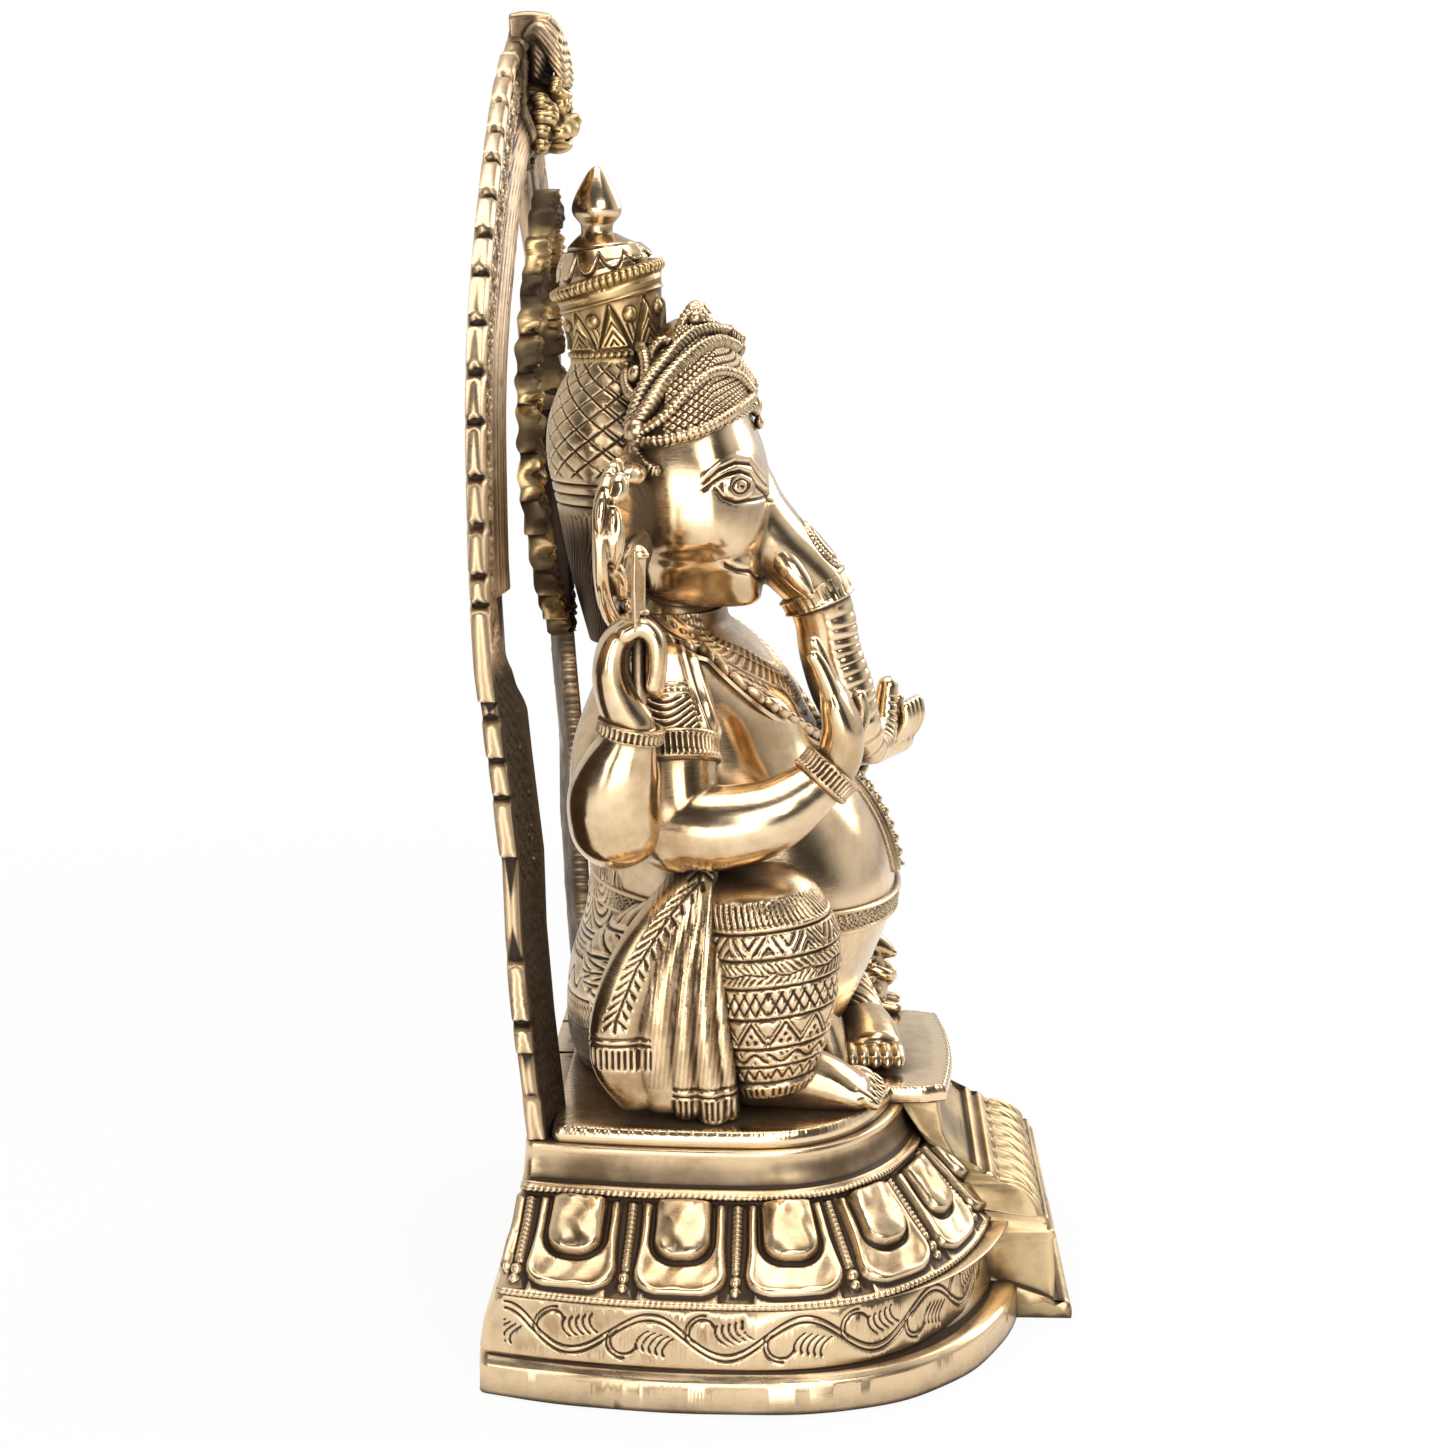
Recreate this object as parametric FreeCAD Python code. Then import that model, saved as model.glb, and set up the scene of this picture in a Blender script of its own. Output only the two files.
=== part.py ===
import FreeCAD, Part
import math
import os

# Seated four-armed Ganesha under a cogged arch, an assembly of brazed brass castings.
# Millimetres. +Z up, the figure faces -Y, its right hand is on the -X side.
# The origin is the middle of the footprint, on the surface that the idol stands on.

V = FreeCAD.Vector

# ---- Pedestal ----
base_depth = 136.0            # flat back of the foot to the front of the step
foot_half_width = 98.0
foot_front_reach = 72.5       # widest line to the front of the rounded foot
side_curve_reach = 132.0      # how slowly the sides narrow towards the flat back
widest_line_from_back = 58.5
foot_height = 9.5
foot_ledge = 1.8              # the band stands this far inside the foot
band_height = 14.5
lotus_height = 18.5
lotus_side_flare = 22.5       # how far the lotus tier slopes in at the sides
lotus_front_flare = 17.0
cove_height = 8.8
cove_depth = 4.0
bead_height = 1.6
bead_reach = 1.4
pedestal_back_lean = 9.5      # how much further forward the deck's back edge is than the foot's
pedestal_wall = 3.6
front_points = 14             # corners round the front half of each level
side_points = 2
petals_per_side = 5
petal_width = 16.0
petal_thickness = 1.5
petal_boss_height = 2.6
petal_rod_radius = 1.3

# ---- Seat and step ----
seat_thickness = 4.0
seat_inset = 1.5              # seat edge inside the deck edge
lobe_half_width = 33.0
lobe_reach = 49.5             # widest line to the front of the lobe
step_half_width = 31.0
step_wide_half_width = 39.5
step_foot_half_width = 38.0
step_foot_thickness = 4.0
step_ridge_radius = 1.3
step_flutes = 11
step_depth = 9.0              # how far the step reaches back into the pedestal

# ---- Fixing bolts ----
bolt_spacing = 40.0
bolt_radius = 4.0
bolt_clearance = 0.3
bolt_length = 26.0
bolt_head_height = 5.5
bolt_head_across_flats = 13.0

# ---- Arch ----
arch_top_z = 303.0
arch_shoulder_z = 211.0
arch_shoulder_half_width = 87.0
arch_spring_z = 137.0
arch_spring_half_width = 75.5
arch_foot_half_width = 63.0
arch_top_lean = 1.8           # how far the point bends forward
arch_leg_width = 14.0
arch_band_width = 24.5        # outer edge to the opening at the shoulders
arch_opening_top_z = 268.0
arch_depth = 6.0
arch_top_points = 11          # corners from each shoulder to the point
crest_rise = 2.0              # the plume stands this far above the arch's point
cog_reach = 2.3
cog_length = 9.2
cog_pitch = 10.9

# ---- Flame ring ----
ring_top_z = 266.5
ring_bottom_z = 157.5
ring_half_width = 34.0
ring_widest_z = 211.0
ring_strip = 6.0
ring_depth = 4.5
ring_lean = 4.0               # how far its foot stands forward of its top
ring_belly = 1.8              # how far its middle stands back into the opening

# ---- Body ----
body_line_from_back = 44.0    # flat back to the line up the middle of the body
belly_front = 49.5
belly_half_width = 45.0
belly_height = 42.0
chest_half_width = 43.0
chest_front = 23.5
back_reach = 23.0
neck_half_width = 17.0
neck_height = 115.0           # seat to the jaw
dress_thickness = 1.6         # how far collar, sash, belt and bands stand off the body

# ---- Head ----
head_half_width = 32.0
head_height = 64.0
head_front = 18.5             # body line to the brow
head_back = 17.0
trunk_root_radius = 13.0
trunk_mid_radius = 6.0
trunk_tip_radius = 2.6
ear_width = 30.0
ear_height = 36.0
ear_thickness = 3.2

# ---- Crown ----
bun_radius = 20.0
bun_height = 35.0
drum_foot_radius = 11.0
drum_top_radius = 13.0
drum_height = 16.5
brim_radius = 14.2
brim_height = 3.0
brim_tilt = 17.0
dome_height = 9.5
finial_height = 15.5
finial_radius = 5.6
tiara_height = 30.0           # brow to the peak

# ---- Limbs ----
shoulder_half_width = 41.0
upper_arm_radius = 11.0
forearm_radius = 9.0
wrist_radius = 5.6
rear_arm_radius = 10.6
finger_radius = 2.2
loop_radius = 8.0
knee_half_spread = 49.5
leg_radius = 14.5

# ---- Places that follow from the sizes ----
back_y = base_depth / 2
front_y = -base_depth / 2
widest_y = back_y - widest_line_from_back
body_line_y = back_y - body_line_from_back
band_top_z = foot_height + band_height
lotus_top_z = band_top_z + lotus_height
deck_z = lotus_top_z + cove_height
seat_z = deck_z + seat_thickness
band_half_width = foot_half_width - foot_ledge
deck_half_width = band_half_width - lotus_side_flare - cove_depth
deck_front_reach = foot_front_reach - foot_ledge - lotus_front_flare - cove_depth
deck_back_y = back_y - pedestal_back_lean
jaw_z = seat_z + neck_height
head_top_z = jaw_z + head_height
crest_top_z = arch_top_z + crest_rise


def closed(points):
    return Part.makePolygon(points + points[:1])


def solid_of(shape):
    """The one body of a shape, without slivers that a cut can leave."""
    return max(shape.Solids, key=lambda solid: solid.Volume)


def seated(shape, *carriers):
    """The shape with its neighbours' room taken out, so that it meets them face to face."""
    for carrier in carriers:
        shape = shape.cut(carrier)
    return solid_of(shape)


def mirrored(shape):
    return shape.mirror(V(0, 0, 0), V(1, 0, 0))


def box(x_range, y_range, z_range):
    corner = V(x_range[0], y_range[0], z_range[0])
    return Part.makeBox(x_range[1] - x_range[0], y_range[1] - y_range[0], z_range[1] - z_range[0], corner)


def oval(centre, across, upward, half_width, reach, squareness=2.0, count=12):
    """The corners of a rounded outline round centre."""
    points = []
    for i in range(count):
        turn = 2 * math.pi * (i + 0.5) / count
        c, s = math.cos(turn), math.sin(turn)
        u = math.copysign(abs(c) ** (2 / squareness), c) * half_width
        v = math.copysign(abs(s) ** (2 / squareness), s) * reach
        points.append(centre + across * u + upward * v)
    return points


def level(z, half_width, front, back, x=0.0, squareness=2.2, count=14):
    """A horizontal oval. front and back are reaches from the body line."""
    middle = V(x, body_line_y - (front - back) / 2, z)
    return oval(middle, V(1, 0, 0), V(0, 1, 0), half_width, (front + back) / 2, squareness, count)


def facet(a, b, c):
    return Part.Face(Part.makePolygon([a, b, c, a]))


def loft(outlines):
    """A closed skin through outlines that have as many corners each, with flat ends."""
    faces = [Part.Face(closed(outlines[0][::-1])), Part.Face(closed(outlines[-1]))]
    for low, high in zip(outlines, outlines[1:]):
        for i in range(len(low)):
            j = (i + 1) % len(low)
            a, b, c, d = low[i], low[j], high[j], high[i]
            lean = (b - a).cross(c - a)
            if abs(lean.dot(d - a)) < 1e-7 * lean.Length:
                faces.append(Part.Face(closed([a, b, c, d])))
            else:
                faces += [facet(a, b, c), facet(a, c, d)]
    solid = Part.Solid(Part.Shell(faces))
    return solid if solid.Volume > 0 else solid.reversed()


def limb(stations, side=V(1, 0, 0), rounded=(True, True), count=7):
    """A round bar through stations of (x, y, z, radius) or (x, y, z, radius to the side, other radius)."""
    centres = [V(*station[:3]) for station in stations]
    rings = []
    for i, station in enumerate(stations):
        ahead = centres[min(i + 1, len(centres) - 1)]
        behind = centres[max(i - 1, 0)]
        rings.append((centres[i], (ahead - behind).normalize(), station[3], station[-1]))
    for at_end in (False, True):
        if not rounded[at_end]:
            continue
        centre, tangent, wide, deep = rings[-1 if at_end else 0]
        outward = tangent if at_end else tangent * -1
        cap = (centre + outward * (min(wide, deep) * 0.65), tangent, wide * 0.6, deep * 0.6)
        rings = rings + [cap] if at_end else [cap] + rings
    outlines = []
    for centre, tangent, wide, deep in rings:
        across = (side - tangent * side.dot(tangent)).normalize()
        outlines.append(oval(centre, across, tangent.cross(across), wide, deep, count=count))
    return loft(outlines)


def plan(z, half_width, front_reach, flat_back_y):
    """A pedestal outline: a half ellipse in front, slowly narrowing sides and a flat back."""
    points = []
    for i in range(front_points + 1):
        turn = math.pi * i / front_points
        points.append(V(-half_width * math.cos(turn), widest_y - front_reach * math.sin(turn), z))
    corner = math.asin((flat_back_y - widest_y) / side_curve_reach)
    for side in (1, -1):
        for i in (range(1, side_points + 1) if side > 0 else range(side_points, 0, -1)):
            turn = corner * i / side_points
            points.append(V(side * half_width * math.cos(turn), widest_y + side_curve_reach * math.sin(turn), z))
    return points


def flat_back(z):
    """Where the flat back stands at a height: upright at the foot, then leaning forward to the deck."""
    share = max(z - foot_height, 0) / (deck_z - foot_height)
    return back_y - pedestal_back_lean * math.sin(share * math.pi / 2)


def pedestal_levels():
    """Heights of the outside with half width, front reach and back edge, from the floor to the deck."""
    step = 0.2
    side_top, front_top = foot_ledge + lotus_side_flare, foot_ledge + lotus_front_flare
    rows = [(0.0, 0.0, 0.0), (foot_height - 1.5, 0.5, 0.5), (foot_height, 1.2, 1.2),
            (foot_height + step, foot_ledge, foot_ledge)]
    for z, outward in ((band_top_z, 0.0), (band_top_z + bead_height / 2, bead_reach),
                       (band_top_z + bead_height, -0.8)):
        rows.append((z, foot_ledge - outward, foot_ledge - outward))
    for z, inward in ((lotus_top_z - bead_height, 0.0), (lotus_top_z - bead_height / 2, -bead_reach),
                      (lotus_top_z, 0.8), (lotus_top_z + 3.5, cove_depth + 0.2), (deck_z, cove_depth)):
        rows.append((z, side_top + inward, front_top + inward))
    return [(z, foot_half_width - s, foot_front_reach - f, flat_back(z)) for z, s, f in rows]


def stacked(levels):
    return loft([plan(*row) for row in levels])


def flank_walk(z, inset_side, inset_front):
    """Points along one side of the lotus slope at one height, from the back corner to the step."""
    half, reach = foot_half_width - inset_side, foot_front_reach - inset_front
    points = []
    start = math.asin((flat_back(z) - widest_y) / side_curve_reach)
    finish = -math.acos(step_wide_half_width / half)
    for i in range(61):
        turn = start + (finish - start) * i / 60
        ahead = side_curve_reach if turn > 0 else reach
        points.append(V(half * math.cos(turn), widest_y + ahead * math.sin(turn), z))
    return points


def along_walk(points, share):
    """The place at a share of the walk's length."""
    lengths = [(b - a).Length for a, b in zip(points, points[1:])]
    left = sum(lengths) * share
    for a, b, length in zip(points, points[1:], lengths):
        if left <= length:
            return a + (b - a) * (left / length)
        left -= length
    return points[-1]


lower_width = foot_half_width - foot_ledge
upper_width = lower_width - lotus_side_flare
lower_walk = flank_walk(band_top_z + bead_height, foot_ledge + 0.8, foot_ledge + 0.8)
upper_walk = flank_walk(lotus_top_z - bead_height, foot_ledge + lotus_side_flare, foot_ledge + lotus_front_flare)


def flank_frame(share, side):
    """The slope's foot, its direction up the slope, the outward normal and the direction along the wall."""
    low, high = along_walk(lower_walk, share), along_walk(upper_walk, share)
    ahead = along_walk(lower_walk, min(share + 0.02, 1.0)) - along_walk(lower_walk, max(share - 0.02, 0.0))
    low, high, ahead = [V(side * spot.x, spot.y, spot.z) for spot in (low, high, ahead)]
    up = (high - low).normalize()
    normal = ahead.cross(up).normalize()
    if normal.z < 0:
        normal = normal * -1
    return low, up, normal, up.cross(normal), (high - low).Length


def lotus_petal(share, side):
    """A petal with a square top and a round foot, and a raised boss inside its border."""
    low, up, normal, along, length = flank_frame(share, side)
    half, top = petal_width / 2, length - 0.3
    narrowing = (upper_width / lower_width + 1) / 2

    def spot(u, v, height):
        return low + along * (u * (1 - (1 - narrowing) * v / length)) + up * v + normal * height
    outline = [(-half, top), (half, top)]
    outline += [(half * math.cos(math.radians(a)), half + 0.5 - (half - 0.3) * math.sin(math.radians(a)))
                for a in range(0, 181, 45)]
    pad = loft([[spot(u, v, height) for u, v in outline] for height in (-2.0, petal_thickness)])
    rings = []
    for run, width, height in ((0.2, 0.16, 0.4), (0.36, 0.3, 1.0), (0.9, 0.28, 0.6)):
        middle = spot(0, length * run, petal_thickness - 0.4)
        rings.append(oval(middle, along, normal, width * petal_width, height * petal_boss_height, count=6))
    return pad.fuse(loft(rings))


def build_pedestal(notch):
    levels = pedestal_levels()
    wall = pedestal_wall
    hollow_levels = [(-1.0, levels[0][1] - wall, levels[0][2] - wall, levels[0][3] - wall)]
    for index, drop in ((5, 2.5), (7, 2.5), (-1, seat_thickness)):
        z, half, reach, rear = levels[index]
        hollow_levels.append((z - drop, half - wall - 0.5, reach - wall - 0.5, rear - wall))
    outside = stacked(levels)
    relief = []
    for side in (-1, 1):
        for i in range(petals_per_side):
            relief.append(lotus_petal((i + 0.5) / petals_per_side, side))
        for i in range(1, petals_per_side):
            low, up, normal, along, length = flank_frame(i / petals_per_side, side)
            ends = [low + up * (0.2 + k * (length - 0.4)) + normal * 0.2 for k in (0, 1)]
            rod = [oval(end, along, normal, petal_rod_radius, petal_rod_radius, count=4) for end in ends]
            relief.append(loft(rod))
    body = outside.multiFuse(relief).cut(stacked(hollow_levels)).cut(notch)
    for x in (-bolt_spacing / 2, bolt_spacing / 2):
        body = body.cut(Part.makeCylinder(bolt_radius + bolt_clearance, deck_z, V(x, body_line_y, 0)))
    return solid_of(body)


def build_seat_plate():
    """A flat plate with pedestal-shaped sides and an ogee lobe in front."""
    half, reach = deck_half_width - seat_inset, deck_front_reach - seat_inset
    rear = deck_back_y + 0.5 - arch_depth
    plate = Part.Face(closed(plan(deck_z, half, reach, rear))).extrude(V(0, 0, seat_thickness))
    lobe_y, w = widest_y - lobe_reach, lobe_half_width
    lobe = [V(-w, widest_y, deck_z), V(-w, lobe_y + 8.5, deck_z), V(-w + 1.6, lobe_y + 5.5, deck_z)]
    for i in range(11):
        share = i / 10
        lobe.append(V(w * (2 * share - 1), lobe_y + 2.6 - 2.6 * math.sin(math.pi * share), deck_z))
    lobe += [V(w - 1.6, lobe_y + 5.5, deck_z), V(w, lobe_y + 8.5, deck_z), V(w, widest_y, deck_z)]
    plate = plate.fuse(Part.Face(closed(lobe)).extrude(V(0, 0, seat_thickness))).removeSplitter()
    for x in (-bolt_spacing / 2, bolt_spacing / 2):
        hole = Part.makeCylinder(bolt_radius + bolt_clearance, seat_thickness, V(x, body_line_y, deck_z))
        plate = plate.cut(hole)
    return solid_of(plate)


def bow(start, finish, rise, count=5):
    """Points of a shallow curve in the YZ plane from start to finish, bowed to one side by rise."""
    across = V(0, start.z - finish.z, finish.y - start.y).normalize()
    return [start + (finish - start) * (i / count) + across * (rise * math.sin(math.pi * i / count))
            for i in range(count + 1)]


def build_front_step():
    """The cascade below the lobe: a hollow sweep, two ridges, a fluted roll, a third ridge and a foot slab.

    The piece itself, and the notch it fills in the pedestal's front.
    """
    lip_y = widest_y - lobe_reach + 4.5
    ridge_y, ridge_z = front_y + 22.0, deck_z * 0.65
    brow_y, brow_z = front_y + 8.0, deck_z * 0.45
    top, ridge, brow = V(0, lip_y, deck_z), V(0, ridge_y, ridge_z), V(0, brow_y, brow_z)
    surface = bow(top, ridge, -2.4) + bow(ridge, brow, 2.6)[1:]
    surface += [V(0, front_y + 5.0, brow_z - 2.0), V(0, front_y + 4.0, step_foot_thickness)]
    rear = [V(0, front_y + step_depth + 14.0, 0), V(0, front_y + step_depth + 14.0, brow_z),
            V(0, lip_y + 9.0, deck_z)]
    width = step_wide_half_width
    half_shape = [(step_foot_half_width, 0), (width, brow_z), (step_half_width, ridge_z), (step_half_width, deck_z)]
    outline = [V(-x, front_y - 20, z) for x, z in half_shape[::-1]]
    outline += [V(x, front_y - 20, z) for x, z in half_shape]
    front_shape = Part.Face(closed(outline)).extrude(V(0, 80, 0))

    def across(points):
        profile = Part.Face(closed(points))
        profile.translate(V(-width, 0, 0))
        return profile.extrude(V(2 * width, 0, 0)).common(front_shape)
    block = across(surface + [V(0, front_y + 4.0, 0)] + rear)
    notch = across([V(0, front_y - 10, 0)] + rear + [V(0, front_y - 10, deck_z)])
    slab = [V(-step_foot_half_width, y, z) for y, z in (
        (front_y + 8, 0), (front_y, 0), (front_y, step_foot_thickness - 1.2), (front_y + 1.2, step_foot_thickness),
        (front_y + 8, step_foot_thickness))]
    foot = Part.Face(closed(slab)).extrude(V(2 * step_foot_half_width, 0, 0))
    ridges = []
    for y, z, half in ((ridge_y, ridge_z, step_half_width), (ridge_y - 3.2, ridge_z - 0.6, step_half_width + 1.0),
                       (brow_y + 0.6, brow_z + 0.6, width)):
        ends = [oval(V(x, y, z), V(0, 1, 0), V(0, 0, 1), step_ridge_radius, step_ridge_radius, count=6)
                for x in (-half, half)]
        ridges.append(loft(ends))
    flutes = []
    for i in range(step_flutes):
        x = (2 * (i + 0.5) / step_flutes - 1) * (step_half_width + 1.0)
        run = [spot + V(0, -0.3, 0.3) for spot in bow(ridge, brow, 2.6, 4)[1:-1]]
        rings = [oval(V(x * (1 + 0.2 * k / 3), spot.y, spot.z), V(1, 0, 0), V(0, -0.6, 0.8), 1.1, 0.9, count=4)
                 for k, spot in enumerate(run)]
        flutes.append(loft(rings))
    return solid_of(block.multiFuse([foot] + ridges + flutes)), notch.fuse(block)


def build_bolts():
    """Two hexagon screws that hold the figure from below, through the deck and the seat."""
    bolts = []
    head_z = deck_z - seat_thickness - bolt_head_height
    for x in (-bolt_spacing / 2, bolt_spacing / 2):
        corner = bolt_head_across_flats / math.sqrt(3)
        turns = [math.radians(60 * i) for i in range(7)]
        ring = [V(x + corner * math.cos(a), body_line_y + corner * math.sin(a), head_z) for a in turns]
        head = Part.Face(Part.makePolygon(ring)).extrude(V(0, 0, bolt_head_height))
        shank = Part.makeCylinder(bolt_radius, bolt_length, V(x, body_line_y, head_z + bolt_head_height))
        bolts.append(solid_of(head.fuse(shank)))
    return Part.makeCompound(bolts)


def bolt_holes():
    tip = deck_z - seat_thickness + bolt_length + 1.0
    return [Part.makeCylinder(bolt_radius, tip - deck_z, V(x, body_line_y, deck_z))
            for x in (-bolt_spacing / 2, bolt_spacing / 2)]


# ---- Arch ----
def arch_side(top_z, inset):
    """The arch's right-hand edge as points from the spring to the point at the top, moved in by an inset."""
    spring, shoulder = arch_spring_half_width - inset, arch_shoulder_half_width - inset
    points = []
    for i in range(5):
        share = i / 5
        width = spring + (shoulder - spring) * math.sin(share * math.pi / 2)
        points.append(V(width, 0, arch_spring_z + (arch_shoulder_z - arch_spring_z) * share))
    for i in range(arch_top_points + 1):
        rise = math.sin(math.pi / 2 * i / arch_top_points)
        points.append(V(shoulder * (1 - rise ** 2.05), 0, arch_shoulder_z + (top_z - arch_shoulder_z) * rise))
    return points


def arch_outline(inset, top_z, foot_half_width):
    half = [V(foot_half_width, 0, deck_z)] + arch_side(top_z, inset)
    half[-1].x = 0.0
    return closed(half + [V(-spot.x, 0, spot.z) for spot in half[-2::-1]])


def arch_slab():
    """Everything between the arch's front and rear surfaces, which lean forward towards the feet."""
    upright = back_y - 1.0
    rear = [V(-150, y, z) for y, z in (
        (deck_back_y + 0.5, deck_z), (deck_back_y + 2.0, deck_z + 28.0), (upright - 5.2, arch_spring_z - 22.0),
        (upright - 2.2, arch_spring_z + 4.0), (upright, arch_spring_z + 26.0), (upright + 0.6, arch_spring_z + 48.0),
        (upright, arch_top_z - 40), (upright - arch_top_lean, arch_top_z + 10))]
    front = [spot - V(0, arch_depth, 0) for spot in rear[::-1]]
    return Part.Face(closed(rear + front)).extrude(V(300, 0, 0))


def through_prism(wire):
    face = Part.Face(wire)
    face.translate(V(0, 20, 0))
    return face.extrude(V(0, 60, 0))


def build_arch():
    leg_inside = arch_foot_half_width - arch_leg_width
    opening = through_prism(arch_outline(arch_band_width, arch_opening_top_z, leg_inside))
    gap = [V(side * (half - arch_leg_width), 0, z) for side, half, z in (
        (-1, arch_foot_half_width, deck_z - 1), (-1, arch_spring_half_width, arch_spring_z + 20),
        (1, arch_spring_half_width, arch_spring_z + 20), (1, arch_foot_half_width, deck_z - 1))]
    extras = []
    for side in (-1, 1):
        walk = [V(side * spot.x, 0, spot.z) for spot in arch_side(arch_top_z, 0.0)][2:-2]
        length = sum((b - a).Length for a, b in zip(walk, walk[1:]))
        count = int(length / cog_pitch)
        for i in range(count):
            share = (i + 0.5) / count
            middle, ahead = along_walk(walk, share), along_walk(walk, share + 0.01)
            along = (ahead - middle).normalize()
            outward = V(along.z, 0, -along.x) * side
            corners = [(-0.5, -0.8), (-0.46, 1.0), (0.42, 1.0), (0.5, -0.8)]
            points = [middle + along * (u * cog_length) + outward * (v * cog_reach) for u, v in corners]
            extras.append(through_prism(closed(points)))
        for low, high, reach in ((156.0, 177.0, 5.0), (143.0, 151.5, 3.0), (120.0, 133.0, 3.0), (81.0, 95.0, 3.0),
                                 (73.0, 79.5, 2.4), (deck_z, 60.0, 1.5)):
            share = min(((low + high) / 2 - deck_z) / (arch_spring_z - deck_z), 1.0)
            middle = side * (arch_foot_half_width + share * (arch_spring_half_width - arch_foot_half_width))
            near, far = sorted((middle - side * 4, middle + side * reach))
            extras.append(box((near, far), (20, 80), (low, high)))
    frame = through_prism(arch_outline(0.0, arch_top_z, arch_foot_half_width))
    arch = arch_slab().common(frame.multiFuse(extras))
    return solid_of(arch.cut(opening).cut(through_prism(closed(gap))))


def leaf_outline(half_width, low_z, high_z):
    """A long leaf with a pointed tip at both ends."""
    right = []
    for i in range(15):
        turn = math.radians(-90 + 180 * i / 14)
        rise = (high_z - ring_widest_z) if turn > 0 else (ring_widest_z - low_z)
        right.append(V(half_width * math.cos(turn) ** 1.15, 0, ring_widest_z + rise * math.sin(turn)))
    right[0].x = right[-1].x = 0.0
    return closed(right + [V(-spot.x, 0, spot.z) for spot in right[-2:0:-1]])


def build_flame_ring(arch):
    outer = through_prism(leaf_outline(ring_half_width, ring_bottom_z, ring_top_z + 4.0))
    inner = through_prism(leaf_outline(ring_half_width - ring_strip, ring_bottom_z + 9.0, ring_top_z - 8.0))
    rear = back_y - 1.0 - arch_depth
    back_line = [(rear - ring_lean, ring_bottom_z - 5), (rear + ring_belly * 0.6, ring_widest_z - 16),
                 (rear + ring_belly, ring_widest_z + 16), (rear, ring_top_z - 9), (rear, ring_top_z + 8)]
    side_view = [V(-60, y, z) for y, z in back_line] + [V(-60, y - ring_depth, z) for y, z in back_line[::-1]]
    slab = Part.Face(closed(side_view)).extrude(V(120, 0, 0))
    return seated(outer.common(slab).cut(inner), arch)


def turned(profile, foot, tilt=0.0, count=12):
    """A turned piece from (height, radius) pairs above foot, leaned back by tilt degrees."""
    lean = math.radians(tilt)
    axis = V(0, math.sin(lean), math.cos(lean))
    upward = V(0, math.cos(lean), -math.sin(lean))
    return loft([oval(foot + axis * h, V(1, 0, 0), upward, r, r, count=count) for h, r in profile])


def bulge(x, y, z, half_x, half_y, half_z):
    """An egg-shaped boss, one curved surface."""
    rings = []
    for share in (-0.92, -0.4, 0.4, 0.92):
        k = math.sqrt(1 - share ** 2)
        rings.append(oval(V(x, y, z + share * half_z), V(1, 0, 0), V(0, 1, 0), half_x * k, half_y * k, count=8))
    return loft(rings)


def build_mask_and_crest(arch):
    face_y = back_y - 1.0 - arch_depth
    mask_z = arch_opening_top_z + 11.0
    parts = [bulge(0, face_y, mask_z + 1.5, 11.0, 9.5, 9.5), bulge(0, face_y - 8.0, mask_z - 1.0, 4.5, 4.2, 4.0)]
    for side in (-1, 1):
        parts.append(bulge(side * 5.5, face_y - 7.5, mask_z + 4.5, 2.8, 2.8, 2.8))
        parts.append(bulge(side * 9.5, face_y - 1.5, mask_z + 5.0, 4.0, 3.0, 4.5))
    mask = seated(parts[0].multiFuse(parts[1:]), arch, box((-40, 40), (face_y, 90), (200, 320)))
    stem_z = mask_z + 8.0
    rise = crest_top_z - stem_z
    leaf = limb([(0, face_y - 1.5, stem_z, 5.0, 3.4), (0, face_y - 3.5, stem_z + rise * 0.3, 7.5, 3.6),
                 (0, face_y - 6.0, stem_z + rise * 0.6, 8.0, 3.6), (0, face_y - 5.5, stem_z + rise * 0.84, 6.0, 3.2)])
    side_leaves = [limb([(side * 5, face_y - 1.0, stem_z + 1, 3.0), (side * 9, face_y - 2.0, stem_z + 6, 3.0),
                         (side * 10.5, face_y - 2.5, stem_z + 11, 2.2)], count=6) for side in (-1, 1)]
    block = box((-5.0, 5.0), (face_y - 1.5, face_y + arch_depth - 1.5), (arch_top_z - 6.0, crest_top_z - 0.6))
    crest = seated(leaf.multiFuse(side_leaves + [block]), mask, arch)
    return mask, crest


# ---- Body ----
def body_levels(extra=0.0):
    """Cross-sections of belly, chest and neck, from the seat up."""
    h = belly_height
    rows = [(0.0, 0.76, 0.60, 0.96), (0.24, 0.89, 0.75, 1.1), (0.57, 0.96, 0.89, 1.1), (0.95, 1.0, 1.0, 1.04),
            (1.26, 1.0, 0.97, 1.0), (1.55, 0.96, 0.85, 0.97)]
    wires = [level(seat_z + h * k, belly_half_width * w + extra, belly_front * f + extra, back_reach * b + extra)
             for k, w, f, b in rows]
    top = neck_height
    rows = [(0.70, 1.0, 1.22, 0.96), (0.80, 0.98, 0.96, 0.98), (0.88, 0.86, 0.61, 0.95), (0.935, 0.56, 0.33, 0.84)]
    wires += [level(seat_z + top * k, chest_half_width * w + extra, chest_front * f + extra, back_reach * b + extra)
              for k, w, f, b in rows]
    wires.append(level(jaw_z + 1.0, neck_half_width + extra, chest_front * 0.34 + extra, back_reach * 0.62 + extra))
    return wires


def build_torso():
    body = loft(body_levels())
    return solid_of(body.cut(Part.makeCompound(bolt_holes())))


def dress_layer(torso):
    """A skin of even thickness over the body, from which bands, collar and sash are cut."""
    return loft(body_levels(dress_thickness)).cut(torso)


def slanted_slab(low_front, low_back, high_front, high_back):
    """Room between two planes that slope from front to back, given as heights at the two ends."""
    ahead, behind = body_line_y - 80, body_line_y + 60
    points = [V(-90, ahead, low_front), V(-90, behind, low_back), V(-90, behind, high_back), V(-90, ahead, high_front)]
    return Part.Face(Part.makePolygon(points + points[:1])).extrude(V(180, 0, 0))


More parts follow.
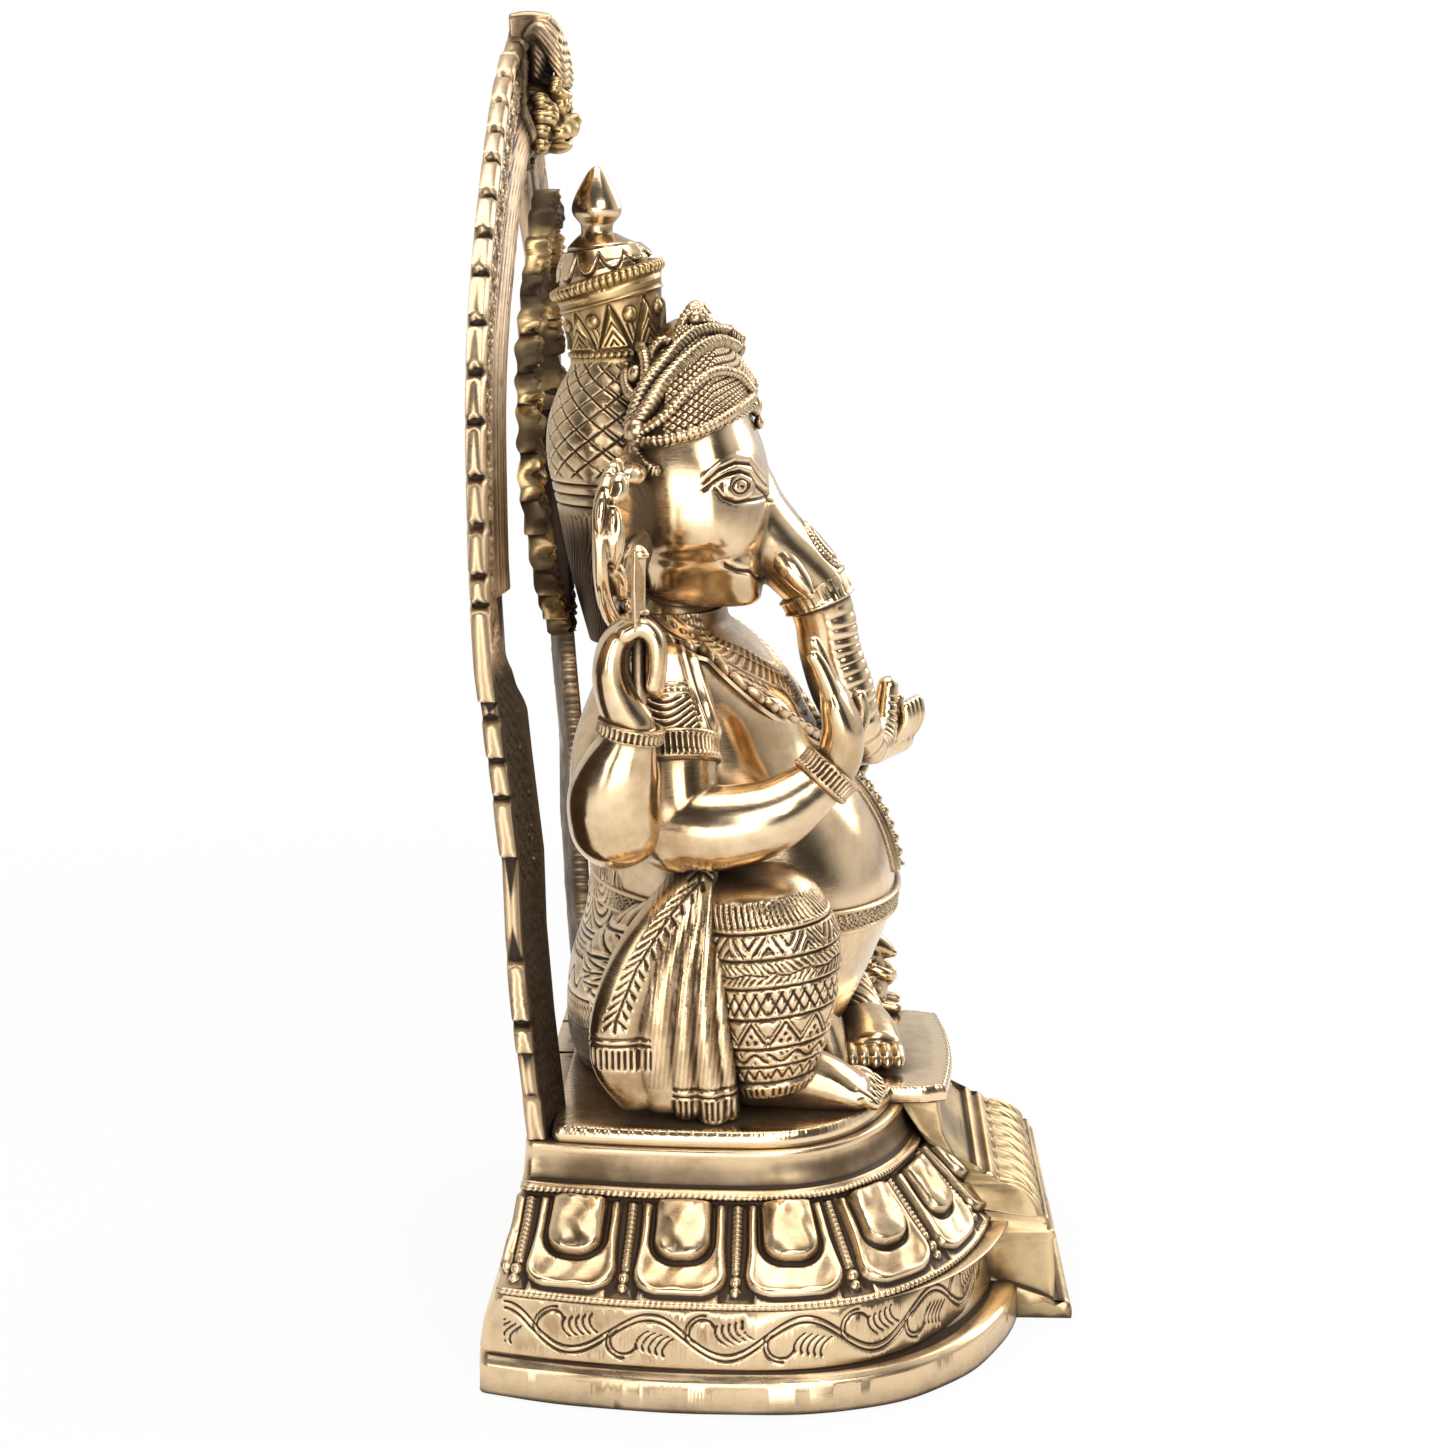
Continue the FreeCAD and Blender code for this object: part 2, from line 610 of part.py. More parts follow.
def build_dress(layer):
    belt_z = seat_z + belly_height * 0.98
    belt = layer.common(slanted_slab(belt_z - 4.0, belt_z + 2.0, belt_z + 2.5, belt_z + 8.5))
    sash_top = seat_z + belly_height * 1.78
    sash = layer.common(box((-6.5, 6.5), (-60, body_line_y), (belt_z + 3.0, sash_top)))
    collar_front = seat_z + 74.0
    slope = slanted_slab(collar_front - 75.0, collar_front + 82.0, jaw_z + 80, jaw_z + 80)
    collar = layer.common(slope).common(box((-70, 70), (-70, body_line_y + 40), (seat_z + 60, jaw_z - 4.0)))
    return solid_of(belt), seated(sash, belt), solid_of(collar.cut(sash))


def build_waist_drape(torso, belt):
    """Cloth wound round the lower back, widening towards the seat."""
    rows = [(0.0, 37.0, 24.0, 28.0), (8.0, 40.0, 24.0, 30.5), (22.0, 40.0, 22.0, 30.0), (36.0, 37.5, 18.0, 26.0),
            (47.0, 35.0, 12.0, 24.4), (54.0, 32.0, 8.0, 23.0)]
    wires = [level(seat_z + h, half, front, back) for h, half, front, back in rows]
    return seated(loft(wires), torso, belt)


# ---- Head ----
def head_levels(extra=0.0):
    rows = [(0.0, 0.60, 0.78, 0.4), (0.05, 0.66, 0.86, 0.44), (0.13, 0.76, 0.96, 0.6), (0.26, 0.92, 1.1, 0.84),
            (0.38, 1.0, 0.98, 0.95), (0.50, 1.0, 0.86, 1.0), (0.63, 0.94, 0.74, 0.97), (0.76, 0.82, 0.68, 0.88),
            (0.87, 0.64, 0.5, 0.7), (0.96, 0.38, 0.28, 0.45), (1.0, 0.16, 0.1, 0.2)]
    return [level(jaw_z + head_height * k, head_half_width * w + extra, head_front * f + extra, head_back * b + extra)
            for k, w, f, b in rows]


def build_head(torso, collar):
    return seated(loft(head_levels()), torso, collar)


def build_trunk(head):
    """The trunk drops from the brow, hangs clear of the belly and curls to the left hand."""
    root, mid, tip = trunk_root_radius, trunk_mid_radius, trunk_tip_radius
    y, z = body_line_y, jaw_z
    path = [(0, y - 9, z + 27, root * 1.0, root * 0.5), (0, y - 14.5, z + 18, root * 1.1, root * 0.75),
            (0, y - 22, z + 9, root, root * 0.75), (0, y - 27.0, z + 1, root * 0.75, root * 0.6),
            (0, y - 30.8, z - 8, mid * 1.15, mid * 1.15), (0, y - 33.8, z - 17, mid * 1.05, mid * 1.05),
            (0, y - 38.0, z - 27, mid * 0.95, mid * 0.95),
            (2, y - 41.5, z - 36, mid * 0.85, mid * 0.8), (8, y - 44, z - 41, mid * 0.7, mid * 0.7),
            (15, y - 47, z - 37.5, mid * 0.6, mid * 0.6), (18.5, y - 47.5, z - 31, tip * 1.15), (19, y - 48, z - 27, tip)]
    return seated(limb(path, side=V(1, 0, 0.1)), head)


def build_tusk(head, trunk, side):
    y, z = body_line_y, jaw_z
    tusk = limb([(side * 12, y - 20, z + 9, 3.6), (side * 13.5, y - 25, z + 4, 3.2), (side * 14, y - 31, z + 0.5, 1.8)],
                side=V(0, 0, 1))
    return seated(tusk, head, trunk)


def build_ear(head, torso, side):
    """A broad ear with a scalloped leaf outline, spread to the side and slightly back."""
    root_x, top_z = head_half_width - 4.0, jaw_z + 37.0
    w, h = ear_width, ear_height
    spots = [(0.0, -0.22), (0.1, -0.08), (0.25, 0.0), (0.45, 0.03), (0.66, 0.0), (0.84, -0.1), (0.96, -0.26),
             (1.0, -0.44), (0.95, -0.62), (0.8, -0.78), (0.6, -0.92), (0.42, -1.0), (0.3, -0.94), (0.18, -0.78),
             (0.08, -0.62), (0.0, -0.5)]
    plate = Part.Face(closed([V(root_x + u * w, 0, top_z + v * h) for u, v in spots])).extrude(V(0, ear_thickness, 0))
    plate.translate(V(0, body_line_y + 8.0, 0))
    plate.rotate(V(root_x, body_line_y + 8.0, 0), V(0, 0, 1), 17.0)
    if side < 0:
        plate = mirrored(plate)
    return seated(plate, head, torso)


def build_hair_bun(head):
    base = jaw_z + 20.0
    rows = [(0.0, 0.86, 0.84, 15.5), (0.16, 0.92, 0.9, 15.5), (0.34, 1.0, 0.98, 15.0), (0.56, 1.0, 0.96, 15.0),
            (0.76, 0.86, 0.82, 15.5), (0.9, 0.66, 0.64, 16.5), (1.0, 0.56, 0.54, 17.0)]
    nape = [(base - 32.0, 0.75, 0.23, 20.0), (base - 16.0, 0.8, 0.45, 20.0)]
    rings = nape + [(base + bun_height * k, w, r, shift) for k, w, r, shift in rows]
    outlines = [oval(V(0, body_line_y + shift, z), V(1, 0, 0), V(0, 1, 0), bun_radius * w, bun_radius * r, count=12)
                for z, w, r, shift in rings]
    return solid_of(loft(outlines).cut(head))


def build_crown(hair_bun, head):
    """The drum widens to a tilted brim, with a dome and a bud finial above."""
    foot_z = jaw_z + 20.0 + bun_height
    y = body_line_y
    outlines = []
    for h, r, shift, tilt in ((-2.0, 0.06, 17.0, 0.0), (1.5, 0.04, 17.2, 4.0), (5.0, 0.0, 17.6, 8.0)):
        lean = math.radians(tilt)
        outlines.append(oval(V(0, y + shift, foot_z + h), V(1, 0, 0), V(0, math.cos(lean), -math.sin(lean)),
                             drum_foot_radius * (1 + r), drum_foot_radius * (1 + r)))
    lean = math.radians(brim_tilt)
    brim_foot = V(0, y + 19.4, foot_z + drum_height)
    outlines.append(oval(brim_foot, V(1, 0, 0), V(0, math.cos(lean), -math.sin(lean)), drum_top_radius,
                         drum_top_radius))
    drum = seated(loft(outlines), hair_bun, head)
    h, r = brim_height, brim_radius
    brim = turned([(0.0, drum_top_radius), (0.2 * h, r - 0.3), (0.5 * h, r), (0.8 * h, r - 0.3),
                   (h, drum_top_radius - 0.5)], brim_foot, brim_tilt)
    axis = V(0, math.sin(lean), math.cos(lean))
    dome_foot = brim_foot + axis * h
    rise = [(0.0, 0.86, brim_tilt), (0.35, 0.8, 12.0), (0.65, 0.62, 7.0), (0.88, 0.42, 2.0), (1.0, 0.31, 0.0)]
    outlines = []
    for share, k, tilt in rise:
        lean = math.radians(tilt)
        middle = dome_foot + V(0, 1.4 * share, dome_height * share)
        outlines.append(oval(middle, V(1, 0, 0), V(0, math.cos(lean), -math.sin(lean)), drum_top_radius * k,
                             drum_top_radius * k))
    dome = seated(loft(outlines), brim)
    f, r = finial_height, finial_radius
    profile = [(0.0, 0.64 * r), (0.15 * f, 0.64 * r), (0.24 * f, 0.96 * r), (0.32 * f, r), (0.5 * f, 0.82 * r),
               (0.72 * f, 0.5 * r), (0.92 * f, 0.24 * r), (f, 0.08 * r)]
    finial = turned(profile, dome_foot + V(0, 1.4, dome_height), 0.0, 12)
    return drum, brim, dome, seated(finial, dome)


def build_tiara(head, hair_bun, drum):
    """A standing diadem round the front of the head, highest over the brow."""
    skin = loft(head_levels(2.6)).cut(head)
    low = jaw_z + head_height * 0.55
    points = [V(-60, -20, low + 6), V(-60, body_line_y + 9.0, low - 4), V(-60, body_line_y + 12.5, low + 14),
              V(-60, body_line_y + 2.0, head_top_z + 6), V(-60, -20, head_top_z + 6)]
    room = Part.Face(Part.makePolygon(points + points[:1])).extrude(V(120, 0, 0))
    band = skin.common(room)
    peak = limb([(0, body_line_y - 8.5, low + 14, 7.0, 2.4), (0, body_line_y - 5.0, low + 24, 5.5, 2.2),
                 (0, body_line_y - 1.5, low + tiara_height + 3.0, 2.4, 1.8)])
    return seated(band.fuse(peak), head, hair_bun, drum)


# ---- Arms and hands ----
def finger(points, radius=finger_radius):
    shrink = [1.0, 0.92, 0.7]
    stations = [(*p, radius * k) for p, k in zip(points, shrink)]
    return limb(stations, side=V(1, 0.2, 0.1), rounded=(False, True), count=4)


def build_front_arm(torso, dress):
    """Right front arm: down from the shoulder, forward from the elbow and up to the wrist."""
    x, y, z = shoulder_half_width, body_line_y, seat_z
    upper = limb([(-x + 3, y + 5, z + 95, upper_arm_radius * 0.85), (-x - 5, y + 3.5, z + 85, upper_arm_radius),
                  (-x - 11, y + 3, z + 73, upper_arm_radius * 0.95), (-x - 13.5, y + 1, z + 67, upper_arm_radius * 0.9)])
    fore = limb([(-x - 14, y + 2, z + 69.0, forearm_radius * 1.05), (-x - 15, y - 8, z + 68.5, forearm_radius * 1.05),
                 (-x - 14, y - 19, z + 71, forearm_radius * 0.92), (-x - 11.5, y - 27, z + 75, forearm_radius * 0.78),
                 (-x - 9.5, y - 33, z + 78.5, wrist_radius)], rounded=(True, False))
    return seated(upper.fuse(fore), torso, *dress)


def ring_round(start, end, radius, deep=None, side=V(1, 0, 0)):
    """A short band with a rounded rim, from which the arm inside it is cut."""
    deep = radius if deep is None else deep
    a, b = V(*start), V(*end)
    rows = [(0.0, 0.92), (0.5, 1.0), (1.0, 0.92)]
    return limb([(*(a + (b - a) * k), radius * r, deep * r) for k, r in rows], side, (False, False))


def build_right_front_hand(arm):
    """Open hand raised in blessing, palm to the front, fingers up."""
    x, y, z = shoulder_half_width + 9.0, body_line_y, seat_z
    palm = limb([(-x - 0.5, y - 33, z + 78.5, wrist_radius, wrist_radius * 0.9), (-x, y - 36, z + 83, 7.0, 5.0),
                 (-x + 1, y - 36, z + 89, 8.0, 4.4), (-x + 1, y - 34.5, z + 95, 7.6, 3.4)], rounded=(False, True))
    fingers = []
    for i, (shift, length) in enumerate(((-5.2, 13.0), (-1.8, 15.0), (1.8, 14.0), (5.2, 11.5))):
        start = (-x + 1 + shift, y - 34.5, z + 94)
        mid = (-x + 1 + shift * 1.05, y - 32.5, z + 94 + length * 0.45)
        tip = (-x + 1 + shift * 1.1, y - 29.8, z + 94 + length)
        fingers.append(finger([start, mid, tip]))
    thumb = finger([(-x + 6, y - 37, z + 85), (-x + 9, y - 40.5, z + 89), (-x + 9, y - 41, z + 95)],
                   finger_radius * 1.1)
    return seated(palm.multiFuse(fingers + [thumb]), arm)


def build_left_front_arm(torso, dress):
    x, y, z = shoulder_half_width, body_line_y, seat_z
    upper = limb([(x - 3, y + 5, z + 95, upper_arm_radius * 0.85), (x + 5, y + 3.5, z + 85, upper_arm_radius),
                  (x + 11, y + 3, z + 73, upper_arm_radius * 0.95), (x + 13.5, y + 1, z + 67, upper_arm_radius * 0.9)])
    fore = limb([(x + 14, y + 2, z + 69.0, forearm_radius * 1.05), (x + 13, y - 9, z + 66, forearm_radius * 1.05),
                 (x + 7, y - 21, z + 65, forearm_radius * 0.92), (x - 1, y - 31, z + 66, forearm_radius * 0.75),
                 (x - 7, y - 38, z + 67.5, wrist_radius)], rounded=(True, False))
    return seated(upper.fuse(fore), torso, *dress)


def build_left_front_hand(arm, trunk):
    """Open hand, palm up, fingers curled round the sweet."""
    x, y, z = shoulder_half_width - 7.0, body_line_y, seat_z
    palm = limb([(x, y - 38, z + 67.5, wrist_radius, wrist_radius * 0.9), (x - 3, y - 42, z + 68.5, 7.0, 4.6),
                 (x - 6, y - 46.5, z + 69.5, 8.0, 3.8), (x - 8.5, y - 51, z + 71, 7.4, 3.2)], side=V(1, -0.6, 0),
                rounded=(False, True))
    fingers = []
    for i in range(4):
        spread = -5.4 + 3.6 * i
        start = (x - 8 + spread * 0.86, y - 50.5 - spread * 0.4, z + 71)
        mid = (x - 9.5 + spread * 0.9, y - 53.8 - spread * 0.35, z + 74.6)
        tip = (x - 10 + spread * 0.9, y - 54.8 - spread * 0.3, z + 80)
        fingers.append(finger([start, mid, tip]))
    thumb = finger([(x + 2, y - 45, z + 70), (x + 3.5, y - 49, z + 74), (x + 1.5, y - 51, z + 79)],
                   finger_radius * 1.1)
    return seated(palm.multiFuse(fingers + [thumb]), arm, trunk)


def build_sweet(hand, trunk):
    x, y, z = shoulder_half_width - 13.5, body_line_y - 46.5, seat_z + 77.0
    rows = [(-5.5, 3.0), (-3.0, 5.4), (0.0, 5.8), (3.0, 4.2), (5.5, 2.0), (7.5, 0.7)]
    body = loft([oval(V(x, y, z + h), V(1, 0, 0), V(0, 1, 0), r, r, count=8) for h, r in rows])
    return seated(body, hand, trunk)


def build_rear_arm():
    """Right rear arm: out and down to a heavy elbow, then straight up to the wrist."""
    x, y, z, r = shoulder_half_width, body_line_y, seat_z, rear_arm_radius
    upper = limb([(-x + 4, y + 13, z + 93, r * 0.85), (-x - 8, y + 14.5, z + 84, r), (-x - 16, y + 14.5, z + 73, r)])
    fore = limb([(-x - 19, y + 14, z + 70.0, r), (-x - 21.5, y + 14, z + 76, r), (-x - 23.5, y + 12.5, z + 83, r * 0.86),
                 (-x - 25, y + 10.8, z + 89.5, wrist_radius * 1.1), (-x - 25.5, y + 10.3, z + 93.5, wrist_radius)],
                rounded=(True, False))
    return upper.fuse(fore)


def build_rear_hand(arm):
    """Closed hand held up, fingers folded forward round the shaft of what it holds."""
    x, y, z = shoulder_half_width + 25.5, body_line_y, seat_z
    back = limb([(-x, y + 10.3, z + 93.5, wrist_radius * 0.95), (-x, y + 13, z + 99, 6.0, 4.8),
                 (-x, y + 14.2, z + 105, 6.6, 4.2), (-x, y + 13, z + 112, 6.2, 3.6), (-x, y + 9, z + 116, 5.8, 3.0)],
                rounded=(False, True))
    fingers = []
    for i in range(4):
        dx = -5.0 + 3.3 * i
        fingers.append(finger([(-x + dx, y + 9, z + 115.5 - 0.4 * i), (-x + dx, y + 4.6, z + 112.5 - 0.6 * i),
                               (-x + dx, y + 4.8, z + 104.0 - i)]))
    thumb = finger([(-x + 6, y + 11, z + 101), (-x + 5.5, y + 6.5, z + 101.5), (-x + 2.5, y + 5.0, z + 103)])
    return seated(back.multiFuse(fingers + [thumb]), arm)


def build_axe(hand):
    """Small battle-axe held upright, its blade turned outward."""
    x, y, z = shoulder_half_width + 25.5, body_line_y + 8.6, seat_z
    shaft = turned([(0.0, 1.5), (40.0, 1.5)], V(-x, y, z + 96.0), 0.0, 8)
    blade_z = z + 128.0
    reach, half_edge = 13.0, 9.0
    outline = [(2.0, -3.0), (-5.0, -5.0), (-reach + 1.0, -half_edge)]
    outline += [(-reach - 1.5 * math.cos(math.radians(a)), half_edge * math.sin(math.radians(a)))
                for a in range(-60, 61, 20)]
    outline += [(-reach + 1.0, half_edge), (-5.0, 5.0), (2.0, 3.0)]
    blade = Part.Face(closed([V(-x + u, y - 1.2, blade_z + v) for u, v in outline])).extrude(V(0, 2.4, 0))
    return seated(shaft.fuse(blade), hand)


def build_noose(hand):
    """A closed loop of cord standing on a short stem."""
    x, y, z = shoulder_half_width + 25.5, body_line_y + 8.6, seat_z
    stem = turned([(0.0, 1.5), (29.0, 1.5)], V(x, y, z + 96.0), 0.0, 8)
    middle = V(x, y, z + 132.5)
    halves = []
    for start in (90, 270):
        rings = []
        for i in range(9):
            turn = math.radians(start + 180 * i / 8)
            out = V(math.cos(turn), 0, math.sin(turn))
            rings.append(oval(middle + out * loop_radius, out, V(0, 1, 0), 1.7, 1.7, count=5))
        halves.append(loft(rings))
    return seated(stem.multiFuse(halves), hand)


# ---- Legs ----
def build_right_leg(torso, drape, dress):
    x, y, z, r = knee_half_spread, body_line_y, seat_z, leg_radius
    rows = [(5.0, 0.74, 27.0, -12.0, 1.5), (10.0, 0.9, 31.0, -9.0, 1.0), (20.0, 1.0, 34.0, -7.0, 0.0),
            (30.0, 1.03, 36.0, -6.0, 0.0), (40.0, 1.03, 36.3, -5.0, 0.5), (48.0, 0.95, 33.5, -4.0, 2.0),
            (54.0, 0.74, 28.5, -5.0, 4.0), (57.0, 0.4, 22.0, -9.0, 6.0)]
    shin = loft([level(z + h, r * k, front, rear, x=-x + dx) for h, k, front, rear, dx in rows])
    thigh = limb([(-x + 3, y - 12, z + 40, r * 0.9), (-x + 10, y + 2, z + 34, r), (-x + 15, y + 10, z + 28, r)])
    return seated(shin.fuse(thigh), torso, drape, *dress)


def build_right_foot(leg, seat):
    x, y, z = knee_half_spread, body_line_y, seat_z
    sole = limb([(-x + 3, y - 17, z + 5.0, 7.5, 7.0), (-x + 3, y - 27, z + 6.5, 8.0, 8.5),
                 (-x + 4, y - 36, z + 4.5, 8.8, 7.0), (-x + 5, y - 42, z + 3.5, 9.0, 5.0)], rounded=(True, False))
    toes = []
    for i in range(5):
        dx = -7.0 + 3.5 * i
        toes.append(limb([(-x + 5 + dx, y - 40, z + 3.4, 2.2), (-x + 5 + dx * 1.05, y - 44, z + 3.6, 2.2),
                          (-x + 5 + dx * 1.05, y - 46.5, z + 2.4, 1.9)], rounded=(False, True), count=5))
    return seated(sole.multiFuse(toes), leg, seat)


def build_left_leg(torso, drape, seat, dress):
    """Left leg folded flat: thigh out to the knee, shin back across the front."""
    x, y, z = knee_half_spread, body_line_y, seat_z
    thigh = limb([(x - 22, y + 14, z + 20, 16.0), (x - 8, y - 2, z + 17, 15.5), (x - 1, y - 16, z + 14.5, 14.0)])
    shin = limb([(x - 1, y - 17, z + 13.0, 12.5), (x - 14, y - 28, z + 10.5, 10.0, 9.5),
                 (x - 32, y - 37, z + 8.0, 8.5, 8.0), (x - 46, y - 41, z + 6.5, 7.0, 6.5)], side=V(0.4, 1, 0))
    return seated(thigh.fuse(shin), torso, drape, seat, *dress)


def build_left_foot(leg, seat, torso):
    x, y, z = knee_half_spread, body_line_y, seat_z
    sole = limb([(x - 44, y - 41, z + 6.0, 6.4, 6.0), (x - 54, y - 43.5, z + 5.0, 7.0, 5.6),
                 (x - 65, y - 44.5, z + 4.0, 7.2, 4.4)], side=V(0, 1, 0), rounded=(True, False))
    toes = []
    for i in range(5):
        dy = -5.6 + 2.8 * i
        toes.append(limb([(x - 64, y - 44.5 + dy, z + 3.2, 1.9), (x - 68, y - 44.7 + dy, z + 3.4, 1.9),
                          (x - 71, y - 45 + dy, z + 2.6, 1.6)], side=V(0, 1, 0), rounded=(False, True), count=5))
    return seated(sole.multiFuse(toes), leg, seat, torso)


def build_sash_tail(seat, neighbours, side):
    """A shawl end that falls from the hip and spreads in three folds on the seat."""
    x, y, z = side * (knee_half_spread + 3.0), body_line_y, seat_z
    folds = []
    for top_y, foot_y, foot_z, reach, width in ((-1.0, 15.0, 11.0, 6.0, 5.0), (-3.0, 6.0, 4.0, 6.5, 5.5),
                                                (-5.0, -3.0, 2.5, 5.5, 5.0)):
        folds.append(limb([(x - side * 4, y + top_y, z + 53, 3.2, 3.0),
                           (x, y + top_y * 0.5 + foot_y * 0.5, z + 33, width, reach * 0.85),
                           (x + side * 1.5, y + foot_y, z + foot_z + 6, width, reach),
                           (x + side * 1.0, y + foot_y - 1.0, z + foot_z, width * 0.9, reach * 0.85)], count=6))
    return seated(folds[0].multiFuse(folds[1:]), seat, *neighbours)


def build_pleats(seat, torso, others):
    """Front pleats of the lower garment, gathered between the legs."""
    y, z = body_line_y, seat_z
    folds = []
    for i in range(5):
        x = -31.0 + 5.2 * i
        folds.append(limb([(x + 4, y - 26, z + 26, 3.0), (x + 1, y - 32, z + 15, 3.4), (x, y - 36, z + 4, 3.6)],
                          rounded=(True, False), count=6))
    return seated(folds[0].multiFuse(folds[1:]), seat, torso, *others)


def build_mouse(seat, leg):
    """The mouse sits up beside the left knee and looks ahead."""
    x, y, z = 34.0, body_line_y - 44.0, seat_z
    body = limb([(x, y + 1, z + 3.0, 6.0), (x, y + 1.4, z + 8.0, 6.6), (x, y + 0.6, z + 14.0, 4.6)], count=6)
    head = limb([(x, y + 1.0, z + 16.5, 3.6), (x, y - 2.0, z + 16.8, 3.6), (x, y - 5.4, z + 15.0, 1.8)], count=6)
    ears = [limb([(x + dx * 0.8, y + 1.5, z + 18.5, 1.6, 1.0), (x + dx, y + 1.5, z + 20.5, 2.0, 1.0)], count=5)
            for dx in (-2.6, 2.6)]
    paws = [limb([(x + dx, y - 2.5, z + 11.0, 1.8), (x + dx * 0.6, y - 6.0, z + 10.0, 1.5)], count=5)
            for dx in (-3.5, 3.5)]
    feet = [limb([(x + dx, y - 2.0, z + 1.8, 2.2), (x + dx, y - 7.0, z + 1.5, 1.8)], count=5)
            for dx in (-3.8, 3.8)]
    tail = limb([(x + 4, y + 5.0, z + 1.8, 1.5), (x + 11, y + 4.0, z + 1.6, 1.3), (x + 13, y - 2.0, z + 1.5, 1.0)],
                side=V(0, 0, 1), rounded=(False, False), count=5)
    return seated(body.multiFuse([head, tail] + ears + paws + feet), seat, leg)


def build_all():
    step, notch = build_front_step()
    pedestal = build_pedestal(notch)
    seat = build_seat_plate()
    nodes = {"pedestal": pedestal, "seat_plate": seat, "front_step": seated(step, seat)}
    nodes["figure_bolts"] = build_bolts()
    arch = build_arch().cut(pedestal).cut(seat)
    nodes["arch"] = solid_of(arch)
    nodes["lion_mask"], nodes["lion_crest"] = build_mask_and_crest(arch)
    nodes["flame_ring"] = build_flame_ring(arch)
    torso = build_torso()
    layer = dress_layer(torso)
    belt, sash, collar = build_dress(layer)
    dress = (belt, sash, collar)
    nodes.update(torso=torso, waist_belt=belt, belly_sash=sash, collar=collar)
    drape = build_waist_drape(torso, belt)
    drape = solid_of(drape.cut(Part.makeCompound(bolt_holes())))
    head = build_head(torso, collar)
    trunk = build_trunk(head)
    nodes.update(waist_drape=drape, head=head, trunk=trunk)
    nodes["right_tusk"] = build_tusk(head, trunk, -1)
    nodes["left_tusk"] = build_tusk(head, trunk, 1)
    nodes["right_ear"] = build_ear(head, torso, -1)
    nodes["left_ear"] = build_ear(head, torso, 1)
    bun = seated(build_hair_bun(head), torso, collar, nodes["right_ear"], nodes["left_ear"])
    nodes["hair_bun"] = bun
    drum, brim, dome, finial = build_crown(bun, head)
    nodes.update(crown_drum=drum, crown_brim=brim, crown_dome=dome, crown_finial=finial)
    nodes["tiara"] = seated(build_tiara(head, bun, drum), nodes["right_ear"], nodes["left_ear"])
    front_arm = build_front_arm(torso, dress)
    nodes["right_front_arm"] = front_arm
    x, y, z = shoulder_half_width, body_line_y, seat_z
    hand = build_right_front_hand(front_arm)
    bracelet = ring_round((-x - 10.2, y - 31, z + 77.3), (-x - 9.2, y - 34.5, z + 81.2), wrist_radius + 2.0)
    nodes["right_front_bracelet"] = seated(bracelet, front_arm, hand)
    nodes["right_front_hand"] = hand
    armlet = ring_round((-x - 7, y + 4, z + 86), (-x - 9.6, y + 3.4, z + 80), upper_arm_radius + 1.6)
    rear_form = build_rear_arm()
    rear_arm = seated(rear_form, front_arm, torso, *dress)
    nodes["right_rear_arm"] = rear_arm
    nodes["right_armlet"] = seated(armlet, front_arm, rear_arm, torso, collar)
    rear_hand = build_rear_hand(rear_arm)
    nodes["right_rear_hand"] = rear_hand
    ring = ring_round((-x - 25.2, y + 10.9, z + 88.8), (-x - 25.5, y + 10.0, z + 93.8), wrist_radius + 2.0)
    nodes["right_rear_bracelet"] = seated(ring, rear_arm, rear_hand)
    nodes["axe"] = build_axe(rear_hand)
    left_arm = build_left_front_arm(torso, dress)
    nodes["left_front_arm"] = left_arm
    left_hand = seated(build_left_front_hand(left_arm, trunk), torso, *dress)
    nodes["left_front_hand"] = left_hand
    bracelet = ring_round((x - 4.6, y - 35.3, z + 66.7), (x - 8.2, y - 39.2, z + 67.9), wrist_radius + 2.0)
    nodes["left_front_bracelet"] = seated(bracelet, left_arm, left_hand, torso, *dress)
    for name in ("rear_hand", "rear_bracelet"):
        nodes["left_" + name] = mirrored(nodes["right_" + name])
    nodes["left_rear_arm"] = seated(mirrored(rear_form), left_arm, torso, *dress)
    nodes["left_armlet"] = seated(mirrored(armlet), left_arm, nodes["left_rear_arm"], torso, collar)
    nodes["noose"] = build_noose(nodes["left_rear_hand"])
    nodes["sweet"] = build_sweet(left_hand, trunk)
    right_leg = build_right_leg(torso, drape, dress)
    nodes["right_leg"] = right_leg
    nodes["right_foot"] = build_right_foot(right_leg, seat)
    left_leg = build_left_leg(torso, drape, seat, dress)
    nodes["left_leg"] = left_leg
    nodes["left_foot"] = build_left_foot(left_leg, seat, torso)
    hips = (torso, drape)
    nodes["right_sash_tail"] = build_sash_tail(seat, hips + (right_leg, front_arm, rear_arm), -1)
    nodes["left_sash_tail"] = build_sash_tail(seat, hips + (left_leg, left_arm, nodes["left_rear_arm"]), 1)
    legs = (right_leg, nodes["right_foot"], left_leg, nodes["left_foot"])
    nodes["garment_pleats"] = build_pleats(seat, torso, legs)
    nodes["mouse"] = build_mouse(seat, left_leg)
    return nodes


os.makedirs("parts", exist_ok=True)
for name, shape in build_all().items():
    shape.exportStep("parts/" + name + ".step")
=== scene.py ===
"""A brass Ganesha under a cogged arch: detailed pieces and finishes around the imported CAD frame.

Lengths are millimetres until a mesh is made. +Z up, the figure faces -Y, its right hand is on the -X side.
"""
import math

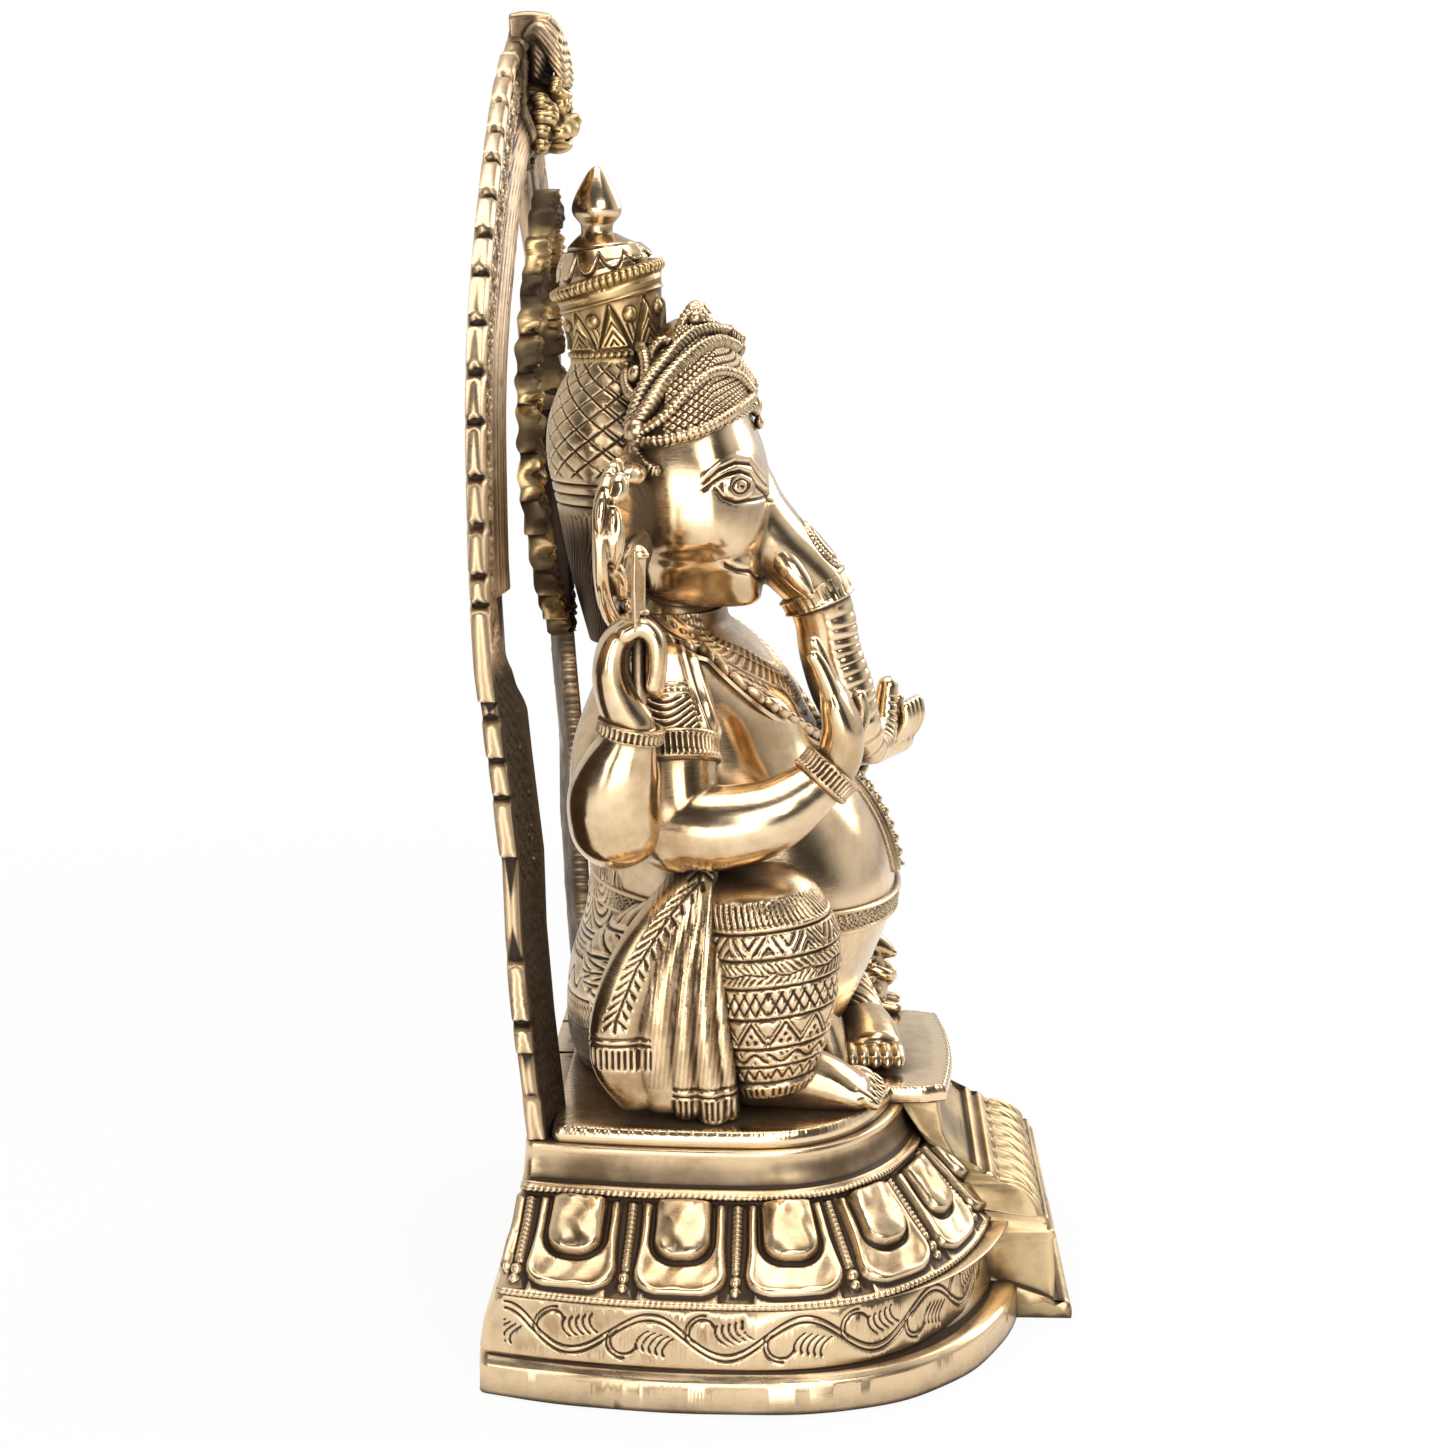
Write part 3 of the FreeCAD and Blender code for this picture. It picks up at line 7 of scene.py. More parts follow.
import bpy
import numpy as np
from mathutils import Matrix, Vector


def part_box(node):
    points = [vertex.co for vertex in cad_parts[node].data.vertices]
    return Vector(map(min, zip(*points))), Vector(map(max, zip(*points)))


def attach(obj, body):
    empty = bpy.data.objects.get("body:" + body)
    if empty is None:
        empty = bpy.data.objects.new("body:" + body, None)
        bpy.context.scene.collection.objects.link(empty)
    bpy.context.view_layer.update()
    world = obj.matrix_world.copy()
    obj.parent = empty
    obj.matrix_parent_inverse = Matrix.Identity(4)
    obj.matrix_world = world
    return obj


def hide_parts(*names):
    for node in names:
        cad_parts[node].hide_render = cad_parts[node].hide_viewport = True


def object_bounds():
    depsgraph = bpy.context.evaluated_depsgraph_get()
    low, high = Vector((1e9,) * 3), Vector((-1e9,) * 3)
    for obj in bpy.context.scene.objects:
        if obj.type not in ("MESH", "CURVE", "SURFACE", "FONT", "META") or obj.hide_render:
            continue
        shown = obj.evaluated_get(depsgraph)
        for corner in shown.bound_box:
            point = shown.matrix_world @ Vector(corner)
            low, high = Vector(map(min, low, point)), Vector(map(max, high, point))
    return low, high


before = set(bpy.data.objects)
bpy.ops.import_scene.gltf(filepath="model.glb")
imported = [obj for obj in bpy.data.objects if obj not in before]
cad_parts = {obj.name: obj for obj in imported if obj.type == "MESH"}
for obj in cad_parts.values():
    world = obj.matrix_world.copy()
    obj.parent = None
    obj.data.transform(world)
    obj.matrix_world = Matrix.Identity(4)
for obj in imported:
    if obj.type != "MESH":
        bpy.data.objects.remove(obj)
cad_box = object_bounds()

MM = 0.001
TURN = 2 * math.pi


# ---- Places from the frame ----
def low(node):
    """A node's lowest corner in millimetres."""
    return np.array(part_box(node)[0]) / MM


def high(node):
    """A node's highest corner in millimetres."""
    return np.array(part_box(node)[1]) / MM


body_y = (low("figure_bolts")[1] + high("figure_bolts")[1]) / 2
seat_z = high("seat_plate")[2]
deck_z = low("seat_plate")[2]
jaw_z = low("head")[2]
whole_low, whole_high = np.array(cad_box[0]) / MM, np.array(cad_box[1]) / MM


# ---- Curves and grids ----
def spline(table, at):
    """Smooth values between the rows of a table, by Catmull-Rom weights."""
    table = np.asarray(table, float)
    last = len(table) - 1
    at = np.clip(at, 0, last - 1e-9)
    first = np.floor(at).astype(int)
    t = (at - first)[..., None]
    a, b, c, d = (table[np.clip(first + k, 0, last)] for k in (-1, 0, 1, 2))
    return b + 0.5 * t * (c - a + t * (2 * a - 5 * b + 4 * c - d + t * (3 * (b - c) + d - a)))


def bump(distance, width):
    """1 on a line and 0 at width from it, by a raised cosine."""
    return np.where(np.abs(distance) < width, 0.5 + 0.5 * np.cos(np.pi * np.clip(distance / width, -1, 1)),
                    0.0)


def step(value, start, finish):
    """0 before start and 1 after finish, with a smooth rise."""
    t = np.clip((value - start) / (finish - start), 0, 1)
    return t * t * (3 - 2 * t)


def within(value, start, finish, soft=0.25):
    return step(value, start - soft, start + soft) * (1 - step(value, finish - soft, finish + soft))


def round_bar(distance, radius):
    """Height of a half-round bar at a distance from its middle."""
    return np.sqrt(np.clip(radius ** 2 - distance ** 2, 0, None))


def repeat(along, pitch):
    """Distance from the nearest of a row of marks."""
    return (along / pitch - np.round(along / pitch)) * pitch


def beads(along, across, pitch, radius):
    return round_bar(np.hypot(repeat(along, pitch), across), radius)


def cord_line(along, across, radius, pitch, slant=0.0):
    """A raised cord with notches across it, at an even pitch."""
    notch = bump(repeat(along + slant * across, pitch), 0.32 * pitch)
    return round_bar(across, radius) * (1 - 0.45 * notch)


def zigzag(along, period, reach):
    """The height of a folded line."""
    return reach * (4 * np.abs(along / period - np.floor(along / period) - 0.5) - 1)


def spiral(along, across, pitch, turns, hand=1):
    """Distance from a spiral line round the origin."""
    radius, angle = np.hypot(along, across), np.arctan2(across, along) * hand
    lap = radius / pitch - angle / TURN
    gap = (lap - np.round(lap)) * pitch
    return np.where(radius < pitch * turns, np.abs(gap), pitch)


def oval(turn, half_x, half_y, squareness=2.2):
    """A rounded outline, between an ellipse and a rectangle."""
    c, s = np.cos(turn), np.sin(turn)
    return (np.sign(c) * np.abs(c) ** (2 / squareness) * half_x,
            np.sign(s) * np.abs(s) ** (2 / squareness) * half_y)


def turns(count, start=0.0, finish=TURN):
    """Angles spread evenly from start, without finish."""
    return start + (finish - start) * np.arange(count) / count


def stacked(rows, row_count, column_count, squareness=2.2):
    """Horizontal ovals through (height, half width, front, back, x) rows, as a grid of points."""
    rows = [row if len(row) == 5 else (*row, 0.0) for row in rows]
    z, half, front, back, x = np.moveaxis(spline(rows, np.linspace(0, len(rows) - 1, row_count)), -1,
                                          0)[:, :, None]
    u, v = oval(turns(column_count)[None, :], half, (front + back) / 2, squareness)
    return np.stack([x + u, body_y + (back - front) / 2 + v, z + 0 * u], -1)


def tube(stations, row_count=48, column_count=24, side=(1, 0, 0), rounded=(True, True), squareness=2.0):
    """Rings round a smooth line through (x, y, z, radius to the side, other radius), with round ends."""
    stations = [s if len(s) == 5 else (*s, s[3]) for s in stations]
    ends = 9
    at = np.linspace(0, len(stations) - 1, row_count)
    values = spline(stations, at)
    middle, radii = values[:, :3], values[:, 3:]
    tangent = np.gradient(middle, axis=0)
    tangent /= np.linalg.norm(tangent, axis=1, keepdims=True)
    for place in (0, -1):
        if not rounded[place]:
            continue
        angle = np.linspace(0, math.pi / 2 * 0.98, ends)[1:, None]
        outward = tangent[place] * (-1 if place == 0 else 1)
        more = middle[place] + outward * radii[place].min() * np.sin(angle)
        small = radii[place] * np.cos(angle)
        same = np.repeat(tangent[place][None], ends - 1, 0)
        if place == 0:
            pairs = [(more[::-1], middle), (small[::-1], radii), (same, tangent)]
        else:
            pairs = [(middle, more), (radii, small), (tangent, same)]
        middle, radii, tangent = (np.concatenate(pair) for pair in pairs)
    side = np.asarray(side, float)
    across = side - tangent * (tangent @ side)[:, None]
    across /= np.linalg.norm(across, axis=1, keepdims=True)
    upward = np.cross(tangent, across)
    u, v = oval(turns(column_count)[None, :], radii[:, :1], radii[:, 1:], squareness)
    return middle[:, None] + across[:, None] * u[..., None] + upward[:, None] * v[..., None]


def turned(profile, foot, tilt=0.0, row_count=60, column_count=64):
    """A turned piece from (height, radius) pairs above foot, leaned back by tilt degrees."""
    at = np.linspace(0, len(profile) - 1, row_count)
    shape = spline(profile, at)
    lean = math.radians(tilt)
    axis, upward = np.array([0, math.sin(lean),
                             math.cos(lean)]), np.array([0, math.cos(lean), -math.sin(lean)])
    turn = turns(column_count)[None, :, None]
    out = np.cos(turn) * np.array([1.0, 0, 0]) + np.sin(turn) * upward
    return np.asarray(foot, float) + shape[:, :1, None] * axis + shape[:, 1:, None] * out


def blob(middle, half, row_count=24, column_count=24):
    """An egg-shaped boss."""
    rise = np.linspace(-math.pi / 2 * 0.97, math.pi / 2 * 0.97, row_count)[:, None]
    turn = turns(column_count)[None, :]
    unit = np.stack([np.cos(rise) * np.cos(turn), np.cos(rise) * np.sin(turn), np.sin(rise) + 0 * turn], -1)
    return np.asarray(middle, float) + unit * np.asarray(half, float)


def facing(points, wraps=True):
    """Unit normals of a grid, pointing out of the shape that it closes."""
    rows = np.gradient(points, axis=0)
    columns = (np.roll(points, -1, 1) - np.roll(points, 1, 1)) / 2 if wraps else np.gradient(points, axis=1)
    normal = np.cross(rows, columns)
    size = np.linalg.norm(normal, axis=-1, keepdims=True)
    outward = np.sign(np.sum((points - points.mean((0, 1))) * normal)) or 1.0
    return normal / np.maximum(size, 1e-9) * outward


def raised(points, height):
    """The grid with each point moved out along its normal."""
    return points + facing(points) * height[..., None]


def run_along(points, axis):
    """Length from the first point, along one axis of a grid."""
    gaps = np.linalg.norm(np.diff(points, axis=axis), axis=-1)
    return np.concatenate([np.zeros_like(gaps[:1] if axis == 0 else gaps[:, :1]), np.cumsum(gaps, axis)],
                          axis)


# ---- Meshes ----
def shell_arrays(points, loops=False):
    """Corners and faces of a grid that wraps round its columns: closed by fans at both ends, or as a loop."""
    rows, columns = points.shape[:2]
    row_range = np.arange(rows if loops else rows - 1)
    here, after = row_range[:, None] * columns, ((row_range + 1) % rows)[:, None] * columns
    left = np.arange(columns)[None, :]
    right = (left + 1) % columns
    quads = np.stack([here + left, after + left, after + right, here + right], -1).reshape(-1, 4)
    corners = points.reshape(-1, 3)
    fans = np.zeros((0, 3), int)
    if not loops:
        corners = np.concatenate([corners, points[:1].mean(1), points[-1:].mean(1)])
        foot, top = rows * columns, rows * columns + 1
        last = (rows - 1) * columns
        fans = np.concatenate([
            np.stack([left[0] * 0 + foot, left[0], right[0]], -1),
            np.stack([left[0] * 0 + top, last + right[0], last + left[0]], -1)])
    a, b, c, d = (corners[quads[:, k]] for k in range(4))
    centre = corners.mean(0)
    volume = np.sum(np.cross(b - a, c - a) * (a - centre)) + np.sum(np.cross(c - a, d - a) * (a - centre))
    if volume < 0:
        quads, fans = quads[:, ::-1], fans[:, ::-1]
    return corners, quads, fans


def mesh_from(name, shells):
    """One mesh from closed grids. A shell is a grid, or a (grid, True) pair where its rows close too."""
    corners, quads, fans, count = [], [], [], 0
    for shell in shells:
        grid, loops = shell if isinstance(shell, tuple) else (shell, False)
        part, part_quads, part_fans = shell_arrays(grid, loops)
        corners.append(part)
        quads.append(part_quads + count)
        fans.append(part_fans + count)
        count += len(part)
    corners, quads, fans = np.concatenate(corners) * MM, np.concatenate(quads), np.concatenate(fans)
    mesh = bpy.data.meshes.new(name)
    mesh.vertices.add(len(corners))
    mesh.vertices.foreach_set("co", corners.ravel())
    around = np.concatenate([quads.ravel(), fans.ravel()])
    mesh.loops.add(len(around))
    mesh.loops.foreach_set("vertex_index", around)
    starts = np.concatenate([np.arange(len(quads)) * 4, len(quads) * 4 + np.arange(len(fans)) * 3])
    mesh.polygons.add(len(starts))
    mesh.polygons.foreach_set("loop_start", starts)
    mesh.update(calc_edges=True)
    return mesh


def corners_of(mesh):
    values = np.empty(len(mesh.vertices) * 3)
    mesh.vertices.foreach_get("co", values)
    return values.reshape(-1, 3)


def normals_of(mesh):
    values = np.empty(len(mesh.vertices) * 3)
    mesh.vertex_normals.foreach_get("vector", values)
    return values.reshape(-1, 3)


def relaxed(mesh, corners, rounds):
    """Corner places after rounds of moving each corner to the mean of its neighbours."""
    edges = np.empty(len(mesh.edges) * 2, int)
    mesh.edges.foreach_get("vertices", edges)
    a, b = edges.reshape(-1, 2).T
    count = len(corners)
    share = np.bincount(a, minlength=count) + np.bincount(b, minlength=count)
    share = np.maximum(share, 1)[:, None]
    for _ in range(rounds):
        total = np.stack([np.bincount(a, corners[b, k], count) + np.bincount(b, corners[a, k], count)
                          for k in range(3)], -1)
        corners = 0.5 * corners + 0.5 * total / share
    return corners


def fused(name, shells, cell, rounds=3):
    """Overlapping closed shells as one skin with softened joins, on cells of one size."""
    rough = bpy.data.objects.new(name + "_rough", mesh_from(name, shells))
    bpy.context.scene.collection.objects.link(rough)
    remesh = rough.modifiers.new("Skin", "REMESH")
    remesh.mode, remesh.voxel_size = "VOXEL", cell * MM
    mesh = bpy.data.meshes.new_from_object(rough.evaluated_get(bpy.context.evaluated_depsgraph_get()))
    bpy.data.objects.remove(rough)
    mesh.name = name
    mesh.vertices.foreach_set("co", relaxed(mesh, corners_of(mesh), rounds).ravel())
    mesh.update()
    return mesh


def carve(mesh, height):
    """Moves each corner along its normal by height(x, y, z, normal), in millimetres."""
    corners, normals = corners_of(mesh), normals_of(mesh)
    x, y, z = (corners / MM).T
    corners += normals * (height(x, y, z, normals) * MM)[:, None]
    mesh.vertices.foreach_set("co", corners.ravel())
    mesh.update()


# Rounds of softening before a corner is compared with its surroundings.
hollow_rounds = 14


def mark_hollows(mesh):
    """Stores how far each corner stands above the softened surface, in millimetres."""
    corners, normals = corners_of(mesh), normals_of(mesh)
    stand = np.sum((corners - relaxed(mesh, corners, hollow_rounds)) * normals, -1) / MM
    mesh.attributes.new("stand", "FLOAT", "POINT").data.foreach_set("value", stand)


# Pieces of more triangles than plain_enough are thinned to this share of them, and at most to most_triangles.
plain_enough, thin_share, most_triangles = 30000, 0.5, 120000


def piece(name, shape, finish, slot, *nodes, painted_shade=None):
    """A finished piece from a mesh, a grid or a list of shells. It rides the root and stands for CAD nodes.

    The shade function, given x, y, z and normal, says from 0 to 1 how much painted shade darkens each corner.
    Fine meshes are thinned by a modifier.
    """
    if not isinstance(shape, bpy.types.Mesh):
        shape = mesh_from(name, shape if isinstance(shape, list) else [shape])
    shape.shade_smooth()
    mark_hollows(shape)
    if painted_shade:
        shade_share = painted_shade(*(corners_of(shape) / MM).T, normals_of(shape))
        shape.attributes.new("painted_shade", "FLOAT", "POINT").data.foreach_set("value", np.clip(shade_share, 0, 1))
    made = bpy.data.objects.new(name, shape)
    bpy.context.scene.collection.objects.link(made)
    shape.materials.append(finish)
    triangles = len(shape.loops) - 2 * len(shape.polygons)
    if triangles > plain_enough:
        thin = made.modifiers.new("thin", "DECIMATE")
        thin.ratio = min(thin_share, most_triangles / triangles)
    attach(made, "root")
    if nodes:
        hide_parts(*nodes)
    return made


def mirrored(shells):
    """The same shells on the other side. Their faces are turned outward when the mesh is made."""
    flip = np.array([-1.0, 1, 1])
    return [(shell[0] * flip, shell[1]) if isinstance(shell, tuple) else shell * flip for shell in shells]


# ---- Finishes ----
class Value:
    """A number in a node tree. Each operator adds one Math node."""

    def __init__(self, finish, socket):
        self.finish, self.socket = finish, socket

    def _with(self, operation, first, second):
        return self.finish.number("ShaderNodeMath", {"operation": operation}, {0: first, 1: second})

    def __add__(self, other):
        return self._with("ADD", self, other)

    def __sub__(self, other):
        return self._with("SUBTRACT", self, other)

    def __rsub__(self, other):
        return self._with("SUBTRACT", other, self)

    def __mul__(self, other):
        return self._with("MULTIPLY", self, other)

    def above(self, other):
        """The larger of the two numbers."""
        return self._with("MAXIMUM", self, other)


class Finish:
    """A material or the world, and the nodes that it is made of."""

    def __init__(self, owner, surface="Principled BSDF"):
        owner.use_nodes = True
        self.owner, self.nodes, self.links = owner, owner.node_tree.nodes, owner.node_tree.links
        self.surface = self.nodes[surface]

    def put(self, value, socket):
        """Links a value to a socket where it comes from a node, and sets it where it's a plain one."""
        value = getattr(value, "socket", value)
        if isinstance(value, bpy.types.NodeSocket):
            self.links.new(value, socket)
        else:
            socket.default_value = value

    def node(self, kind, settings=None, inputs=None, output=0):
        made = self.nodes.new(kind)
        for key, value in (settings or {}).items():
            setattr(made, key, value)
        for key, value in (inputs or {}).items():
            self.put(value, made.inputs[key])
        return made.outputs[output]

    def number(self, kind, settings=None, inputs=None, output=0):
        return Value(self, self.node(kind, settings, inputs, output))

    def blend(self, share, first, second):
        inputs = {0: share, 6: first, 7: second}
        return self.node("ShaderNodeMix", {"data_type": "RGBA"}, inputs, 2)

    def between(self, value, start, finish, low_end=0.0, high_end=1.0):
        inputs = {0: value, 1: start, 2: finish, 3: low_end, 4: high_end}
        return self.number("ShaderNodeMapRange", {"interpolation_type": "SMOOTHSTEP"}, inputs)

    def ray(self, kind):
        """1 for one kind of light ray and 0 for the others."""
        return Value(self, self.nodes.new("ShaderNodeLightPath").outputs[f"Is {kind} Ray"])

    def shade(self, **sockets):
        for key, value in sockets.items():
            self.put(value, self.surface.inputs[key.replace("_", " ")])


def brass(name, bright, dull, patina_and_shade, polish, tarnish_and_shade, pits=0.25, dents=1.6):
    """Cast brass: bright where it is rubbed, dull on the flats, with dark patina in the hollows and painted
    shade where nearby parts shelter it or where a piece asks for it.

    polish is the roughness of the rubbed metal. The dark colour stands for patina in the hollows and for
    painted shade. The argument after it sets how readily that colour shows where nearby parts shelter the
    surface, partly as patina and partly as painted shade. pits and dents are the depths of the fine and the
    broad unevenness.
    """
    f = Finish(bpy.data.materials.new(name))
    place = f.node("ShaderNodeTexCoord", output=3)
    stand = f.number("ShaderNodeAttribute", {"attribute_name": "stand"}, output=2)
    painted_shade = f.number("ShaderNodeAttribute", {"attribute_name": "painted_shade"}, output=2)
    # Ambient occlusion: painted shade where nearby parts shelter the surface, partly patina.
    shelter = f.number("ShaderNodeAmbientOcclusion", {"samples": 6}, {"Distance": 9 * MM}, 1)
    clouds = f.number("ShaderNodeTexNoise", {},
                      {"Vector": place, "Scale": 55.0, "Detail": 4.0, "Roughness": 0.6})
    flecks = f.number("ShaderNodeTexNoise", {},
                      {"Vector": place, "Scale": 420.0, "Detail": 3.0, "Roughness": 0.65})
    stretched = f.node("ShaderNodeMapping", {}, {"Vector": place, "Scale": (260.0, 260.0, 2400.0)})
    scratches = f.number("ShaderNodeTexNoise", {}, {"Vector": stretched, "Scale": 1.0, "Detail": 2.0})
    hollow = f.between(stand + (clouds - 0.5) * 0.08, -0.16, 0.0, 1.0, 0.0)
    occlusion_shade = f.between(shelter + (clouds - 0.5) * 0.35 + (flecks - 0.5) * 0.15, 0.3, 0.95, 1.0, 0.0)
    dark = hollow.above(occlusion_shade * tarnish_and_shade)
    # Painted shade where a piece asks for it through its own attribute.
    dark = dark.above(f.between(painted_shade + (clouds - 0.5) * 0.9, 0.2, 0.8, 0.0, 0.94))
    rubbed = f.between(stand + (flecks - 0.5) * 0.1, 0.0, 0.16)
    plain = f.blend(f.between(clouds, 0.35, 0.65), (*dull, 1), (*bright, 1))
    metal = f.blend(rubbed, plain, (*[min(1.0, c * 1.12) for c in bright], 1))
    colour = f.blend(dark, metal, (*patina_and_shade, 1))
    rough = f.between(clouds + (scratches - 0.5) * 0.5, 0.2, 0.8, polish * 0.75, polish * 1.35)
    height = scratches * 0.25 + flecks * pits + clouds * dents
    normal = f.node("ShaderNodeBump", {}, {"Strength": 0.35, "Distance": 0.12 * MM, "Height": height})
    f.shade(Base_Color=colour, Metallic=f.between(dark, 0.4, 1.0, 1.0, 0.55), Roughness=rough + dark * 0.25,
            Normal=normal)
    return f.owner


rubbed_brass = brass("rubbed_brass", (0.86, 0.65, 0.41), (0.58, 0.39, 0.21), (0.06, 0.03, 0.011), 0.17, 0.9,
                     0.25, 2.2)
chased_brass = brass("chased_brass", (0.78, 0.58, 0.355), (0.44, 0.285, 0.15), (0.04, 0.021, 0.009), 0.24,
                     1.0, 0.25, 0.9)
cast_brass = brass("cast_brass", (0.60, 0.435, 0.265), (0.22, 0.14, 0.075), (0.035, 0.02, 0.011), 0.34, 1.0,
                   0.8)
golden_brass = brass("golden_brass", (0.70, 0.49, 0.235), (0.33, 0.205, 0.09), (0.04, 0.02, 0.008), 0.28,
                     1.0, 0.6)
yellow_brass = brass("yellow_brass", (0.74, 0.55, 0.31), (0.42, 0.29, 0.145), (0.06, 0.036, 0.014), 0.36,
                     0.95, 0.9)


def screw_finish():
    f = Finish(bpy.data.materials.new("screw_steel"))
    place = f.node("ShaderNodeTexCoord", output=3)
    grain = f.number("ShaderNodeTexNoise", {}, {"Vector": place, "Scale": 300.0, "Detail": 3.0})
    f.shade(Base_Color=f.blend(grain, (0.32, 0.31, 0.29, 1), (0.55, 0.54, 0.52, 1)), Metallic=1.0,
            Roughness=f.between(grain, 0.3, 0.7, 0.3, 0.5))
    return f.owner


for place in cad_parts["figure_bolts"].material_slots:
    place.material = screw_finish()


# ---- Pedestal ----
# In plan the pedestal is widest at widest_y: a rounded front before it, and sides that curve in behind it.
widest_y = high("pedestal")[1] - 58.5
foot_half, foot_reach = high("pedestal")[0], widest_y - whole_low[1] - 10.0
side_curve = 132.0
# How far the back leans in at each height.
back_line = [(9.5, 0.0), (17.0, 1.2), (24.0, 4.2), (30.0, 6.2), (36.0, 7.4), (42.0, 8.2), (51.3, 8.8)]
corner_round = 2.2
front_fullness = 2.45
# The lotus tier: its heights, how far it slopes in at the side and in front, and the ledges under it.
tier_foot, tier_top = 24.0, 42.5
tier_side, tier_front = 22.5, 17.0
ledge, front_ledge = 1.8, 8.2
petal_pitch = 24.2
# The front step's section from the deck down, as (y, z), and its half width at each height.
step_face = [(-35.6, 51.3), (-36.4, 47.0), (-37.8, 42.0), (-40.6, 37.4), (-44.0, 34.4), (-45.4, 35.2),
             (-46.6, 34.3), (-47.4, 33.2), (-48.6, 34.0), (-49.8, 33.0), (-50.8, 31.8), (-54.2, 31.2),
             (-57.4, 29.4), (-59.6, 26.8), (-60.4, 24.6), (-61.8, 24.8), (-62.4, 23.4), (-62.4, 22.4),
             (-63.3, 22.0), (-63.6, 20.6), (-63.2, 19.6), (-63.8, 12.0), (-64.0, 4.6), (-66.6, 4.1),
             (whole_low[1] + 0.3, 3.2), (whole_low[1], 1.6), (whole_low[1] + 0.1, 0.0)]
step_width = [(0, 38.0), (4.2, 38.0), (4.4, 37.2), (22, 39.3), (33, 31.4), (deck_z, 31.0)]


def outline_shares(count, back_count):
    """Where columns stand round the plan: one side, round the front, the other side, over the back."""
    side_count = int(count * 0.155)
    front_count = count - 2 * side_count
    return [("left", np.linspace(1, 0, side_count, endpoint=False)),
            ("front", np.linspace(0, math.pi, front_count, endpoint=False)),
            ("right", np.linspace(0, 1, side_count, endpoint=False)),
            ("back", np.linspace(1, -1, back_count, endpoint=False))]


def plan_loop(half, reach, rear, parts):
    """One level of the pedestal: half a full oval in front, slowly narrowing sides and a flat back."""
    points = []
    corner = math.asin((rear - widest_y) / side_curve)
    r = corner_round
    for kind, at in parts:
        if kind == "front":
            u, v = oval(at, half, reach, front_fullness)
            points.append(np.stack([-u, widest_y - v], -1))
        elif kind == "back":
            points.append(np.stack([(half * math.cos(corner) - r) * at, rear + 0 * at], -1))
        else:
            side = -1 if kind == "left" else 1
            y = widest_y + side_curve * np.sin(corner * at)
            round_off = r - np.sqrt(np.clip(r ** 2 - np.clip(r - rear + y, 0, r) ** 2, 0, None))
            points.append(np.stack([side * (half * np.cos(corner * at) - round_off), y], -1))
    return np.concatenate(points)


def flat_back(z):
    """The back edge at a height: upright at the foot, then leaning forward."""
    return whole_high[1] - np.interp(z, *zip(*back_line))


def plan_grid(levels, parts):
    """Levels are (height, side inset, front inset, extra rear inset)."""
    rows = []
    for z, side, front, rear in levels:
        loop = plan_loop(foot_half - side, foot_reach - front, flat_back(z) - rear, parts)
        rows.append(np.concatenate([loop, np.full((len(loop), 1), z)], 1))
    return np.stack(rows)


def tucked(grid):
    """The grid kept behind the front step's face, where the step stands against it."""
    x, y, z = np.moveaxis(grid, -1, 0)
    behind = np.interp(z, *zip(*sorted((height, depth + 2.4) for depth, height in step_face)))
    crossed = (np.abs(x) < np.interp(z, *zip(*step_width)) - 0.9) & (y < 0)
    return np.stack([x, np.where(crossed, np.maximum(y, behind), y), z], -1)


def runs(*segments):
    """Rows spread evenly along straight runs: each segment is (rows, from, to)."""
    return np.concatenate([np.linspace(a, b, count, endpoint=False) for count, a, b in segments])


def vine(along, up):
    """Depth of the vine on the band: a double stem in waves, hooked shoots, and groups of small strokes."""
    pitch, reach, line = 35.0, 4.4, 0.45
    swing = reach * np.sin(TURN * along / pitch)
    steep = np.hypot(1, reach * TURN / pitch * np.cos(TURN * along / pitch))
    depth = bump((up - swing - 0.75) / steep, line) + bump((up - swing + 0.75) / steep, line)
    for hand in (1, -1):
        bay, inner = repeat(along - hand * pitch / 4, pitch), hand * up
        for radius in (3.0, 3.9):
            hook = np.hypot(bay - 5.2, inner + 1.4) - radius
            open_side = step(bay - 5.2 - 1.6 * (inner + 1.4), -3.4, -1.2)
            depth = np.maximum(depth, bump(hook, line) * open_side * (radius < 3.5 or bay > 4.6))
        for k in range(5):
            ahead, rise = bay + 6.4 - 1.5 * k, inner + 2.3 - 0.35 * k
            depth = np.maximum(depth, bump(np.hypot(ahead + 0.5 * rise, rise) - 2.5, 0.36)
                               * (ahead + 0.5 * rise > 1.2))
    return -0.6 * np.clip(depth, 0, 1)


def build_pedestal_band():
    """The rounded foot and the upright band with its cut vine, hollow inside."""
    parts = outline_shares(1000, 50)
    outside_rows, band_row = 62, 30
    z = runs((2, 0.0, 0.0), (7, 0.5, 7.5), (6, 7.5, 9.3), (4, 9.4, 10.4), (40, 10.4, 23.7), (5, 23.7, 24.3),
             (4, 24.3, 24.3), (4, 22.0, 1.0))
    inset = runs((2, 3.6, 0.8), (7, 0.1, 0.35), (6, 0.35, 2.2), (4, 2.5, 1.9), (40, ledge, ledge),
                 (5, ledge, 3.0), (4, 3.5, 9.0), (4, 9.0, 4.6))
    front = inset + (front_ledge - ledge) * step(z, 8.6, 9.6) * (np.arange(len(z)) < outside_rows)
    grid = plan_grid(np.stack([z, inset, front, np.maximum(inset - ledge, 0) * 0.6], -1), parts)
    along = run_along(grid[band_row:band_row + 1], 1)
    along = np.abs(along - along[:, np.argmin(grid[band_row, :, 1])][:, None]) + 0 * grid[..., 0]
    on_band = within(grid[..., 2], 11.2, 23.0, 0.2) * (grid[..., 1] < whole_high[1] - 6)
    outer = (np.arange(len(z)) < outside_rows)[:, None]
    worn = (0.25 * np.sin(grid[..., 0] * 0.21 + 1.3) * np.sin(grid[..., 1] * 0.17)
            * within(grid[..., 2], 0.4, 9.0, 0.5))
    grid = raised(grid, (vine(along, grid[..., 2] - 17.2) * on_band + worn) * outer)
    return [(tucked(grid), True)]


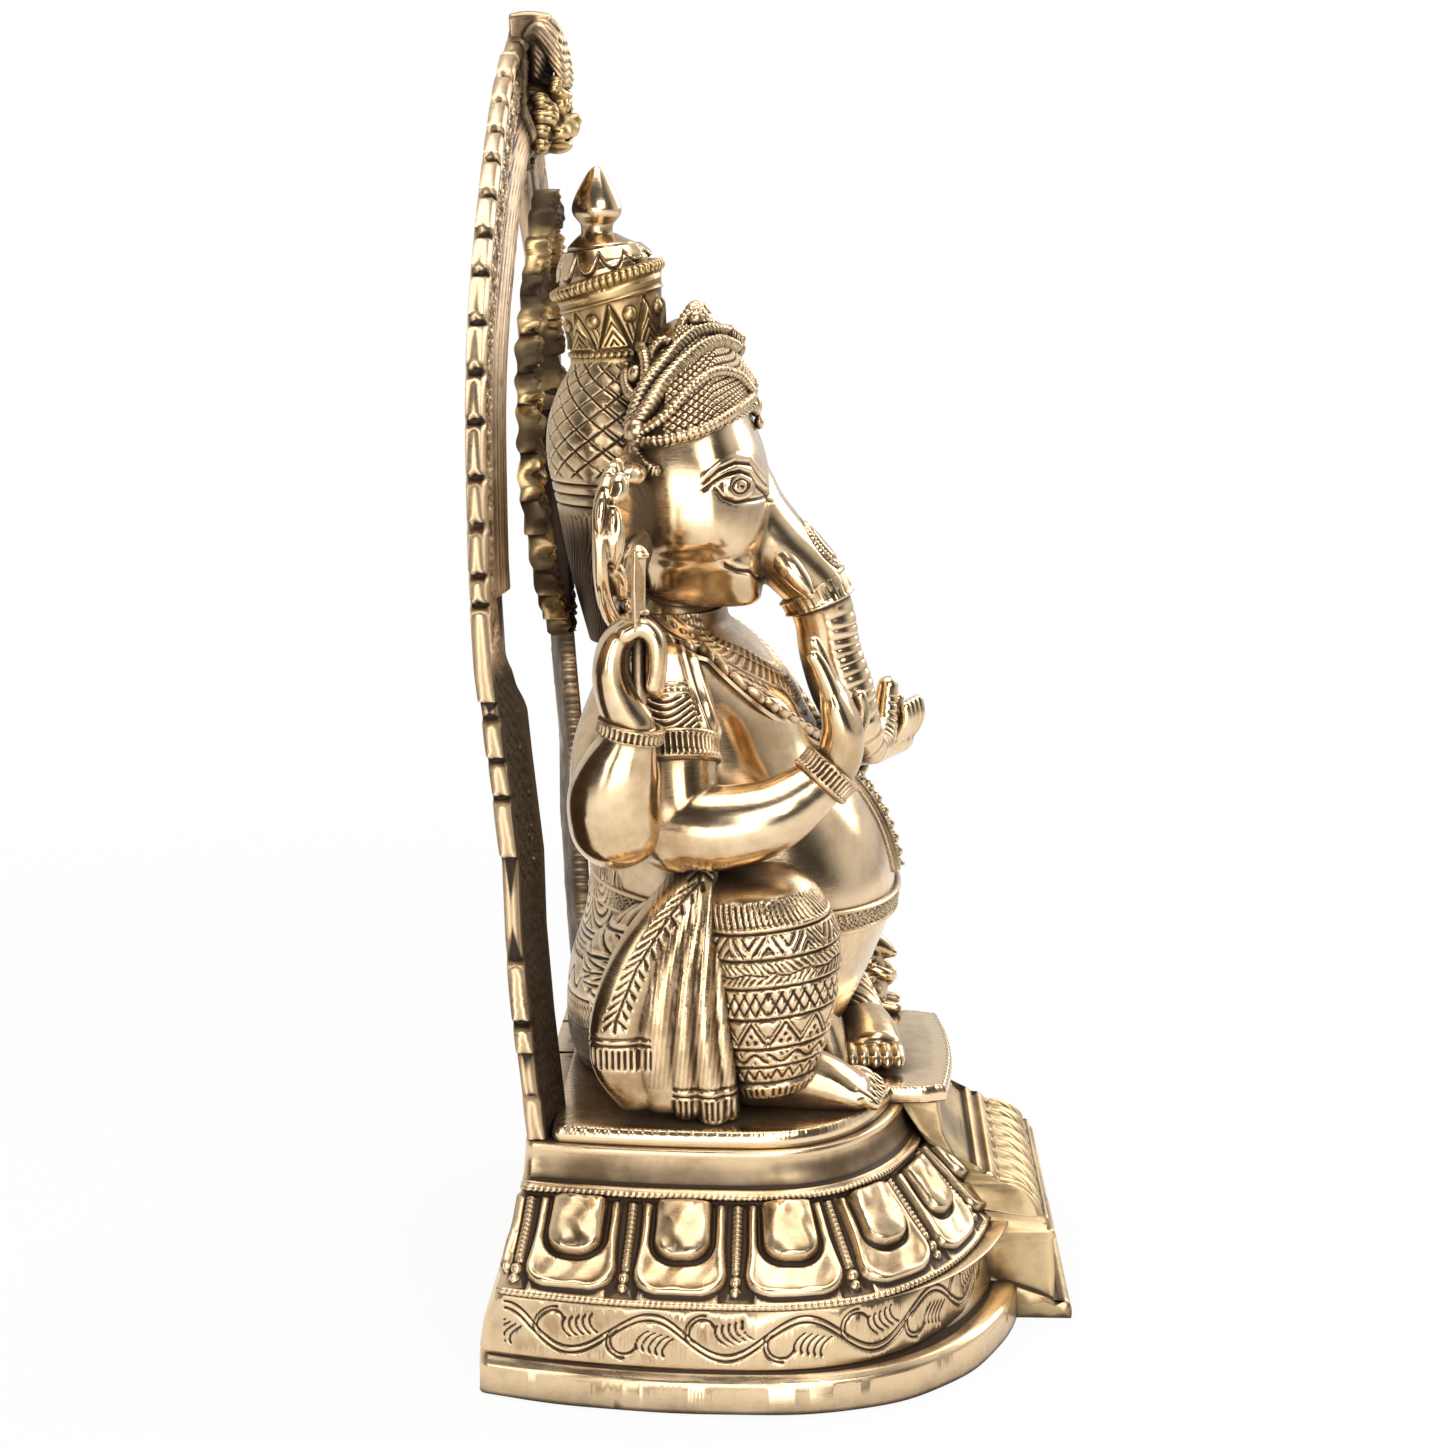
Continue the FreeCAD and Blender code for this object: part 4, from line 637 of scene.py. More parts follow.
def lotus_relief(along, up, length):
    """Petals with a raised border and a domed boss, and corded rods that end in two beads between them."""
    place = along - 4.4
    from_petal, from_rod = repeat(place - petal_pitch / 2, petal_pitch), repeat(place, petal_pitch)
    flare = np.abs(from_petal) / (1 + 0.09 * (1 - step(up, 3, 15)))

    def tongue(half, foot, corner):
        return (corner - np.hypot(np.clip(flare - half + corner, 0, None),
                                  np.clip(foot + corner - up, 0, None)))

    pad, boss = tongue(9.7, 0.7, 6.0), tongue(6.2, 9.0, 5.2)
    dome = 1 - np.clip(flare / 6.6, 0, 1) ** 2.6 - 0.7 * np.clip((15.0 - up) / 6.0, 0, 1) ** 2.2
    height = (step(pad, 0, 0.9) * 1.3 + 0.3 * bump(pad - 1.2, 1.2)
              + 0.12 * np.sin(place * 0.9 + 1.3 * np.sin(up * 0.5)) * (pad > 1.4))
    height += (0.5 + 2.2 * np.sqrt(np.clip(dome, 0, 1))) * step(boss, 0, 0.5)
    height += (0.1 * np.sin(place * 0.71 + 1.6 * np.sin(up * 0.35))
               * np.sin(up * 0.6 + 1.3 * np.sin(place * 0.4)) * (boss > 1.0))
    height -= 1.05 * bump(boss + 0.7, 0.85) * (pad > 0.4)
    height *= step(length - up, 1.3, 2.2)
    rod = cord_line(up, from_rod, 1.1, 1.2) * within(up, 6.6, length - 1.4, 0.3)
    knots = beads(from_rod, up - 4.9, 99.0, 1.4) + beads(from_rod, up - 2.6, 99.0, 1.1)
    return np.maximum(height, np.maximum(rod, knots)) - 0.35 * (pad < 0) * (np.abs(from_rod) < 3.6)


def build_lotus_tier():
    """The sloping tier of petals between two notched cords, the cove above it and the deck."""
    parts = outline_shares(860, 44)
    bead = 0.8
    first_slope_row, slope_end_row, middle_row, last_full_row = 8, 72, 40, 100
    deck_rear_inset = 11.0
    slope_foot, slope_top = tier_foot + 2 * bead + 0.2, tier_top - 2 * bead
    z = runs((8, 24.2, slope_foot), (64, slope_foot, slope_top), (8, slope_top, tier_top),
             (3, tier_top + 0.1, tier_top + 0.5), (14, tier_top + 0.5, deck_z - 0.4),
             (2, deck_z - 0.4, deck_z), (4, deck_z, deck_z), (3, deck_z - 4.0, deck_z - 4.0),
             (6, tier_top, tier_foot + 0.5))
    slope = runs((8, 0.0, 0.0), (64, 0.0, 1.0), (8, 1.0, 1.0), (3, 1.0, 1.05), (14, 1.05, 1.18),
                 (2, 1.18, 1.19), (4, 1.25, 2.2), (3, 2.2, 1.35), (6, 1.2, 0.22))
    hollow = np.zeros_like(slope)
    cove_row, cove_rows = 83, 14
    hollow[cove_row:cove_row + cove_rows] = -1.1 * np.sin(np.linspace(0, math.pi, cove_rows))
    side, front = ledge + tier_side * slope - hollow, front_ledge + tier_front * slope - hollow
    row = np.arange(len(z))
    rear = np.where(row > last_full_row, deck_rear_inset, 0.0)
    grid = plan_grid(np.stack([z, side, front, rear], -1), parts)
    middle = grid[middle_row:middle_row + 1]
    run = run_along(middle, 1)
    front_column = int(np.argmin(middle[0, :, 1]))
    to_back = np.minimum(run, 2 * run[:, front_column][:, None] - run)
    along = to_back + 0 * grid[..., 0]
    up = run_along(grid[:, :1], 0)[:, :1] + 0 * grid[..., 0]
    length = up[slope_end_row, 0] - up[first_slope_row, 0]
    on_tier = ((row >= first_slope_row) & (row < slope_end_row))[:, None] * 1.0
    on_side = (middle[..., 1] < whole_high[1] - 6.2) | (np.abs(middle[..., 0]) > 66)
    outside = step(to_back, -0.1, 0.1) * on_side
    height = lotus_relief(along, up - up[first_slope_row, 0], length) * on_tier
    height += cord_line(along, z[:, None] - (tier_foot + bead + 0.1), bead, 1.25) * 1.5
    height += cord_line(along, z[:, None] - (tier_top - bead), bead, 1.45) * 1.5
    height += 0.35 * bump(z[:, None] - (tier_top + 0.4), 0.35)
    return [(tucked(raised(grid, height * outside)), True)]


def closed_resample(points, count):
    """Evenly spaced points along a closed line."""
    points = np.asarray(points, float)
    loop = np.concatenate([points, points[:1]])
    reach = np.concatenate([[0], np.cumsum(np.linalg.norm(np.diff(loop, axis=0), axis=1))])
    at = np.linspace(0, reach[-1], count, endpoint=False)
    return np.stack([np.interp(at, reach, loop[:, k]) for k in range(2)], -1)


def build_seat():
    """The flat seat with its ogee lobe in front and fine notches along its upper edge."""
    half, rear = high("seat_plate")[0], high("seat_plate")[1]
    front_reach = foot_reach - front_ledge - tier_front - 4.0 - 1.5
    lobe_half, lobe_front = 33.0, low("seat_plate")[1]
    loop = plan_loop(half, front_reach, rear, outline_shares(500, 60))
    keep = (loop[:, 1] > widest_y - front_reach * 0.7) | (np.abs(loop[:, 0]) > lobe_half)
    share = np.linspace(0, 1, 60)
    lobe = np.stack([lobe_half * (2 * share - 1), lobe_front + 2.6 - 2.6 * np.sin(np.pi * share)], -1)
    corner = np.array([[-lobe_half, lobe_front + 8.5], [-lobe_half + 0.3, lobe_front + 7.0],
                       [-lobe_half + 1.4, lobe_front + 5.0]])
    first = int(np.flatnonzero(~keep)[0])
    last = int(np.flatnonzero(~keep)[-1])
    loop = np.concatenate([loop[:first], corner, lobe[2:-2], corner[::-1] * [-1, 1], loop[last + 1:]])
    loop = closed_resample(loop, 900)
    middle = np.array([0.0, widest_y])
    rows = [(1.0, 0.0), (1.0, 0.35), (1.004, 0.8), (1.004, 2.2), (1.0, 3.0), (0.998, 3.5), (0.992, 3.9),
            (0.985, 4.0), (0.97, 4.0)]
    rows += [(k, 4.0) for k in (0.9, 0.75, 0.5, 0.25, 0.05)]
    grid = np.stack([np.concatenate([middle + (loop - middle) * k, np.full((900, 1), deck_z + h)], 1)
                     for k, h in rows])
    grid = np.concatenate([np.concatenate([middle + (loop - middle) * 0.05,
                                           np.full((900, 1), deck_z)], 1)[None], grid])
    along = run_along(grid[1:2], 1) + 0 * grid[..., 0]
    lip = np.array([0, 0, 0, 0, 0, 0.6, 1, 1, 0.8, 0.3, 0, 0, 0, 0, 0])[:, None]
    return raised(grid, -0.3 * bump(repeat(along, 1.1), 0.4) * lip)


def build_front_step():
    """Hollow sweep, ridges, a fluted roll, ridges, a plain face and a foot slab, as rungs across it."""
    rear = [(-26.5, 51.3), (-32.0, 43.0), (-38.0, 34.0), (-41.0, 29.0), (-45.0, 23.0), (-45.0, 12.0),
            (-45.0, 0.0)]
    rungs, across, behind, wall = 190, 210, 12, 14
    front_line = spline(step_face, np.linspace(0, len(step_face) - 1, rungs))
    rear_line = spline(rear, np.linspace(0, len(rear) - 1, rungs))
    width = np.interp(front_line[:, 1], *zip(*step_width))
    share = np.linspace(-1, 1, across)
    front_grid = np.stack([width[:, None] * share, front_line[:, :1] + 0 * share,
                           front_line[:, 1:] + 0 * share], -1)
    back_share = np.linspace(1, -1, behind)
    rear_grid = np.stack([width[:, None] * back_share, rear_line[:, :1] + 0 * back_share,
                          rear_line[:, 1:] + 0 * back_share], -1)
    share_back = (np.arange(1, wall + 1) / (wall + 1))[None, :, None]
    side_walls = [a[:, None] + (b - a)[:, None] * share_back
                  for a, b in ((front_grid[:, -1], rear_grid[:, 0]), (rear_grid[:, -1], front_grid[:, 0]))]
    grid = np.concatenate([front_grid, side_walls[0], rear_grid, side_walls[1]], 1)
    rung = np.linspace(0, len(step_face) - 1, rungs)[:, None]
    rest = behind + 2 * wall
    on_front = np.concatenate([within(share, -0.97, 0.97, 0.02), np.zeros(rest)])[None]
    lane = np.concatenate([share, np.ones(rest)])[None] * 33.0
    flute = (np.abs(np.cos(np.pi * lane / 8.2)) ** 0.6 * 2.4 - 1.4) * within(rung, 9.6, 14.2, 0.5)
    leaf = 0.22 * bump(repeat(lane + 0.4 * rung * 3, 1.4), 0.4) * within(rung, 10.2, 14.2, 0.4)
    rope = -0.22 * bump(repeat(lane, 1.5), 0.45) * (within(rung, 4.6, 6.4, 0.3) + within(rung, 7.3, 9.0, 0.3))
    return raised(grid, (flute - leaf + rope) * on_front)


piece("pedestal_band", build_pedestal_band(), chased_brass, "antique_brass", "pedestal")
piece("lotus_tier", build_lotus_tier(), chased_brass, "antique_brass", "pedestal")
piece("seat_top", build_seat(), rubbed_brass, "antique_brass", "seat_plate")
piece("step_cascade", build_front_step(), yellow_brass, "yellow_brass", "front_step")


# ---- Arch ----
arch_depth = 4.3
# How far the inner edge of a leg stands before its outer edge.
leg_lean = 4.2
arch_shoulder_z = 211.0
arch_spring_z = 137.0
arch_top_z = high("arch")[2]
opening_top_z = 268.0
arch_rear_line = [(51.3, 59.2), (79.3, 61.7), (100.0, 63.0), (118.0, 63.2), (141.0, 65.4), (163.0, 67.2),
                  (185.0, 67.8), (235.0, 67.8), (263.0, 67.6), (285.0, 67.6), (303.0, 66.6)]
# Knobs on the outside of the legs: (from, to, reach).
leg_lumps = [(156.0, 177.0, 5.0), (143.0, 151.5, 3.0), (134.0, 141.5, 1.6), (120.0, 133.0, 3.2),
             (81.0, 95.0, 3.0), (73.0, 79.5, 2.4), (51.3, 62.0, 1.6)]


def arch_half(count):
    """Outer and inner edges from the foot to the point: sloping legs, a sine swell and a power-curve top."""
    z = np.linspace(deck_z, arch_shoulder_z, 600, endpoint=False)
    outer = np.where(z < arch_spring_z, 63 + 12.5 * (z - deck_z) / (arch_spring_z - deck_z),
                     75.5 + 11.5 * np.sin(np.clip((z - arch_spring_z) / 74, 0, 1) * np.pi / 2))
    leg_inner = 49 + 12.5 * (z - deck_z) / (157 - deck_z)
    inner = leg_inner + (outer - 24.5 - leg_inner) * step(z, 155.5, 159.5)
    rise = np.sin(np.linspace(0, np.pi / 2, 900))
    fall = 1 - rise ** 2.05
    outer = np.stack([np.concatenate([outer, 87 * fall]),
                      np.concatenate([z, arch_shoulder_z + (arch_top_z - 1 - arch_shoulder_z) * rise])], -1)
    inner = np.stack([np.concatenate([inner, 62.5 * fall]),
                      np.concatenate([z, arch_shoulder_z + (opening_top_z - arch_shoulder_z) * rise])], -1)
    reach = np.concatenate([[0], np.cumsum(np.linalg.norm(np.diff(outer + inner, axis=0), axis=1) / 2)])
    at = np.linspace(0, reach[-1], count)
    return [np.stack([np.interp(at, reach, line[:, k]) for k in range(2)], -1) for line in (outer, inner)]


def cartouche(x, z):
    """The double-edged frame round the mask: a round foot, and sides that close on the arch's point."""
    half = np.where(z < 281, 12.5 * np.sqrt(np.clip(1 - ((281 - z) / 12.0) ** 2, 0, 1)),
                    12.5 * np.clip((304 - z) / 23, 0, 1) ** 0.6)
    edge = np.abs(np.abs(x) - half)
    return (1.3 * round_bar(edge, 1.1) - 0.6 * bump(edge - 1.9, 0.7)) * (z > 268) * (half > 0.5)


def band_section(edge, face, back):
    """Points round a band's section: the share across its face, the share in depth, and 1 on the face."""
    share = np.concatenate([np.zeros(edge), np.linspace(0, 1, face), np.ones(edge), np.linspace(1, 0, back)])
    depth = np.concatenate([np.linspace(0, 1, edge), np.ones(face), np.linspace(1, 0, edge), np.zeros(back)])
    on_face = np.concatenate([np.zeros(edge), np.ones(face), np.zeros(edge + back)])
    return share[None, :], depth[None, :], on_face[None, :]


def build_arch():
    """A cogged band between two edges, with a corded rim, a pitted hollow and a broad smooth roll inside."""
    outer, inner = arch_half(560)
    flip = np.array([-1, 1])
    outer, inner = (np.concatenate([line, (line * flip)[-2::-1]]) for line in (outer, inner))
    along = run_along(outer[None], 1)[0]
    along = np.minimum(along, along[-1] - along)[:, None]
    across = np.linalg.norm(inner - outer, axis=1)[:, None]
    edge, face, back = 7, 52, 12
    share, depth, on_face = band_section(edge, face, back)
    on_outer = np.concatenate([np.ones(edge), np.exp(-np.linspace(0, 1, face) * 9), np.zeros(edge),
                               np.exp(-np.linspace(1, 0, back) * 9)])[None, :]
    u = share * across
    z = outer[:, 1][:, None]
    upper = step(z, 176.5, 178.5)
    tab = repeat(along + 2.0 + 0.5 * np.sin(along * 0.37), 10.9)
    cogs = (within(tab, -4.5, 4.5, 0.55) * 1.7 + 0.6) * step(z, 177, 179) * (1 - step(z, 293, 296))
    knob = -0.5 * (tab / 5.4) ** 2 * step(z, 177, 179)
    lumps = sum(within(z, a, b, 0.6)
                * (r - 0.8 + 0.8 * np.sqrt(np.clip(1 - ((z - (a + b) / 2) / (b - a) * 2) ** 2, 0, 1)))
                for a, b, r in leg_lumps)
    outward = (outer - inner) / across
    push = (cogs + knob + lumps) * on_outer
    push -= 0.5 * bump(repeat(along, 1.9), 0.5) * (1 - upper) * (share > 0.999) * within(z, 60, 156)
    place = (outer[:, None] * (1 - share[..., None]) + inner[:, None] * share[..., None]
             + outward[:, None] * push[..., None])
    rear = np.interp(z, *zip(*arch_rear_line))
    relief = 0.4 * bump(u - 1.4, 0.8) - 0.7 * bump(u - 2.8, 0.7)
    scroll = spiral(repeat(along, 8.2) * np.where(along % 16.4 < 8.2, 1, -1), u - 6.6, 1.7, 1.6)
    relief += 0.6 * bump(scroll, 0.75) * within(u, 3.6, 9.6, 0.4)
    relief += (0.3 * np.sin(along * 2.1 + 3 * np.sin(u * 1.3)) * np.sin(u * 2.7 + 2 * np.sin(along * 0.9))
               * within(u, 3.4, 10.4, 0.5))
    relief += (0.5 * bump(u - 10.4, 0.6) + 2.4 * bump(u - 18.6, 7.4) ** 0.6 + 0.14 * np.sin(u * 5.3)
               * within(u, 12, 23))
    relief += 0.5 * cord_line(along, u - 23.6, 0.7, 1.5)
    slant = bump(repeat(along * 0.75 + u * 0.9, 3.4), 0.7)
    slant += 0.6 * bump(repeat(along * 0.75 - u * 0.5, 5.1), 0.5)
    leg = -0.75 * slant * within(z, 112, 165, 5.0) * within(u, 1.4, 12.6, 0.5)
    leg += (0.35 * np.sin(along * 1.7 + 4 * np.sin(u * 0.7)) * np.sin(u * 1.9 + 3 * np.sin(along * 0.31))
            * within(u, 1.0, 13.0, 0.6))
    leg += 0.9 * bump(spiral(z - 166, u - 6.5, 3.2, 2.0), 1.2)
    relief = (relief * upper + leg * (1 - upper)) * on_face * within(u, 0.2, across - 0.2, 0.3)
    bulge = 1.2 * sum(within(z, a, b, 1.0) for a, b, r in leg_lumps) * on_outer
    y = rear - depth * (arch_depth + 0.6 * bulge) - relief
    y -= leg_lean * share * (1 - step(z, 150, 163))
    rounding = 0.6 * (np.abs(depth - 0.5) > 0.49) * (np.abs(share - 0.5) > 0.499)
    y += np.where(depth > 0.5, rounding, -rounding)
    relief_top = cartouche(place[..., 0], place[..., 1]) * on_face
    return np.stack([place[..., 0], y - relief_top, place[..., 1]], -1)


def leaf_line(half, low_z, high_z, widest_z, count):
    """A leaf outline with a point at both ends: a cosine power in width, a sine in height.

    Known fault: it runs a turn and a quarter, because turns() ends at TURN and not one turn after its start.
    """
    turn = turns(4 * count, -math.pi / 2)
    x = half * np.sign(np.cos(turn)) * np.abs(np.cos(turn)) ** 1.15
    z = widest_z + np.where(np.sin(turn) > 0, high_z - widest_z, widest_z - low_z) * np.sin(turn)
    return x, z


def build_flame_ring():
    """A leaf-shaped ring whose outer edge breaks into leaning flames, with a beaded line inside.

    Known fault: the outline runs a turn and a quarter, so the lower +X quarter is there twice, and the ends
    are joined by a straight bar across it.
    """
    count = 900
    x, z = leaf_line(32.0, 159.5, 263.5, 211.0, count)
    ix, iz = leaf_line(27.0, 166.5, 256.5, 211.0, count)
    run = np.concatenate([[0], np.cumsum(np.hypot(np.diff(x), np.diff(z)))])
    at = np.linspace(0, run[-1], count, endpoint=False)
    x, z, ix, iz = (np.interp(at, run, line) for line in (x, z, ix, iz))
    along = np.minimum(at, run[-1] - at)[:, None]
    gap = np.hypot(x - ix, z - iz)[:, None]
    out = np.stack([x - ix, z - iz], -1) / gap
    drift = along + 1.6 * np.sin(along * 0.13) + 0.8 * np.sin(along * 0.41)
    pitch = 9.6
    tongue = (drift / pitch) % 1
    flame = (2.5 + 0.7 * np.sin(along * 0.23)) * np.sin(np.pi * tongue ** 0.62) ** 0.8
    share, depth, on_face = band_section(6, 30, 8)
    lean = np.exp(-share * 2.2)
    place = (np.stack([x, z], -1)[:, None] * (1 - share[..., None]) + np.stack([ix, iz], -1)[:, None]
             * share[..., None])
    place = place + out[:, None] * (flame * lean - 0.8 * lean)[..., None]
    u = share * gap
    curl = np.hypot(repeat(drift - pitch / 2, pitch) * 0.8, u - 1.6)
    relief = bump(curl - 2.0, 1.1) + 1.2 * bump(curl, 1.2) - 1.1 * bump(tongue * pitch - 0.3 - u * 0.5, 1.0)
    relief += 0.5 * np.sin(along * 1.3 + 2 * np.sin(u * 1.1)) * np.sin(u * 2.2 + np.sin(along * 0.7))
    relief += 0.9 * round_bar(u - gap * 0.78, 1.1) + 0.6 * beads(along, u - gap * 0.93, 1.9, 0.7)
    relief *= on_face
    back = (np.interp(place[..., 1], (152.5, 195.0, 227.0, 257.5, 274.5), (57.2, 62.0, 62.6, 60.6, 59.8))
            + 0.4 * np.sin(along * 0.9))
    y = back - depth * 4.2 - relief
    return [(np.stack([place[..., 0], y, place[..., 1]], -1), True)]


def build_mask():
    """The lion face over the arch: brow, eyes, muzzle, cheeks, horns and mane curls, as one skin."""
    parts = [blob((0, 61, 280.5), (10.6, 7.5, 9.0)), blob((0, 54.2, 278.6), (4.6, 4.2, 3.4)),
             blob((0, 51.6, 280.4), (2.0, 2.2, 1.6)), blob((0, 55.5, 274.6), (4.4, 3.8, 2.2))]
    for side in (-1, 1):
        parts += [blob((side * 4.6, 54.2, 283.4), (2.6, 2.4, 2.4)),
                  blob((side * 4.4, 52.9, 283.0), (1.2, 1.0, 1.2)),
                  blob((side * 5.2, 54.0, 286.2), (3.4, 2.0, 1.2)),
                  blob((side * 5.0, 54.4, 277.4), (3.0, 2.8, 2.4)),
                  blob((side * 8.6, 56.6, 281.4), (2.6, 2.6, 3.4)),
                  tube([(side * 6.0, 55.5, 286.5, 2.0), (side * 9.0, 54.5, 289.0, 1.6),
                        (side * 11.0, 55.0, 287.0, 1.0)], 14, 12, (0, 1, 0))]
        parts += [blob((side * (10.4 - 0.3 * k), 58.4, 274.5 + 3.4 * k), (2.0, 2.4, 1.9)) for k in range(4)]
    mesh = fused("lion_mask", parts, 0.36, 2)

    def lines(x, y, z, normal):
        whisker = bump(repeat(z - 0.5 * np.abs(x), 1.7), 0.35) * step(np.abs(x), 6.0, 7.5)
        mouth = bump(z - 276.2 + 0.12 * np.abs(x), 0.5) * (y < 57)
        return (-0.35 * whisker * (y > 54) - 0.7 * mouth
                - 0.5 * bump(np.hypot(np.abs(x) - 4.4, z - 283.0) - 1.5, 0.4) * (y < 54.5))

    carve(mesh, lines)
    return mesh


def build_crest():
    """A plume of ribbed feathers that rises from the arch's point and curls over the mask."""
    parts = [tube([(0, 57.0, 300.2, 4.8, 4.4), (0, 61.5, 300.6, 5.0, 4.6), (0, 65.9, 300.4, 4.6, 4.2)], 24,
                  28, rounded=(False, False), squareness=5.0),
             tube([(0, 59.5, 290.5, 6.4, 3.0), (0, 58.4, 296.0, 7.6, 4.4), (0, 57.6, 300.0, 6.6, 3.4)], 30,
                  30)]
    for k in range(-3, 4):
        x, drop = k * 2.7, 0.32 * k * k
        parts.append(tube([(x * 0.6, 60.8, 299.0, 2.0, 2.2), (x * 0.85, 58.6, 302.2 - drop * 0.6, 2.1, 2.2),
                           (x, 56.0, 300.4 - drop, 2.1, 2.2), (x * 1.1, 54.5, 296.6 - drop, 2.0, 2.0),
                           (x * 1.08, 53.6, 292.4 - drop * 0.6, 1.7, 1.6), (x, 53.3, 288.6, 1.2, 1.2)], 36,
                          14))
    mesh = fused("lion_crest", parts, 0.34, 2)

    def ribs(x, y, z, normal):
        on_plume = step(60.5 - y, 0, 1.5) * step(294 - z + 2 * (56 - y), -14, -6)
        return -0.34 * bump(repeat(z - 1.1 * y + 0.12 * np.abs(x), 1.7), 0.5) * on_plume

    carve(mesh, ribs)
    return mesh


def arch_painted_shade(x, y, z, normal):
    """Painted shade on the faces of the legs and a little in the hollow above them, on faces turned to the
    front and back.
    """
    return (step(np.abs(normal[:, 1]), 0.35, 0.75)
            * (0.25 + 0.75 * (1 - step(z, 150, 172)) * (1 - 0.5 * (x > 0))))


# Painted shade over the whole ring, in bands up its height.
def ring_painted_shade(x, y, z, normal):
    return 0.6 + 0.25 * np.sin(z * 0.37)


piece("cogged_arch", build_arch(), cast_brass, "cast_brass", "arch", painted_shade=arch_painted_shade)
piece("flame_leaf", build_flame_ring(), golden_brass, "golden_brass", "flame_ring", painted_shade=ring_painted_shade)
piece("mask_face", build_mask(), golden_brass, "cast_brass", "lion_mask")
piece("crest_plume", build_crest(), cast_brass, "cast_brass", "lion_crest")


# ---- Head ----
head_rows = [(0.0, 0.60, 0.78, 0.4), (0.05, 0.66, 0.86, 0.44), (0.13, 0.76, 0.96, 0.6),
             (0.26, 0.92, 1.1, 0.84), (0.38, 1.0, 0.98, 0.95), (0.50, 1.0, 0.86, 1.0),
             (0.63, 0.94, 0.74, 0.97), (0.76, 0.82, 0.68, 0.88), (0.87, 0.64, 0.5, 0.7),
             (0.96, 0.38, 0.28, 0.45), (1.0, 0.16, 0.1, 0.2)]
head_rows = [(jaw_z + 64 * k, 32 * w, 18.5 * f, 17 * b) for k, w, f, b in head_rows]
head_table = spline(head_rows, np.linspace(0, len(head_rows) - 1, 300))
# The squareness of oval() that head_side() works with.
roundness = 2.2


def head_side(y, z, out=0.0):
    """Half width of the head at a place along it: the oval of that level, grown by out."""
    half, front, back = (np.interp(z, head_table[:, 0], head_table[:, k]) + out for k in (1, 2, 3))
    v = np.clip(np.abs((y - body_y - (back - front) / 2) / ((front + back) / 2)), 0, 1)
    return half * (1 - v ** roundness) ** (1 / roundness)


def curve(at, table):
    """Straight pieces through a short table of (place, height) pairs."""
    return np.interp(at, *zip(*table))


def carve_face(x, y, z, normal):
    """Lids, eyeball, tear duct, mouth, brow furrow and cheek crease, as lines on the side of the head."""
    ahead, up = 12.0 - y, z - 197.0
    lid = curve(ahead, [(-8.4, -0.6), (-5.1, 1.7), (-2.4, 3.1), (0.4, 3.5), (2.7, 2.2), (4.1, -0.3),
                        (6.4, -3.2)])
    fold = curve(ahead, [(-8.4, 0.6), (-4.2, 4.0), (-0.5, 5.5), (2.7, 4.8), (4.6, 1.5), (6.8, -2.2)])
    lower = curve(ahead, [(-5.6, 0.6), (-3.3, -2.2), (-0.5, -3.4), (2.3, -3.4), (6.4, -3.7)])
    span = within(ahead, -8.2, 6.4, 0.4)
    ball = np.hypot(ahead - 0.4, up - 0.1)
    height = -0.95 * bump(up - lid, 0.7) * span - 0.75 * bump(up - fold, 0.6) * span
    height += 0.4 * bump(up - (lid + fold) / 2, 1.3) * span + 0.35 * bump(up - fold - 1.5, 1.2) * span
    height -= 0.85 * bump(up - lower, 0.6) * within(ahead, -5.2, 6.4, 0.4)
    inside = (up < lid) & (up > lower) & (ahead > -5.5) & (ahead < 6)
    height += (np.where(inside, 0.75 * np.sqrt(np.clip(1 - (ball / 3.4) ** 2, 0, 1)), 0)
               - 0.6 * bump(ball - 1.6, 0.5) * inside)
    height -= 0.6 * bump(ball, 0.6) * inside
    duct = bump(np.hypot(ahead - 7.4, up + 4.3) - 0.9, 0.4)
    duct += bump(np.hypot(ahead - 9.2, up + 4.6) - 0.8, 0.35) * (up > -5)
    height -= 0.5 * duct
    on_side = step(np.abs(x), 9, 13) * (y < 26)
    mouth = (bump(z - curve(15.6 - y, [(0, 179.0), (3, 177.2), (6.6, 176.4), (8.6, 173.4)]), 0.9)
             * within(y, 6.6, 15.2, 0.8))
    jaw = (bump(z - curve(33 - y, [(2, 179.6), (10, 180.6), (15, 182.6), (18, 180.6)]), 2.6)
           * within(y, 15.5, 31, 3))
    v = (y + 6.4) * 0.65 + (z - 179.6) * 0.76
    leaf, turn = np.hypot(x / 6.0, v / 7.2), np.arctan2(v, x)
    mark = (0.9 * np.sqrt(np.clip(1 - leaf ** 4, 0, 1)) - 0.6 * bump(leaf - 0.7, 0.1)
            - 0.7 * bump(leaf - 1.07, 0.1))
    mark -= 0.5 * bump(repeat(turn * 6.6, 1.3), 0.42) * within(leaf, 0.76, 0.96, 0.04)
    mark *= (leaf < 1.2) * step(-0.77 * normal[:, 1] + 0.64 * normal[:, 2], -0.1, 0.15) * (y < 4)
    return height * on_side - 0.9 * mouth * step(np.abs(x), 4, 7) - 0.3 * jaw * step(np.abs(x), 6, 9) + mark


